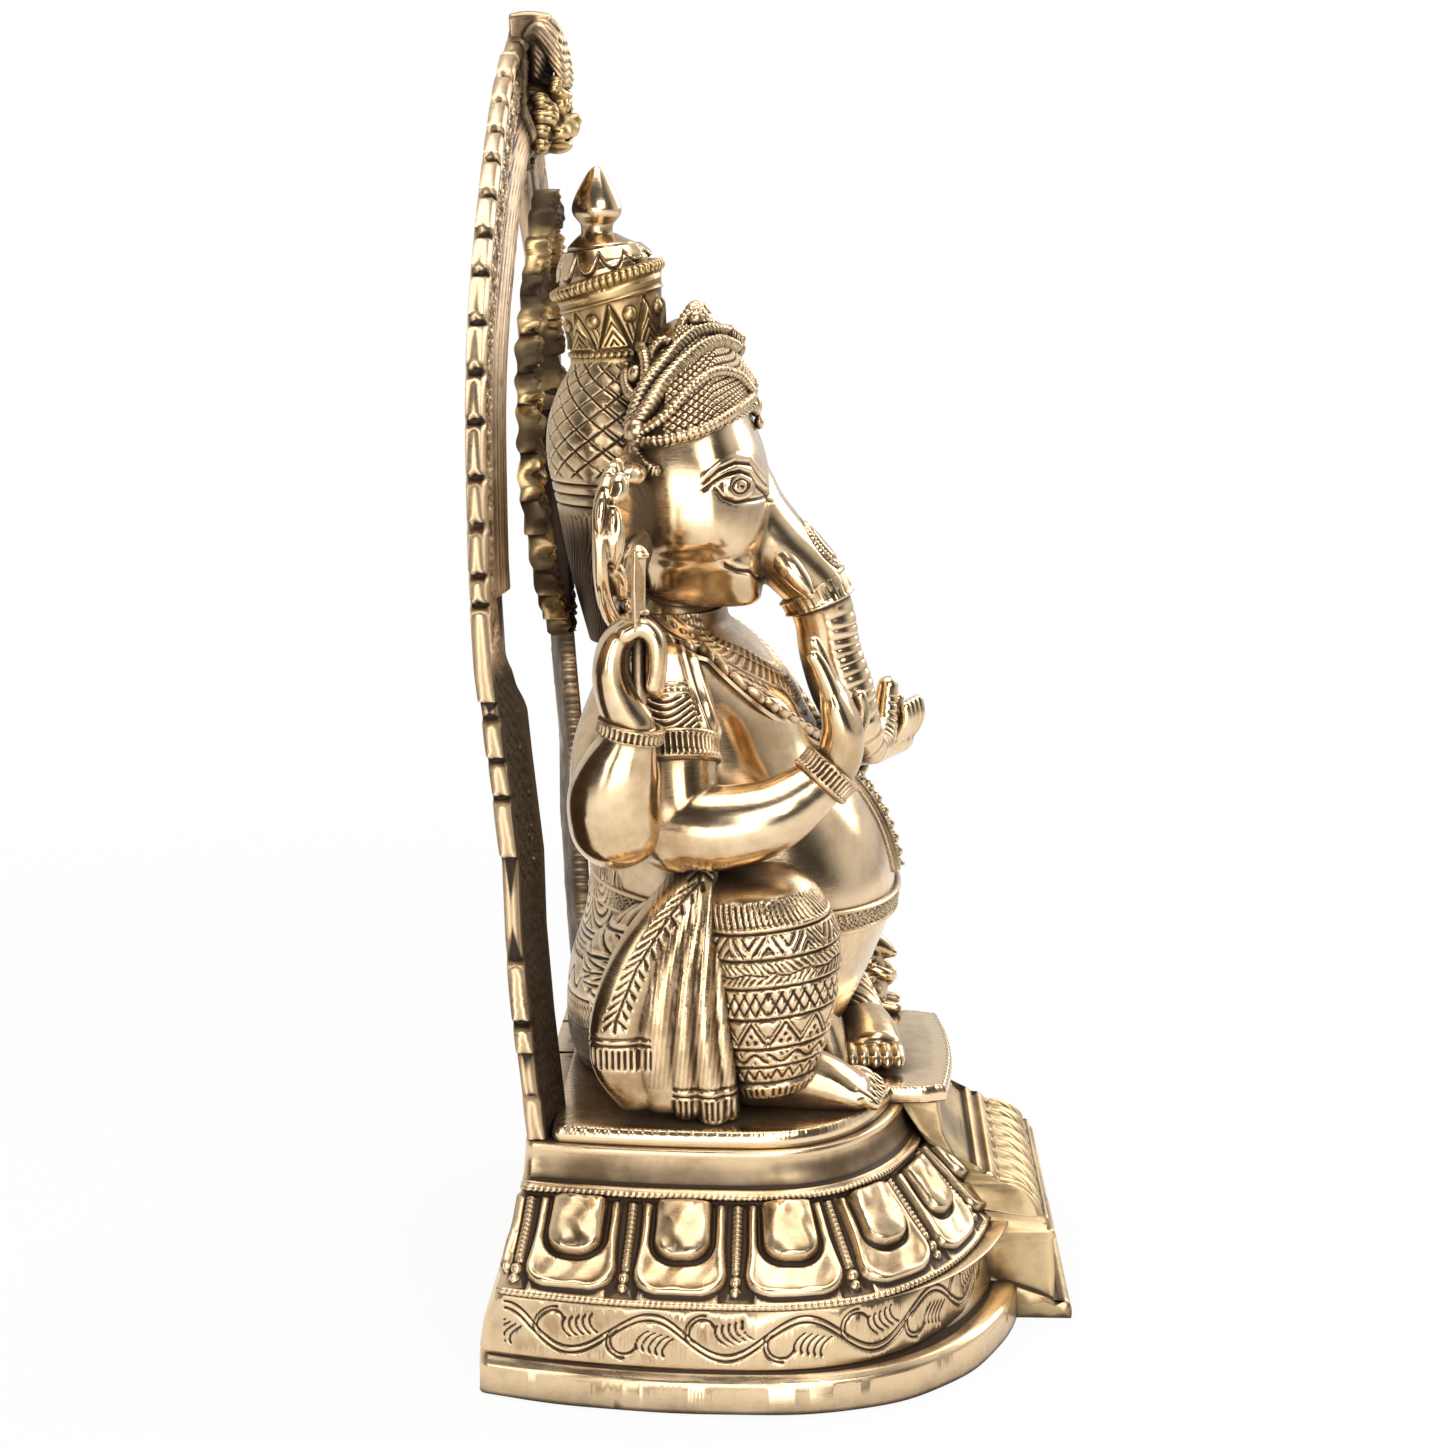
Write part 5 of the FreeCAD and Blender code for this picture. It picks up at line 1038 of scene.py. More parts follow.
def build_head():
    """Skull, cheeks, brow, square jaw and the root of the trunk, joined in one skin and carved."""
    skull = [(175.0, 18, 12.0, 9.5), (176.6, 22.4, 15.0, 11.4), (179.6, 27.6, 17.2, 13.6),
             (185.0, 31.2, 18.8, 16.0), (193.6, 32.0, 19.0, 17.2), (202.3, 31.4, 17.6, 17.4),
             (210.6, 29.4, 14.6, 16.6), (219.0, 25.6, 12.6, 15.0), (226.0, 20.5, 9.3, 11.9),
             (231.6, 12.2, 5.2, 7.7), (234.2, 5.0, 2.0, 3.4)]
    jaw = [(jaw_z - 2.6, 18.0, 15.6, 9.0), (jaw_z - 1.8, 20.6, 17.0, 10.4), (jaw_z + 4.0, 24.4, 17.0, 11.6),
           (jaw_z + 9.0, 27.2, 16.4, 12.0), (jaw_z + 14.0, 26.0, 13.0, 11.0)]
    root = [(0, 16.6, 203.0, 8.0, 6.0), (0, 13.6, 196.3, 12.0, 8.4), (0, 9.7, 188.0, 14.4, 8.8),
            (0, 4.2, 181.0, 13.8, 8.6), (0, -0.6, 176.0, 11.8, 8.2), (0, -4.8, 171.4, 9.8, 7.8),
            (0, -7.4, 167.4, 8.2, 7.4)]
    parts = [stacked(skull, 110, 110, 2.7), stacked(jaw, 40, 80, 4.2),
             tube(root, 60, 48, rounded=(True, False), squareness=2.3)]
    mesh = fused("elephant_face", parts, 0.42, 12)
    carve(mesh, carve_face)
    return mesh


trunk_path = [(0, 13.0, 193.0, 7.0, 4.0), (0, 8.5, 186.3, 10.0, 6.0), (0, 2.4, 179.3, 10.6, 7.6),
              (0, -4.4, 171.3, 8.8, 7.7), (0, -8.0, 163.3, 7.5, 7.4), (0, -9.6, 154.3, 6.9, 7.5),
              (0, -12.9, 144.3, 6.5, 7.6), (1.0, -16.2, 136.3, 5.8, 6.0), (5.0, -18.8, 130.6, 4.7, 4.6),
              (11.0, -21.4, 129.2, 4.0, 4.0), (16.4, -23.0, 133.0, 3.5, 3.5), (18.6, -23.6, 138.6, 3.0, 3.0),
              (19.0, -24.0, 142.6, 2.6, 2.6)]


def build_trunk():
    """A smooth bend with a ribbed band below the leaf mark and creases across its front."""
    grid = tube(trunk_path, 330, 72, (1, 0, 0.1))
    front = -facing(grid)[..., 1]
    down = run_along(grid[:, :1], 0) + 0 * grid[..., 0]
    mean_z, upper_rows = grid[:, :, 2].mean(1), 200
    band_start, band_end = (float(np.interp(-z, -mean_z[:upper_rows], down[:upper_rows, 0]))
                            for z in (170.6, 166.2))
    band = within(down, band_start, band_end, 0.3)
    height = band * (0.9 + 0.3 * np.cos(TURN * run_along(grid[150:151], 1) / 1.6))
    height += 0.7 * bump(down - band_start, 0.6) + 0.7 * bump(down - band_end, 0.6)
    crease = (bump(repeat(down - band_end - 1.2, 2.5), 0.5) * step(front, 0.0, 0.5)
              * step(down, band_end + 1.5, band_end + 2.5))
    height -= 0.26 * crease * (1 - step(down, down[-1, 0] - 9, down[-1, 0] - 4))
    return raised(grid, height)


def build_tusk(side):
    return tube([(side * 10.4, 3.0, 179.4, 2.8), (side * 11.8, 0.0, 176.0, 3.0),
                 (side * 12.4, -2.8, 172.6, 2.4), (side * 12.8, -4.6, 170.2, 1.4)], 36, 28, (0, 0, 1))


def build_ear(side):
    """A broad ear spread sideways: a cupped fan whose edge rolls into smooth leaf-shaped lobes."""
    root = np.array([28.0, body_y + 9.0, jaw_z + 31.0])
    lean = math.radians(15.0)

    def place(u, v, fore=0.0):
        return (side * (root[0] + u * math.cos(lean)), root[1] + u * math.sin(lean) - fore, root[2] + v)

    rim = [(2, 1), (12, 2), (22, 0), (28.2, -6), (29.2, -14), (28.4, -22), (24, -29.5), (16, -34), (9, -33)]
    parts = [tube([(*place(1, -10, 0), 3.0, 8.0), (*place(9, -11, -1.4), 2.2, 12.0),
                   (*place(18, -13, -2.0), 1.9, 13.0), (*place(25.5, -15, -1.4), 1.9, 10.5)], 40, 40,
                  (0, 1, 0)),
             tube([(*place(4, -18, 0), 2.6, 6.0), (*place(11, -24, -1), 2.2, 8.0),
                   (*place(16, -28, -1), 1.9, 6.0)], 30, 30, (0, 1, 0)),
             tube([(*place(u, v, -1.2), 1.8, 2.4) for u, v in rim], 80, 24, (0, 1, 0))]
    lobes = [((8, 0.0), (20, -0.5), 2.6, 2.2), ((22.6, 0.8), (28.0, -5.4), 2.9, 2.4),
             ((28.6, -5.6), (28.2, -19.6), 3.1, 2.6), ((27.4, -18.6), (22.6, -27.4), 2.5, 2.2),
             ((20.4, -28.4), (10, -32.6), 2.2, 1.8)]
    swell = [(0.0, 0.3), (0.14, 0.72), (0.4, 1.0), (0.7, 0.9), (0.9, 0.55), (1.0, 0.2)]
    for (u0, v0), (u1, v1), wide, deep in lobes:
        stations = [(*place(u0 + (u1 - u0) * k, v0 + (v1 - v0) * k, 1.6), deep * r, wide * r)
                    for k, r in swell]
        parts.append(tube(stations, 36, 24, (0, 1, 0), rounded=(False, False)))
    mesh = fused("ear", parts, 0.32, 3)

    def lines(x, y, z, normal):
        u, v = (np.abs(x) - root[0]) / math.cos(lean), z - root[2]
        angle, reach = np.arctan2(v + 12, u - 3), np.hypot(v + 12, u - 3)
        rib = -0.16 * bump(repeat(angle * 14, 4.2), 1.0) * within(reach, 7, 19, 1.5)
        vein = -0.35 * bump(repeat(reach + 1.2 * np.sin(angle * 5), 2.6), 0.6) * step(reach, 19, 21)
        return rib + vein

    carve(mesh, lines)
    return mesh


# Rows for stacked(): height, half width, front and back.
bun_rows = [(158.3, 15.0, -15.4, 24.6), (174.3, 16.0, -11.0, 29.0), (190.3, 17.2, 1.3, 32.3),
            (195.9, 18.4, 2.5, 33.5), (202.2, 20.0, 4.6, 34.6), (209.9, 20.0, 4.2, 34.2),
            (216.9, 17.2, 0.9, 31.9), (221.8, 13.2, -3.7, 29.3), (225.3, 11.2, -6.2, 27.8)]


def build_bun():
    """Hair drawn into a bun: crossed lines on top, three rings round it and strands below."""
    grid = stacked(bun_rows, 300, 520, 2.1)
    around, z = run_along(grid[150:151], 1) + 0 * grid[..., 0], grid[..., 2]
    up = run_along(grid[:, :1], 0) + 0 * z
    crossing = np.minimum(1, bump(repeat(around * 0.72 + up, 5.2), 0.55)
                          + bump(repeat(around * 0.72 - up, 5.2), 0.55))
    doubled = bump(repeat(around * 0.72 + up - 1.3, 5.2), 0.4) * (np.sin(around * 0.11) > 0.1)
    rings = bump(z - 190.6, 0.6) + bump(z - 193.2, 0.6) + bump(z - 195.8, 0.6)
    strands = bump(repeat(around + 1.1 * np.sin(z * 0.3), 2.0), 0.7)
    height = -0.62 * np.maximum(crossing, doubled) * step(z, 197, 198.5) - 0.75 * rings
    height -= 0.6 * strands * (1 - step(z, 187, 189.5))
    return raised(grid, height)


def build_drum():
    """The crown's drum: a frieze of pointed leaves between beaded rings."""
    rings = [(-2.0, 11.7, 17.0, 0.0), (1.5, 11.5, 17.2, 4.0), (5.0, 11.1, 17.6, 8.0), (9.0, 11.5, 18.1, 12.0),
             (13.0, 12.2, 18.8, 15.0), (16.5, 13.0, 19.4, 17.0)]
    rows = [(h, r, shift, math.radians(tilt)) for h, r, shift, tilt in rings]
    h, r, shift, lean = np.moveaxis(spline(rows, np.linspace(0, 5, 120)), -1, 0)[..., None]
    turn = turns(380)[None, :]
    grid = np.stack([r * np.cos(turn), body_y + shift + r * np.sin(turn) * np.cos(lean),
                     225.3 + h - r * np.sin(turn) * np.sin(lean)], -1)
    around, up = turn * 12.0, h + 0 * turn
    leaf = repeat(around, 9.42)
    tooth = np.abs(leaf) - (11.5 - up) * 0.42
    height = (0.9 * step(-tooth, 0, 0.6) * within(up, 2.4, 11.5, 0.3)
              - 0.6 * bump(tooth - 0.5, 0.7) * within(up, 2.0, 12.5, 0.5))
    height -= (0.5 * bump(repeat(up * 0.9 + np.abs(leaf) * 1.3, 1.9), 0.45) * (tooth < -0.5)
               * within(up, 2.8, 10.5))
    other = repeat(around - 4.71, 9.42)
    height += (0.7 * round_bar(np.hypot(other, up - 9.4), 1.7)
               - 0.5 * bump(repeat(other + up * 0.3, 1.4), 0.35) * (tooth > 1.2) * (up < 7.5))
    height += 0.8 * beads(around, up - 0.9, 1.75, 0.85) + 0.5 * bump(up - 13.4, 0.6)
    return raised(grid, height)


crown_lean = math.radians(17.0)
brim_foot = np.array([0, body_y + 19.4, 241.8])


def build_brim():
    """The tilted brim, a roll with ticks across it."""
    grid = turned([(-0.6, 12.4), (0.0, 13.0), (0.5, 13.9), (1.5, 14.3), (2.5, 13.9), (3.0, 12.5),
                   (3.4, 11.0)], brim_foot, 17.0, 46, 480)
    around = turns(480)[None, :] * 14.2 + 0 * grid[..., 0]
    row = np.linspace(0, 6, 46)[:, None]
    return raised(grid, -0.5 * bump(repeat(around, 1.75), 0.5) * within(row, 1.2, 4.8, 0.5))


def build_dome():
    """A low dome of overlapping petals under the finial's neck."""
    rise = [(-1.0, 0.80, 17.0), (0.0, 0.87, 17.0), (0.2, 0.86, 15.5), (0.35, 0.82, 12.0), (0.65, 0.66, 7.0),
            (0.88, 0.44, 2.0), (1.0, 0.30, 0.0)]
    share, k, tilt = np.moveaxis(spline(rise, np.linspace(0, 6, 90)), -1, 0)[..., None]
    lean, r = np.radians(tilt), 13.0 * k
    foot = brim_foot + 3.0 * np.array([0, math.sin(crown_lean), math.cos(crown_lean)])
    turn = turns(320)[None, :]
    grid = np.stack([r * np.cos(turn), foot[1] + 1.4 * share + r * np.sin(turn) * np.cos(lean),
                     foot[2] + 9.5 * share - r * np.sin(turn) * np.sin(lean)], -1)
    petal = repeat(turn * 12, TURN * 12 / 11)
    edge = share - 0.06 - 0.085 * petal ** 2 / 2.4
    height = (0.55 * step(edge, -0.02, 0.08) * (share < 0.62)
              - 0.5 * bump(edge * 9.5, 0.6) * (share < 0.62) - 0.45 * bump(share - 0.66, 0.05))
    return raised(grid, height)


def build_finial():
    """A bud on a short neck."""
    profile = [(-0.4, 3.8), (0.6, 3.7), (2.0, 3.9), (3.0, 4.7), (4.0, 5.5), (5.4, 5.9), (7.2, 5.6),
               (9.6, 4.6), (12.2, 3.2), (14.2, 1.9), (15.2, 0.9), (15.4, 0.3)]
    return turned(profile, (0, 46.2, 254.2), 0.0, 110, 72)


def on_head(path, out, side=-1, count=60):
    """Smooth (y, z) places laid on the side of the head, as points."""
    y, z = spline(path, np.linspace(0, len(path) - 1, count)).T
    return np.stack([side * head_side(y, z, out), y, z], -1)


def cord(points, radius, pitch, columns=18, per_mm=3.2, herring=False):
    """A rope along points: notches across it, or a herringbone of slanting strokes."""
    length = float(run_along(points[None], 1)[0, -1])
    count = max(int(length * per_mm), 12)
    at = np.linspace(0, len(points) - 1, count)
    radius = (np.broadcast_to(np.asarray(radius, float), (len(points), 2)) if np.ndim(radius)
              else np.full((len(points), 2), radius))
    grid = tube(np.concatenate([spline(points, at), spline(radius, at)], 1), count, columns,
                (0.93, 0.25, 0.27), squareness=2.3)
    along = run_along(grid[:, :1], 0) + 0 * grid[..., 0]
    across = np.linspace(-math.pi, math.pi, columns, endpoint=False)[None, :]
    slant = 0.5 * np.abs(repeat(across, math.pi)) * radius.mean() if herring else 0.0
    return raised(grid, -0.3 * min(radius.mean(), 1.4) * bump(repeat(along + slant, pitch), 0.36 * pitch))


def tiara_low(y):
    """Height of the tiara's lower edge along the side of the head."""
    return np.interp(y, [4, 9, 14, 20, 28, 36], [213.0, 213.2, 211.2, 208.8, 206.6, 204.6])


def tiara_high(y):
    return np.interp(y, [4, 10, 18, 24, 30, 36, 40], [217.0, 222.0, 233.0, 238.5, 234.5, 228.0, 222.0])


def build_tiara_band():
    """A shell of crossed lines over the brow, round the front of the head."""
    rows, columns = 150, 360
    turn = np.linspace(-0.18, math.pi + 0.18, columns)[None, :]
    share = np.linspace(0, 1, rows)[:, None]
    z = 209.0 + 22 * share + 0 * turn
    for _ in range(12):
        half, front, back = (np.interp(z, head_table[:, 0], head_table[:, k]) + 1.7 for k in (1, 2, 3))
        u, v = oval(-turn, half, (front + back) / 2)
        y = body_y + (back - front) / 2 + v
        z = tiara_low(y) + (np.minimum(tiara_high(y), 233.0) - tiara_low(y)) * share
    outer = np.stack([u, y, z], -1)
    middle = np.array([0, body_y, 0])
    inner = (outer[::-1] - middle) * (0.9, 0.9, 1.0) + middle
    around = run_along(outer[60:61], 1) + 0 * u
    up = run_along(outer[:, :1], 0) + 0 * u
    crossed = bump(repeat(around * 0.8 + up, 2.1), 0.4) + bump(repeat(around * 0.8 - up, 2.1), 0.4)
    height = 0.5 - 0.5 * np.minimum(1, crossed)
    normal = facing(outer, False)
    forward = np.sign(np.sum(normal[80, 180] * np.array([0, -1.0, 0.2])))
    return np.concatenate([outer + normal * height[..., None] * forward, inner])


def strip_shell(grid):
    """An outer and an inner sheet, stacked as rows, as one grid whose columns wrap round both."""
    rows = len(grid) // 2
    outer, inner = grid[:rows], grid[rows:][::-1]
    return np.concatenate([outer, inner[:, ::-1]], 1)


def build_tiara():
    """Ropes, loops, scrolls and the tall leaf of the diadem, laid over a cross-cut band."""
    shells = [strip_shell(build_tiara_band())]
    for side in (-1, 1):
        rope = [(33.0, 207.6), (27.0, 208.6), (20.0, 210.6), (14.0, 213.4), (9.6, 216.4)]
        shells.append(cord(on_head(rope, 2.2, side), 1.35, 1.25))
        loop = [(33.5, 210.0), (28.0, 214.0), (23.0, 219.6), (17.5, 223.0), (12.5, 221.8), (9.4, 217.8)]
        shells.append(cord(on_head(loop, 2.3, side), 1.35, 1.25))
        for shift in (0.0, 4.3):
            band = [(36.5, 208.5 + shift * 0.5), (32.5 + shift * 0.2, 215.0 + shift), (28.0, 221.5 + shift),
                    (22.5, 226.5 + shift), (17.0, 229.0 + shift * 0.5), (12.6, 226.4 + shift * 0.5)]
            shells.append(cord(on_head(band, 2.0, side), (1.3, 2.3), 1.3, herring=True))
        knot = head_side(35.0, 209.5, 2.0)
        shells += [blob((side * (knot + 0.3), 35.4, 210.0), (2.6, 2.8, 2.8)),
                   blob((side * (knot + 1.2), 32.8, 207.4), (2.0, 2.2, 2.0))]
        tail = [(34.6, 208.6), (35.6, 205.4), (33.6, 202.6), (31.0, 201.2)]
        shells.append(cord(on_head(tail, 2.4, side), 1.5, 1.2))
        ring = [(38.4 - 3.0 * math.cos(a) * 0.9 - 2.4, 222.8 + 5.4 * math.sin(a))
                for a in np.linspace(-1.4, 4.6, 9)]
        shells.append(cord(on_head(ring, 2.6, side), 1.35, 1.25))
        shells.append(blob((side * head_side(36.0, 221.8, 2.4), 36.0, 222.2), (1.6, 1.8, 2.2)))
        scroll = np.array([(side * 18.6, 32.4, 221.0), (side * 17.4, 32.4, 226.6),
                           (side * 16.4, 30.0, 229.8), (side * 15.8, 27.4, 228.0),
                           (side * 16.4, 28.4, 225.6)])
        shells += [cord(spline(scroll, np.linspace(0, 4, 40)), 1.3, 1.25),
                   blob((side * 16.4, 29.6, 226.6), (1.7, 1.6, 1.6))]
        upper = np.array([(side * 12.0, 26.6, 225.6), (side * 11.0, 26.2, 231.6), (side * 9.6, 24.2, 235.6),
                          (side * 8.8, 21.4, 236.0), (side * 8.8, 20.6, 233.4)])
        shells += [cord(spline(upper, np.linspace(0, 4, 40)), 1.4, 1.25),
                   blob((side * 9.0, 22.6, 234.4), (2.3, 2.3, 2.3)),
                   blob((side * 9.6, 21.4, 230.2), (1.9, 1.9, 1.9)),
                   blob((side * 5.4, 23.2, 236.2), (2.0, 2.0, 2.0))]
        for k in range(3):
            x = side * (1.6 + 2.4 * k)
            strand = np.array([(x, 22.8 - 0.6 * k, 236.2 - 1.6 * k), (x * 1.3, 19.4, 232.8 - 1.4 * k),
                               (x * 1.4, 15.4, 227.0 - 0.6 * k), (x * 1.25, 11.9, 220.0),
                               (x * 0.9, 9.2, 213.6)])
            shells.append(cord(spline(strand, np.linspace(0, 4, 50)), 1.4, 1.5))
    shells.append(tube([(0, 24.0, 233.6, 4.0, 1.6), (0, 20.2, 232.0, 7.0, 1.8), (0, 15.4, 226.4, 8.4, 2.0),
                        (0, 11.6, 219.4, 7.0, 2.0), (0, 9.2, 213.2, 3.6, 1.6)], 60, 40))
    shells.append(blob((0, 22.8, 235.4), (3.0, 2.4, 2.2)))
    shells += [blob((0, 8.6, 213.6), (2.4, 1.6, 2.8)), blob((0, 7.8, 209.6), (1.5, 1.2, 1.7))]
    return shells


def ear_painted_shade(x, y, z, normal):
    """Painted shade in the hollow beside the head."""
    return 0.75 * (1 - step(np.abs(x), 38, 46))


# Painted shade over the hair knot, darker towards the bottom.
def hair_painted_shade(x, y, z, normal):
    return 0.24 + 0.7 * (1 - step(z, 180, 194))


piece("elephant_head", build_head(), rubbed_brass, "polished_brass", "head")
piece("curled_trunk", build_trunk(), rubbed_brass, "polished_brass", "trunk")
piece("tusk_right", build_tusk(-1), rubbed_brass, "polished_brass", "right_tusk")
piece("tusk_left", build_tusk(1), rubbed_brass, "polished_brass", "left_tusk")
piece("ear_right", build_ear(-1), rubbed_brass, "antique_brass", "right_ear", painted_shade=ear_painted_shade)
piece("ear_left", build_ear(1), rubbed_brass, "antique_brass", "left_ear", painted_shade=ear_painted_shade)
piece("hair_knot", build_bun(), chased_brass, "antique_brass", "hair_bun", painted_shade=hair_painted_shade)
piece("crown_frieze", build_drum(), golden_brass, "antique_brass", "crown_drum")
piece("crown_roll", build_brim(), golden_brass, "golden_brass", "crown_brim")
piece("crown_petals", build_dome(), rubbed_brass, "polished_brass", "crown_dome")
piece("crown_bud", build_finial(), rubbed_brass, "polished_brass", "crown_finial")
piece("diadem", build_tiara(), chased_brass, "antique_brass", "tiara")


# ---- Body and dress ----
# Shares of the height and of the half width, front and back of the belly, then of the chest and neck.
belly_shape = [(0.0, 0.76, 0.60, 0.96), (0.24, 0.89, 0.75, 1.1), (0.57, 0.96, 0.89, 1.1),
               (0.95, 1.0, 1.0, 1.04), (1.26, 1.0, 0.97, 1.0), (1.55, 0.96, 0.85, 0.97)]
chest_shape = [(0.70, 1.0, 1.22, 0.96), (0.80, 0.98, 0.96, 0.98), (0.88, 0.86, 0.61, 0.95),
               (0.935, 0.56, 0.33, 0.84)]
body_rows = [(seat_z + 42 * k, 45 * w, 49.5 * f, 23 * b) for k, w, f, b in belly_shape]
body_rows += [(seat_z + 115 * k, 43 * w, 23.5 * f, 23 * b) for k, w, f, b in chest_shape]
body_rows += [(jaw_z + 1.0, 17.0, 8.0, 14.3)]
body_table = spline(body_rows, np.linspace(0, len(body_rows) - 1, 500))


def on_body(turn, z, out=0.0):
    """A place on the body's surface: the oval of that height, grown by out."""
    half, front, back = (np.interp(z, body_table[:, 0], body_table[:, k]) + out for k in (1, 2, 3))
    u, v = oval(turn, half, (front + back) / 2)
    return np.stack([u, body_y + (back - front) / 2 + v, z + 0 * u], -1)


def skin(turn, low_z, high_z, out, relief, rows=70, inside=1.0):
    """A closed layer over the body between two heights for every turn, with relief(around, up) outside."""
    share = np.linspace(0, 1, rows)[:, None]
    z = low_z + (high_z - low_z) * share
    outer = on_body(turn, z, out)
    around = run_along(outer[rows // 2:rows // 2 + 1], 1) + 0 * z
    up = run_along(outer, 0)
    edge = np.minimum(share, 1 - share) * (rows - 1)
    outer = raised(outer, relief(around, up) * np.clip(edge / 2, 0, 1))
    inner = on_body(turn, z[::-1], -inside)
    return [(np.concatenate([outer, inner]), True)]


def build_torso():
    """Round belly, chest and neck, drawn in between breast and arm."""
    grid = stacked(body_rows, 190, 240)
    x, y, z = np.moveaxis(grid, -1, 0)
    chest = 2.4 * np.exp(-((np.abs(x) - 20) / 11) ** 2 - ((z - 141) / 9) ** 2) * (y < body_y)
    navel = -2.2 * np.exp(-(x / 2.4) ** 2 - ((z - 112) / 2.0) ** 2) * (y < 0)
    return raised(grid, chest + navel)


def necklace_foot(y):
    """Height of the necklace's lower edge: steep down the chest, nearly level over the back."""
    return 157.0 + (y - 19) * np.where(y < 19, 0.97, 0.3)


def build_collar():
    """A broad dotted collar with ridges, edged with a row of set beads."""
    turn = turns(760)[None, :]
    foot = 150.0 + 0 * turn
    for _ in range(14):
        foot = 0.5 * foot + 0.5 * necklace_foot(on_body(turn, foot)[..., 1])

    def relief(around, up):
        height = 0.6 * bump(up - 0.9, 0.8) + 0.55 * bump(up - 6.4, 0.6) + 0.5 * bump(up - 8.0, 0.5)
        bead = beads(around, up - 3.6, 3.7, 1.75)
        height += 1.35 * bead - 0.8 * within(up, 1.6, 5.8, 0.25) * (bead <= 0)
        height += 0.55 * beads(around, up - 11.0, 2.3, 0.8) + 0.4 * bump(up - 13.4, 0.6)
        field = (up > 14.0) * (1 - step(up, 24, 27))
        height += field * 0.3 * np.cos(around * 2.6) * np.cos(up * 2.6) + 0.4 * bump(up - 21.0, 0.7)
        return height

    return skin(turn, foot, jaw_z - 4.0 + 0 * foot, 1.3, relief, 130)


def build_belly_sash():
    """A strip between two edge lines down the belly, with a chain of set beads along it."""
    turn = np.linspace(-math.pi / 2 - 0.145, -math.pi / 2 + 0.145, 120)[None, :]
    z = np.linspace(101.5, 130.0, 150)[:, None] + 0 * turn
    outer = on_body(turn, z, 0.9)
    x, up = outer[..., 0], run_along(outer, 0)
    ridge = 0.8 * bump(np.abs(x) - 5.6, 0.8) + 0.35 * bump(np.abs(x) - 4.0, 0.5)
    from_link = np.hypot(repeat(up - 1.75, 3.5), np.abs(x) - 2.0)
    link = 1.2 * beads(up, x, 3.5, 1.6) + 0.9 * bump(from_link - 0.6, 0.5)
    outer = raised_open(outer, ridge + np.minimum(link, 1.8))
    inner = on_body(turn[:, ::-1], z, -1.2)
    return np.concatenate([outer, inner], 1)


def raised_open(grid, height):
    """raised() for a sheet on the front of the body."""
    normal = facing(grid, False)
    toward = np.sign(np.mean(normal[..., 1])) * -1.0
    return grid + normal * toward * height[..., None]


def build_belt():
    """A granular belt between two cords."""
    turn = turns(900)[None, :]
    slope = (on_body(turn, 98.0)[..., 1] - body_y) / 52 * 3.2
    low_z, high_z = 95.4 + slope, 101.4 + slope

    def relief(around, up):
        grain = (0.35 * np.cos(around * 3.9 + 1.5 * np.sin(up * 2.4))
                 * np.cos(up * 4.1 + 1.3 * np.sin(around * 1.7)))
        return grain * within(up, 1.4, 5.0) + 0.55 * bump(up - 0.9, 0.7) + 0.55 * bump(up - 5.6, 0.7)

    return skin(turn, low_z, high_z, 1.0, relief, 34)


drape_rows = [(55.3, 37.0, 24.0, 28.0), (63.3, 40.0, 24.0, 30.5), (77.3, 40.0, 22.0, 30.0),
              (91.3, 37.5, 18.0, 26.0), (102.3, 35.0, 12.0, 24.4), (109.3, 32.0, 8.0, 23.0)]


def build_drape():
    """The cloth over the hips in bands: nested curves, rungs, a wave and fringes."""
    grid = stacked(drape_rows, 230, 620)
    y, z = grid[..., 1], grid[..., 2]
    around = run_along(grid[100:101], 1) + 0 * z
    up = z + 0.18 * (y - 30)
    lines = sum(bump(up - at, 0.5) for at in (70.4, 77.2, 86.4, 91.0, 92.4))
    height = -0.75 * lines
    height -= (0.6 * bump(repeat(around + 0.4 * np.sin(up * 2), 1.5), 0.5)
               * (within(up, 58, 69.8, 0.4) + within(up, 71, 76.6, 0.4)))
    height -= 0.7 * bump(up - 81.6 - 2.0 * np.sin(around * TURN / 9.5), 0.7) * within(up, 77.8, 85.8, 0.4)
    height -= (0.4 * bump(repeat(around, 1.3), 0.45) * bump(repeat(up, 1.3), 0.45)
               * within(up, 87.0, 90.6, 0.3) * 2)
    nest = np.hypot(repeat(around, 16.0) * 1.25, np.clip(up - 107.0, None, 0) * 0.95)
    height -= 0.6 * bump(repeat(nest, 2.4), 0.65) * (up > 93.2)
    return raised(grid, height)


# Painted shade over the hip cloth, darker towards the bottom.
def drape_painted_shade(x, y, z, normal):
    return 0.3 + 0.5 * (1 - step(z, 62, 74))


piece("belly_and_chest", build_torso(), rubbed_brass, "polished_brass", "torso")
piece("bead_collar", build_collar(), chased_brass, "antique_brass", "collar")
piece("belly_strip", build_belly_sash(), chased_brass, "antique_brass", "belly_sash")
piece("cord_belt", build_belt(), chased_brass, "antique_brass", "waist_belt")
piece("hip_cloth", build_drape(), chased_brass, "antique_brass", "waist_drape", painted_shade=drape_painted_shade)


# ---- Arms and hands ----
def across_xz(points):
    """(x, y, z, radius...) rows on the other side of the figure."""
    return [(-p[0], *p[1:]) for p in points]


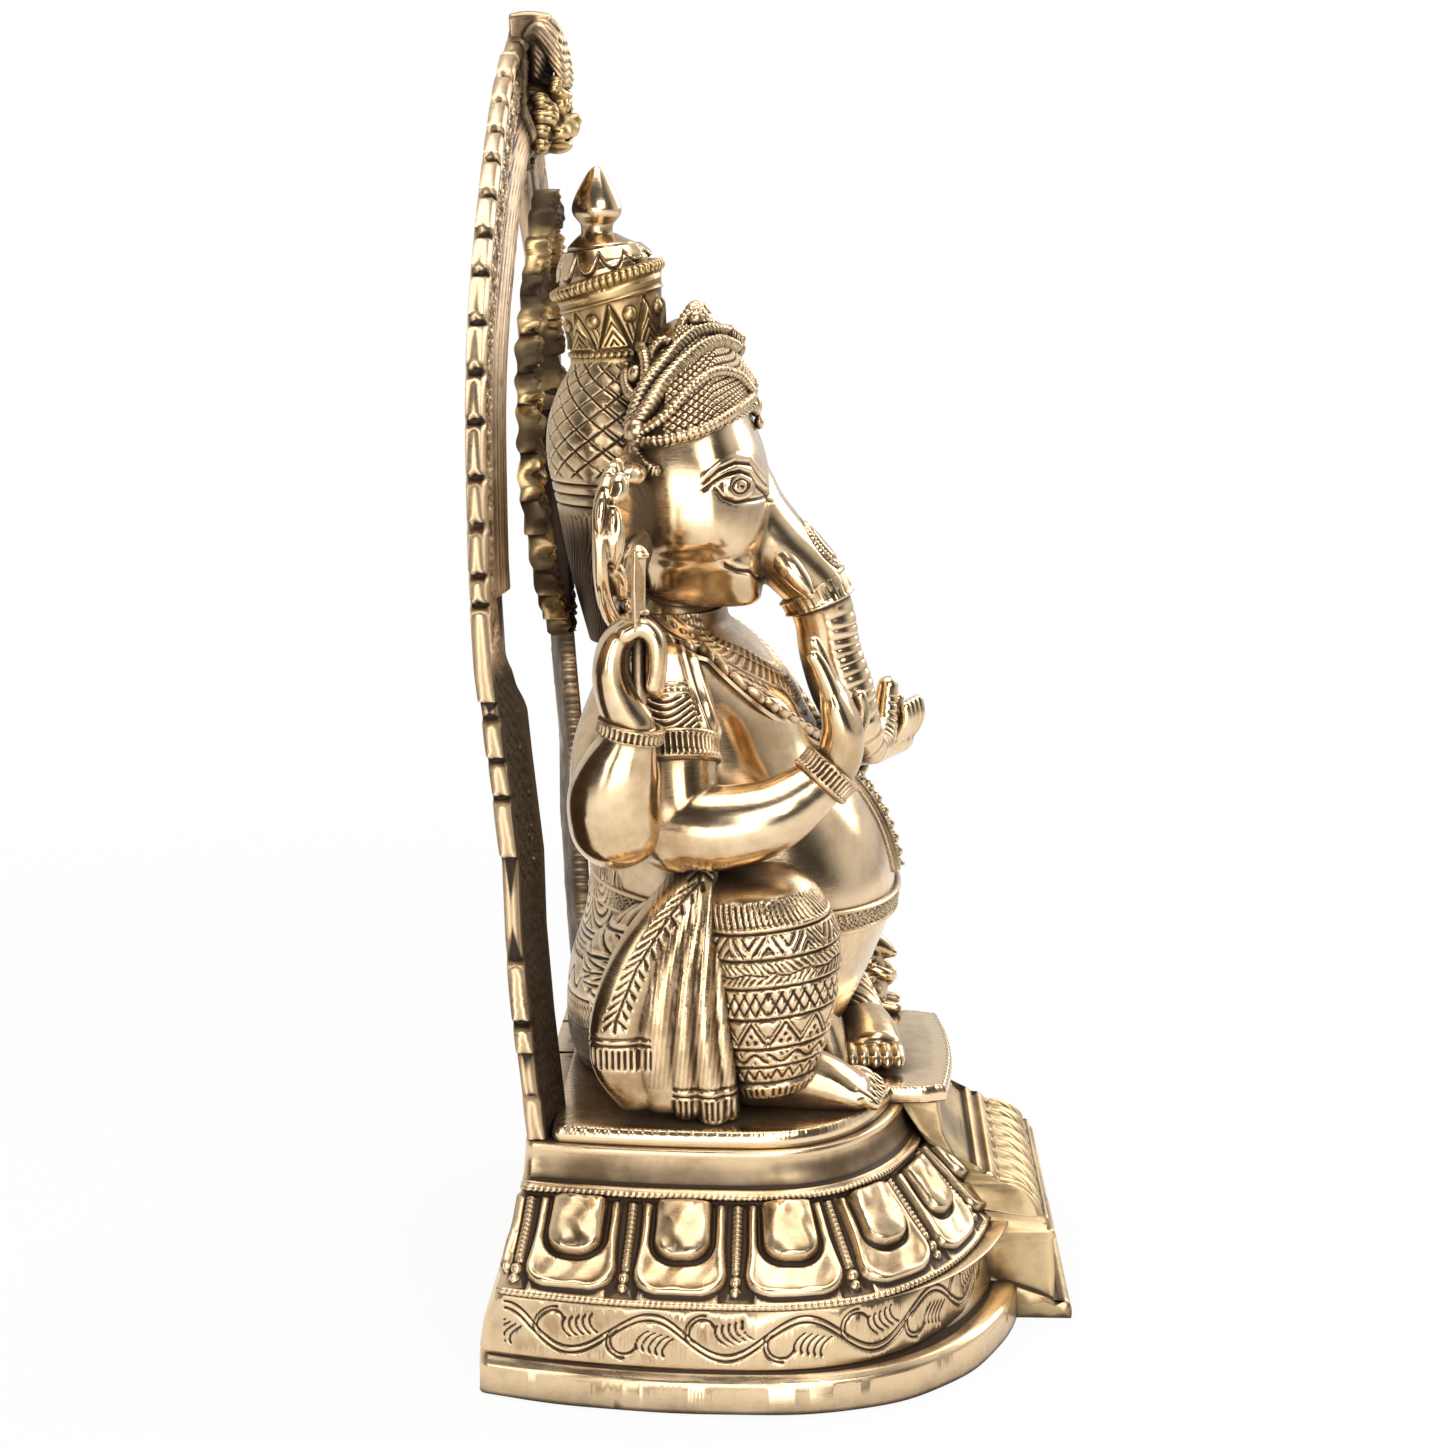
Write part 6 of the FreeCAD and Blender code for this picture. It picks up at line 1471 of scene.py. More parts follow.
def sleeve_lines(side):
    """Folds of the short sleeve: a corded edge, wavy grain, a dotted band and a plain cap."""
    def height(x, y, z, normal):
        up = z - 0.35 * (np.abs(x) - 50) + 0.1 * (y - 27)
        outside = step(normal[:, 0] * side, -0.2, 0.15)
        bend = up + 2.2 * np.sin((y - 22) * 0.28) - 0.035 * (y - 27) ** 2
        wave = -0.8 * bump(repeat(bend, 1.9), 0.7) * within(up, 141.5, 151.0, 0.4)
        dots = (0.55 * beads(y, up - 153.0, 1.5, 0.7) + 0.35 * bump(up - 151.6, 0.4)
                + 0.35 * bump(up - 154.4, 0.4))
        rim = y - 26.8 + 0.387 * (166 - z)
        edge = ((0.9 * bump(rim, 0.9) + 0.8 * bump(rim + 2.0, 0.8) - 0.6 * bump(rim + 1.0, 0.5))
                * step(z, 137, 140))
        cloth = 0.5 * step(up, 140.5, 141.2)
        return (wave + dots) * outside * step(rim, 0.6, 1.4) + cloth * step(rim, -3.0, -2.4) + edge * outside

    return height


def arm_piece(name, parts, finish, node, cell=0.5, rounds=6, lines=None):
    """A fused piece of polished brass, carved where lines are given."""
    mesh = fused(name, parts, cell, rounds)
    if lines:
        carve(mesh, lines)
    piece(name, mesh, finish, "polished_brass", node)


right_upper = [(-38, 29, 151.3, 10.5), (-45, 27.5, 144.3, 11.4), (-50, 27, 134.3, 11.2),
               (-53.5, 26, 126.3, 10.4), (-54.5, 25, 121.8, 9.6)]
right_fore = [(-54.6, 26.5, 123.6, 9.6), (-56, 16, 122.8, 9.8), (-55.4, 5, 124.9, 8.7),
              (-52.8, -3, 129.3, 7.1), (-50.2, -8.6, 133.6, 5.7)]
left_upper = across_xz(right_upper)
left_fore = [(55, 26, 124.3, 9.45), (54, 15, 121.3, 9.5), (48, 3, 120.3, 8.3), (40, -7, 121.3, 6.8),
             (34, -14, 122.8, 5.6)]
rear_upper = [(-37, 37, 148.3, 9.0), (-49, 38.5, 139.3, 10.4), (-57, 38.6, 128.3, 10.6)]
rear_fore = [(-59.6, 38.2, 125.0, 10.9), (-62.3, 38.4, 131.3, 10.6), (-64.6, 36.6, 138.6, 8.9),
             (-66.0, 34.9, 144.4, 6.6), (-66.5, 34.3, 148.8, 5.6)]

arm_piece("arm_right_front", [tube(right_upper, 40, 32), tube(right_fore, 50, 32, rounded=(True, False))],
          rubbed_brass, "right_front_arm", 0.42, 7, sleeve_lines(-1))
arm_piece("arm_left_front", [tube(left_upper, 40, 32), tube(left_fore, 50, 32, rounded=(True, False))],
          rubbed_brass, "left_front_arm", 0.42, 7, sleeve_lines(1))
arm_piece("arm_right_rear", [tube(rear_upper, 40, 32), tube(rear_fore, 50, 32, rounded=(True, False))],
          rubbed_brass, "right_rear_arm", 0.6, 8)
arm_piece("arm_left_rear",
          [tube(across_xz(rear_upper), 40, 32), tube(across_xz(rear_fore), 50, 32, rounded=(True, False))],
          rubbed_brass, "left_rear_arm", 0.6, 8)


def ring_band(start, end, radii, pitch, columns=420, side=(1, 0, 0)):
    """A ribbed band round a limb: cross ribs between two rolls, its inside closed against the limb."""
    start, end = np.array(start, float), np.array(end, float)
    rows = 60
    share = np.linspace(0, 1, rows)
    axis = (end - start) / np.linalg.norm(end - start)
    side = np.asarray(side, float)
    across = side - axis * (axis @ side)
    across /= np.linalg.norm(across)
    upward = np.cross(axis, across)
    turn = turns(columns)[None, :]
    girth = np.interp(share, (0, 0.08, 0.2, 0.3, 0.7, 0.8, 0.92, 1),
                      (0.86, 0.98, 1.0, 0.965, 0.965, 1.0, 0.98, 0.86))[:, None]
    u, v = oval(turn, radii[0] * girth, radii[1] * girth, 2.0)
    grid = (start + (end - start) * share[:, None])[:, None] + across * u[..., None] + upward * v[..., None]
    around = turn * max(radii) + 0 * u
    ribs = -0.55 * bump(repeat(around, pitch), 0.4 * pitch) * within(share[:, None], 0.2, 0.84, 0.06)
    grid = raised(grid, ribs)
    u, v = oval(turn, radii[0] * 0.7, radii[1] * 0.7, 2.0)
    inner = ((start + (end - start) * np.linspace(0.92, 0.08, 8)[:, None])[:, None] + across * u[..., None]
             + upward * v[..., None])
    return [(np.concatenate([grid, inner]), True)]


armlet_right = ring_band((-48.0, 28.0, 142.2), (-50.6, 27.3, 135.4), (12.9, 12.7), 1.5)
piece("armlet_right_band", armlet_right, chased_brass, "antique_brass", "right_armlet")
piece("armlet_left_band", mirrored(armlet_right), chased_brass, "antique_brass", "left_armlet")
wrist_right = ring_band((-51.2, -6.8, 132.0), (-50.2, -10.6, 136.2), (7.6, 7.6), 1.35, 300)
piece("bracelet_right", wrist_right, chased_brass, "antique_brass", "right_front_bracelet")
piece("bracelet_left", ring_band((36.4, -11.3, 122.0), (32.8, -15.2, 123.2), (7.8, 7.8), 1.35, 300),
      chased_brass, "antique_brass", "left_front_bracelet")
rear_ring = ring_band((-66.2, 34.9, 145.2), (-66.4, 34.2, 148.8), (7.7, 7.8), 1.5, 300)
piece("wrist_ring_right", rear_ring, chased_brass, "antique_brass", "right_rear_bracelet")
piece("wrist_ring_left", mirrored(rear_ring), chased_brass, "antique_brass", "left_rear_bracelet")


def digit(points, radius=2.3):
    """A finger with soft joints, tapering to a round tip."""
    shrink = np.linspace(1.0, 0.72, len(points))
    return tube([(*p, radius * k) for p, k in zip(points, shrink)], 30, 16, (1, 0.2, 0.1))


right_hand = [tube([(-50.3, -8.4, 133.2, 5.2), (-49.9, -11.6, 138.0, 6.6, 5.2),
                    (-49.2, -12.4, 144.0, 8.2, 4.8), (-49.0, -11.0, 150.0, 8.4, 3.8),
                    (-49.0, -10.0, 153.0, 7.6, 3.0)], 40, 28)]
for shift, length in ((-5.4, 12.5), (-1.8, 15.0), (1.8, 14.4), (5.3, 11.5)):
    right_hand.append(digit([(-49 + shift * 0.9, -11.4, 148.0), (-49 + shift, -9.6, 151.5 + 0.2 * length),
                             (-49 + shift * 1.05, -7.4, 150.2 + 0.72 * length),
                             (-49 + shift * 1.1, -5.8, 149.4 + length)]))
right_hand.append(digit([(-45.0, -13.0, 139.0), (-42.6, -15.8, 143.0), (-41.8, -16.8, 147.0),
                         (-42.2, -16.2, 150.6)], 2.5))
arm_piece("hand_right_front", right_hand, rubbed_brass, "right_front_hand", 0.3, 4)

left_hand = [tube([(34, -14, 122.8, 5.4, 5.0), (31, -18, 123.6, 6.8, 4.8), (28, -22.5, 124.6, 8.0, 4.0),
                   (25.5, -27, 126.2, 7.6, 3.2)], 40, 28, (1, -0.6, 0))]
for k in range(4):
    spread = -5.4 + 3.6 * k
    left_hand.append(digit([(26 + spread * 0.86, -24.4 - spread * 0.4, 126.4),
                            (24.8 + spread * 0.9, -28.6 - spread * 0.35, 128.6),
                            (24.2 + spread * 0.9, -30.8 - spread * 0.3, 132.4),
                            (24.0 + spread * 0.9, -30.6 - spread * 0.3, 136.0)]))
left_hand.append(digit([(35.5, -20.0, 124.8), (37.6, -24.2, 128.0), (37.2, -26.6, 132.0),
                        (35.6, -27.4, 135.2)], 2.5))
left_hand = [grid + np.array([0, 0.6, 1.2]) for grid in left_hand]
arm_piece("hand_left_front", left_hand, rubbed_brass, "left_front_hand", 0.32, 4)

piece("modak_sweet",
      [turned([(-5.5, 2.4), (-4.4, 4.4), (-2.4, 5.5), (0.0, 5.8), (2.4, 4.8), (4.4, 3.0), (6.2, 1.5),
               (7.5, 0.5)], (27.5, -22.5, 132.3), 0, 70, 90)], rubbed_brass, "polished_brass", "sweet")


def rear_hand():
    """The rear hand's palm, with the fingers bent over and down round the shaft."""
    parts = [tube([(-66.5, 34.3, 148.4, 5.2), (-66.5, 37.0, 153.6, 6.2, 4.9), (-66.5, 38.6, 160.0, 6.8, 4.3),
                   (-66.5, 37.6, 166.4, 6.6, 3.7), (-66.5, 34.4, 170.2, 6.2, 3.2)], 44, 28)]
    for k in range(4):
        dx = -5.0 + 3.3 * k
        parts.append(digit([(-66.5 + dx, 35.0, 169.4 - 0.4 * k), (-66.5 + dx, 31.6, 170.8 - 0.5 * k),
                            (-66.5 + dx, 28.8, 168.0 - 0.6 * k), (-66.5 + dx, 28.4, 162.6 - 0.8 * k),
                            (-66.5 + dx, 29.2, 158.0 - k)], 2.4))
    parts.append(digit([(-60.8, 35.6, 155.6), (-60.6, 31.8, 156.4), (-62.4, 29.6, 157.8),
                        (-64.4, 29.0, 159.0)], 2.5))
    return parts


arm_piece("hand_right_rear", rear_hand(), rubbed_brass, "right_rear_hand", 0.32, 4)
arm_piece("hand_left_rear", mirrored(rear_hand()), rubbed_brass, "left_rear_hand", 0.32, 4)


def build_axe():
    """A shaft with rings and a flared blade, hollow-ground towards its edge."""
    shaft = turned([(0.0, 1.4), (2, 1.6), (14, 1.6), (24, 1.6), (32, 1.6), (37, 1.7), (39.2, 2.1),
                    (40.4, 1.3), (41, 0.5)], (-66.5, 32.6, 147.3), 0, 120, 28)
    rings = [turned([(-0.9, 1.4), (-0.4, 2.3), (0.4, 2.3), (0.9, 1.4)], (-66.5, 32.6, at), 0, 14, 28)
             for at in (171.0, 173.4, 186.0)]
    outline = closed_resample([(1.0, -2.6), (-4.0, -3.8), (-9.0, -7.0), (-11.6, -9.2), (-13.2, -5.6),
                               (-14.2, 0), (-13.2, 5.6), (-11.6, 9.2), (-9.0, 7.0), (-4.0, 3.8), (1.0, 2.6)],
                              120)
    share = np.concatenate([np.linspace(0.05, 1, 16), np.linspace(1, 0.05, 16)])[:, None]
    side = np.concatenate([-np.ones(16), np.ones(16)])[:, None]
    hub = np.array([-4.0, 0])
    flat = hub + (outline[None] - hub) * share[..., None]
    thick = 0.25 + 1.1 * (1 - step(-flat[..., 0], 5, 13.5)) * (1 - share ** 6)
    blade = np.stack([-66.5 + flat[..., 0], 32.6 + side * thick, 179.8 + flat[..., 1]], -1)
    return [shaft, blade] + rings


def build_noose():
    """A stem and a closed loop of twisted cord with a knot."""
    shells = [turned([(0.0, 1.4), (4, 1.6), (20, 1.6), (27, 1.6), (28.5, 1.9), (29.4, 1.2)],
                     (66.5, 32.6, 151.3), 0, 80, 28)]
    columns, rows = 24, 300
    turn = np.linspace(0, TURN, rows, endpoint=False)[:, None]
    around = turns(columns)[None, :]
    thick = 1.75 - 0.3 * bump(repeat(turn * 8 + around * 0.75, 1.57), 0.6)
    reach = 8.0 + thick * np.cos(around)
    shells.append((np.stack([66.5 + reach * np.cos(turn), 32.6 + thick * np.sin(around),
                             187.8 + reach * np.sin(turn)], -1), True))
    shells.append(blob((66.5, 32.6, 180.0), (2.6, 2.3, 2.0)))
    return shells


piece("battle_axe", build_axe(), chased_brass, "golden_brass", "axe")
piece("cord_noose", build_noose(), golden_brass, "golden_brass", "noose")


# ---- Legs and feet ----
shin_rows = [(59.8, 10.6, 27.0, -12.0, -48.0), (65.3, 12.8, 31.0, -9.0, -48.5),
             (75.3, 14.5, 34.0, -7.0, -49.5), (85.3, 15.0, 36.0, -6.0, -49.5),
             (95.3, 15.0, 36.3, -5.0, -49.0), (103.3, 13.9, 33.5, -4.0, -47.5),
             (109.3, 11.0, 28.5, -5.0, -45.5), (112.3, 5.0, 22.0, -9.0, -43.5)]


def trouser_lines(x, y, z, normal):
    """Bands round the lower leg: crosses, wave, dotted triangles, crosses, feathers and hatching."""
    turn = np.arctan2(y - 4.0, x + 49.0)
    around = turn * 15.0
    up = z + 0.13 * (y - 4.0) - 1.0
    edges = (67.6, 72.2, 79.4, 86.6, 93.2, 99.2)
    height = (-0.75 * sum(bump(up - at, 0.5) for at in edges)
              + 0.3 * sum(bump(up - at - 1.0, 0.6) for at in edges))

    def band(low_z, high_z):
        return within(up, low_z, high_z, 0.25)

    def cross(pitch, slope):
        lines = [bump(repeat(around + hand * slope * up, pitch), 0.5) for hand in (1, -1)]
        return np.minimum(1, lines[0] + lines[1])

    height -= 0.7 * bump(repeat(around, 1.9), 0.55) * band(60.4, 62.6)
    height += 0.9 * band(60.0, 63.0) - 0.6 * bump(up - 63.6, 0.5)
    height -= 0.65 * cross(3.2, 0.62) * band(64.4, 67.0)
    height -= 0.7 * bump(up - 69.9 - 1.0 * np.sin(around * TURN / 7.0), 0.5) * band(68.0, 71.8)
    height -= (0.5 * bump(repeat(around + 0.5 * up, 1.4), 0.4) * band(68.4, 71.4)
               * (np.sin(around * TURN / 7.0) * (up - 69.9) < -0.6))
    tooth = up - 75.8 - zigzag(around, 7.2, 2.7)
    height -= (0.7 * bump(tooth * 0.75, 0.55) * band(72.7, 79.0) + 0.5 * bump((tooth - 1.7) * 0.75, 0.4)
               * band(72.7, 79.0))
    for dx, dz in ((0, 0.0), (1.0, -1.4), (-1.0, -1.4)):
        height -= (0.8 * bump(np.hypot(repeat(around + dx, 7.2), up - 75.8 - dz + 0.2), 0.65)
                   * band(72.7, 79.0))
    height -= 0.7 * cross(2.6, 0.55) * band(80.2, 85.8)
    feather = up - 89.8 + 0.4 * np.sin(around * 0.7)
    height -= (0.55 * bump(repeat(around + 0.9 * np.abs(feather), 1.55), 0.42) * band(87.4, 92.6)
               * step(np.abs(feather), 0.3, 0.7))
    height -= 0.55 * bump(feather, 0.45) * band(87.4, 92.6)
    height -= (0.7 * bump(repeat(around + 0.7 * (up - 96) * np.sign(np.sin(around * TURN / 9.4)), 2.35),
                          0.45) * band(93.9, 98.6))
    height -= 0.55 * bump(repeat(around + 0.45 * up, 1.6), 0.45) * within(up, 100.2, 105.6, 0.5)
    return height


right_leg_parts = [stacked(shin_rows, 90, 80),
                   tube([(-46.5, 12, 95.3, 13), (-39.5, 26, 89.3, 14.5), (-34.5, 34, 83.3, 14.5)], 40, 40)]
mesh = fused("leg_right", right_leg_parts, 0.42, 7)
carve(mesh, trouser_lines)
piece("leg_right_cloth", mesh, chased_brass, "antique_brass", "right_leg")


def toe_lines(x, y, z, normal):
    """A nail on the top of each toe."""
    from_nail = np.hypot(repeat(x + 44.5, 3.7) * 0.9, (y + 21.6) * 0.8)
    return -0.3 * bump(from_nail - 1.1, 0.35) * (normal[:, 2] > 0.2)


foot_parts = [tube([(-46.8, 8.0, 60.4, 7.4, 5.4), (-46.8, 0.0, 62.0, 8.0, 7.6),
                    (-46.2, -8.0, 60.6, 8.8, 6.8), (-45.6, -15.6, 58.6, 9.2, 4.2)], 44, 36),
              blob((-46.8, 2.0, 64.6), (6.6, 7.0, 5.2))]
for k in range(5):
    dx = -7.2 + 3.6 * k
    reach = -22.0 + 0.35 * abs(k - 3) * 1.6
    foot_parts.append(digit([(-44.8 + dx * 0.95, -13.0, 59.2), (-44.8 + dx * 1.02, reach + 4.5, 59.6),
                             (-44.8 + dx * 1.05, reach + 1.4, 58.0), (-44.8 + dx * 1.05, reach, 57.2)],
                            2.5 if k == 4 else 2.2))
mesh = fused("foot_right", foot_parts, 0.32, 3)
carve(mesh, toe_lines)
piece("foot_right_bare", mesh, rubbed_brass, "polished_brass", "right_foot")

left_leg_parts = [tube([(27.5, 38, 75.3, 16.0), (41.5, 22, 72.3, 15.5), (48.5, 8, 69.8, 14.0),
                        (49.5, 2, 69.0, 13.4)], 50, 48),
                  tube([(48.5, 7, 68.3, 12.5), (40, -1.5, 66.9, 11.0, 10.6), (30, -8.0, 65.2, 9.4, 9.0),
                        (17.5, -13, 63.3, 8.5, 8.0), (3.5, -17, 61.8, 7.0, 6.5)], 60, 44, (0.4, 1, 0))]


def wrap_lines(x, y, z, normal):
    """Folds across the bent leg, closer together towards the ankle, and a ticked hem."""
    along = 0.72 * x - 0.5 * y
    fold = (-0.6 * bump(repeat(along + 1.2 * np.sin(z * 0.3), 3.1), 0.8) * step(along, 12, 15)
            - 0.5 * bump(repeat(along, 1.7), 0.5) * within(along, 5.0, 11.5, 0.4))
    cross = -0.45 * bump(repeat(z + 0.3 * along, 2.6), 0.5) * within(along, 17.0, 24.0, 0.5)
    return fold + cross


mesh = fused("leg_left", left_leg_parts, 0.5, 6)
carve(mesh, wrap_lines)
piece("leg_left_cloth", mesh, chased_brass, "antique_brass", "left_leg")

foot_parts = [tube([(5.5, -17, 61.3, 6.4, 6.0), (-4.5, -19.5, 60.6, 7.0, 5.4), (-14, -20.5, 59.6, 7.2, 4.4)],
                   44, 32, (0, 1, 0))]
for k in range(5):
    dy = -5.6 + 2.8 * k
    foot_parts.append(tube([(-12.5, -20.4 + dy * 0.9, 59.2, 2.0), (-17.0, -20.6 + dy, 59.4, 2.0),
                            (-20.6, -20.9 + dy, 58.4, 1.8), (-21.8, -21.0 + dy, 57.6, 1.4)], 30, 14,
                           (0, 1, 0)))
piece("foot_left_bare", fused("foot_left", foot_parts, 0.34, 3), rubbed_brass, "polished_brass", "left_foot")


# ---- Sash tails, pleats and mouse ----
def sash_parts():
    """Five overlapping folds of the right sash, from the rear one forward."""
    folds = [tube([(-48.5, 21, 111.0, 4.2, 4.0), (-54.0, 27, 103.0, 5.0, 5.2), (-58.0, 33.4, 92.0, 5.4, 6.4),
                   (-59.6, 37.6, 80.0, 5.4, 6.6), (-59.8, 37.6, 70.0, 5.4, 6.8),
                   (-58.6, 32.6, 62.6, 5.0, 7.0)], 70, 40),
             tube([(-49.5, 19.8, 111.0, 3.4, 3.0), (-56.0, 24.8, 98.0, 4.2, 4.0),
                   (-59.6, 28.4, 84.0, 4.6, 4.4), (-60.6, 29.0, 70.0, 4.6, 5.2),
                   (-59.6, 27.0, 61.4, 4.6, 5.8)], 60, 32),
             tube([(-49.5, 18.6, 110.5, 3.0, 2.6), (-57.0, 21.6, 95.0, 3.8, 2.6),
                   (-60.6, 23.2, 80.0, 4.0, 2.9), (-61.4, 23.2, 66.0, 4.0, 3.4),
                   (-60.8, 22.4, 59.2, 3.8, 3.6)], 60, 28),
             tube([(-50.0, 17.6, 110.0, 3.0, 2.4), (-57.4, 18.4, 94.0, 3.8, 2.6),
                   (-61.0, 18.6, 78.0, 4.0, 2.9), (-61.8, 17.4, 64.0, 4.0, 3.4),
                   (-61.2, 16.4, 57.4, 3.8, 3.6)], 60, 28),
             tube([(-49.0, 16.8, 108.0, 2.6, 2.2), (-56.4, 15.6, 92.0, 3.4, 2.2),
                   (-59.2, 14.4, 76.0, 3.6, 2.4), (-60.0, 13.4, 62.0, 3.4, 2.6),
                   (-59.6, 12.8, 57.6, 3.0, 2.6)], 60, 24)]
    return folds


def sash_lines(x, y, z, normal):
    """Slanting ticks beside a line along the outer fold, a block of strokes and a fringe at the foot."""
    side = normal[:, 0] < 0.3
    edge = np.interp(z, [62, 70, 80, 92, 103, 110], [40.6, 42.4, 41.4, 36.6, 29.4, 22.6]) - 3.0
    ticks = (bump(repeat(z + 0.9 * np.abs(y - edge), 2.3), 0.5) * within(np.abs(y - edge), 0.5, 2.8, 0.25)
             * (z > 78))
    height = -0.7 * bump(y - edge, 0.5) * (z > 77) - 0.6 * ticks
    block = within(z, 68.6, 73.0, 0.3) * (y > 30.5)
    height -= (0.8 * bump(repeat(y, 1.45), 0.5) * block + 0.6 * bump(z - 74.0, 0.45) * (y > 30.5)
               + 0.5 * bump(z - 75.6, 0.4) * (y > 30.5))
    foot = within(z, 56.4, 61.2, 0.3) * (y < 25.5)
    height -= (0.8 * bump(repeat(y, 1.5), 0.5) * foot + 0.6 * bump(z - 62.2, 0.45) * (y < 25.5)
               + 0.6 * bump(z - 64.0, 0.4) * (y < 25.5))
    height -= 0.1 * bump(repeat(y + 0.1 * z, 1.1), 0.4) * (z > 64) * (y < 31)
    return height * side


mesh = fused("sash_right", sash_parts(), 0.4, 3)
carve(mesh, sash_lines)
piece("sash_tail_right", mesh, chased_brass, "antique_brass", "right_sash_tail")
mesh = fused("sash_left", mirrored(sash_parts()), 0.4, 3)
carve(mesh, lambda x, y, z, normal: sash_lines(-x, y, z, normal * np.array([-1.0, 1, 1])))
piece("sash_tail_left", mesh, chased_brass, "antique_brass", "left_sash_tail")

pleat_parts = []
for k in range(7):
    x = -31.6 + 3.6 * k
    pleat_parts.append(tube([(x + 4, -2, 82.0, 2.4), (x + 1.4, -7.6, 71.0, 2.6, 3.0),
                             (x, -10.6, 62.0, 2.7, 3.4), (x - 0.4, -11.4, 57.6, 2.6, 3.2)], 44, 24))
mesh = fused("pleats", pleat_parts, 0.4, 2)
carve(mesh, lambda x, y, z, normal: -0.5 * bump(z - 60.6, 0.4) - 0.4 * bump(repeat(x, 1.3), 0.4) * (z < 60))
piece("pleat_fan", mesh, chased_brass, "antique_brass", "garment_pleats")

mouse_parts = [tube([(34, -19.0, 57.4, 6.0), (34, -18.6, 63.3, 6.5), (34, -19.2, 69.3, 4.8)], 30, 28),
               tube([(34, -18.6, 71.6, 3.7), (34, -21.4, 72.2, 3.5), (34, -25.2, 70.6, 2.0),
                     (34, -26.4, 70.2, 1.2)], 30, 22),
               tube([(38, -13.0, 57.0, 1.5), (43, -11.4, 56.9, 1.3), (47, -13.0, 56.8, 1.2),
                     (47.4, -17.0, 56.6, 0.9)], 40, 14, (0, 0, 1)), blob((34, -25.0, 63.6), (2.2, 2.0, 2.0))]
for side in (-1, 1):
    mouse_parts += [blob((34 + side * 2.8, -18.2, 75.2), (1.9, 0.9, 2.1)),
                    blob((34 + side * 1.8, -23.4, 72.8), (0.7, 0.7, 0.7)),
                    digit([(34 + side * 4.2, -21.0, 67.0), (34 + side * 4.0, -24.4, 65.6),
                           (34 + side * 1.6, -26.2, 64.6)], 1.8),
                    digit([(34 + side * 4.0, -20.5, 57.6), (34 + side * 4.2, -24.0, 57.2),
                           (34 + side * 4.4, -27.2, 56.8)], 2.0),
                    blob((34 + side * 4.6, -19.4, 60.4), (3.2, 4.6, 3.8))]
mesh = fused("mouse", mouse_parts, 0.3, 3)
carve(mesh, lambda x, y, z, normal: -0.22 * bump(repeat(z + 0.5 * np.abs(x - 34), 1.2), 0.4) * (y > -21.5)
      * (z < 71))
piece("mouse_sitting", mesh, rubbed_brass, "polished_brass", "mouse")


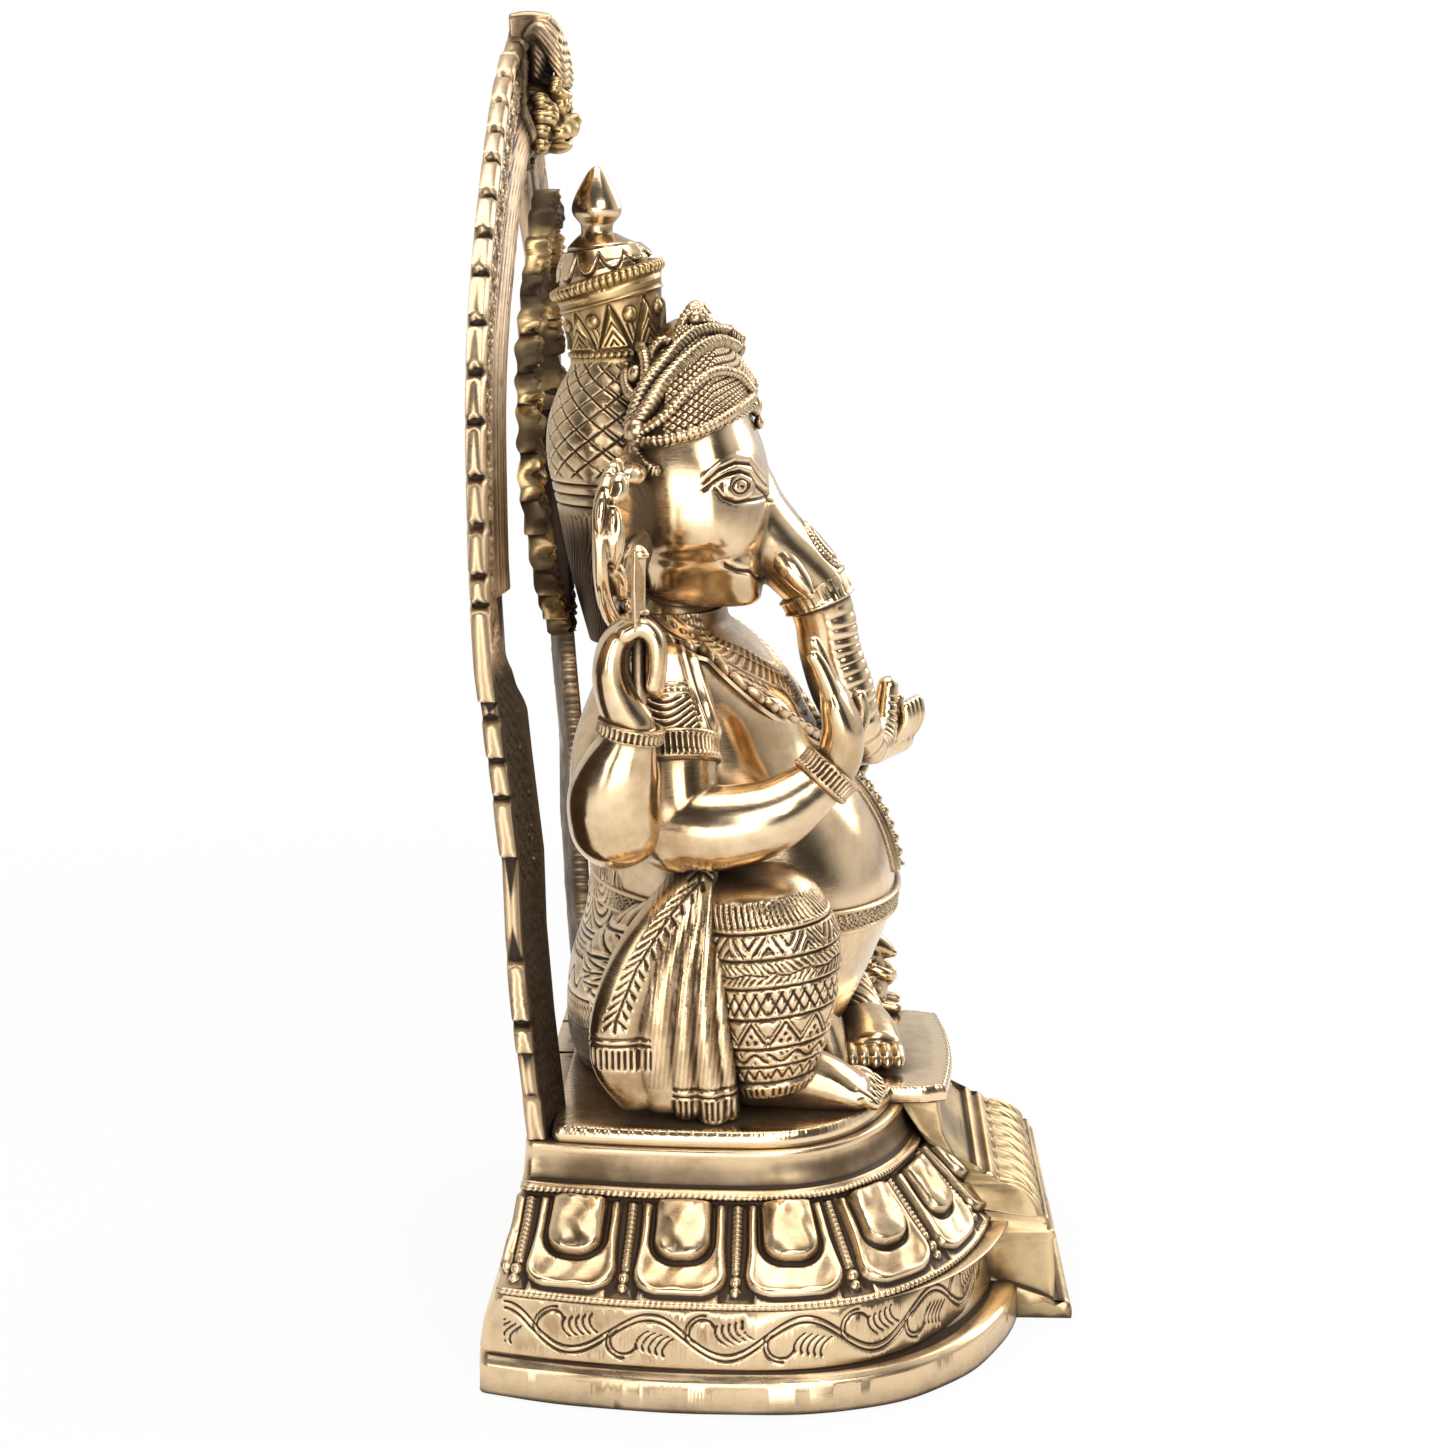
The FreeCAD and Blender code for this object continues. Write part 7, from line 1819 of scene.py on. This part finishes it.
# ---- Floor, light and camera ----
def studio():
    """A white floor and surround, five softboxes, and the camera before the figure's right side."""
    scene = bpy.context.scene
    scene.view_settings.view_transform = "Standard"
    floor = bpy.data.objects.new("floor", bpy.data.meshes.new("floor"))
    reach = 3.0
    floor.data.from_pydata([(-reach, -reach, 0), (reach, -reach, 0), (reach, reach, 0), (-reach, reach, 0)],
                           [], [(0, 1, 2, 3)])
    scene.collection.objects.link(floor)
    f = Finish(bpy.data.materials.new("pale_floor"))
    place = f.node("ShaderNodeTexCoord", output=3)
    away = f.number("ShaderNodeVectorMath", {"operation": "LENGTH"}, {0: place}, 1)
    seen = f.between(away, 0.25, 0.7, 0.92, 1.0) * f.ray("Camera")
    # In reflections the floor glows near the figure and fades further out: painted light from a floor that is
    # no lamp.
    seen = seen + f.between(away, 0.14, 0.42, 0.7, 0.08) * f.ray("Glossy")
    glow = f.node("ShaderNodeEmission", {}, {"Color": (1, 1, 1, 1), "Strength": 1.0})
    f.shade(Base_Color=(0.8, 0.8, 0.8, 1), Roughness=0.7)
    mix = f.node("ShaderNodeMixShader", {}, {0: seen, 1: f.surface.outputs[0], 2: glow})
    f.links.new(mix, f.nodes["Material Output"].inputs[0])
    floor.data.materials.append(f.owner)

    world = bpy.data.worlds.new("studio")
    scene.world = world
    light = Finish(world, "Background")
    across = light.node("ShaderNodeSeparateXYZ", {}, {0: light.node("ShaderNodeTexCoord")})
    seen = light.ray("Camera").above(light.ray("Transmission"))
    glossy = light.ray("Glossy")
    spread = (1.0 - glossy.above(seen)) * 0.55
    strength = seen + glossy * light.between(across, -0.35, 0.3, 0.06, 0.7) + spread
    light.shade(Color=(1, 1, 1, 1), Strength=strength)

    def softbox(name, place, target, size, power):
        lamp = bpy.data.lights.new(name, "AREA")
        lamp.shape, lamp.size, lamp.size_y, lamp.energy = "RECTANGLE", size[0], size[1], power
        made = bpy.data.objects.new(name, lamp)
        made.location = place
        made.rotation_euler = (Vector(target) - Vector(place)).to_track_quat("-Z", "Y").to_euler()
        scene.collection.objects.link(made)

    softbox("key_softbox", (-0.8, -0.35, 0.62), (0, 0, 0.14), (0.5, 0.5), 3.4)
    softbox("side_softbox", (-0.72, 0.55, 0.42), (0, 0, 0.15), (0.22, 0.7), 1.5)
    softbox("near_softbox", (-0.92, 0.0, 0.13), (0, 0.01, 0.19), (0.7, 0.44), 3.0)
    softbox("top_softbox", (0.0, 0.0, 1.1), (0, 0, 0.1), (0.8, 0.8), 5.5)
    softbox("far_softbox", (0.7, -0.6, 0.6), (0, 0, 0.15), (0.6, 0.6), 3.0)

    # The camera looks along +X and a little to the left and down, at a point inside the figure.
    turn, rise, distance = math.radians(2.0), math.radians(10.5), 0.72
    aim = Vector((0, 0.0165, 0.13664))
    ahead = Vector((math.cos(turn) * math.cos(rise), math.sin(turn) * math.cos(rise), -math.sin(rise)))
    lens = bpy.data.cameras.new("camera")
    lens.lens, lens.sensor_width, lens.clip_start = 73.74, 36.0, 0.01
    camera = bpy.data.objects.new("camera", lens)
    camera.location = aim - ahead * distance
    camera.rotation_euler = ahead.to_track_quat("-Z", "Y").to_euler()
    scene.collection.objects.link(camera)
    scene.camera = camera


studio()
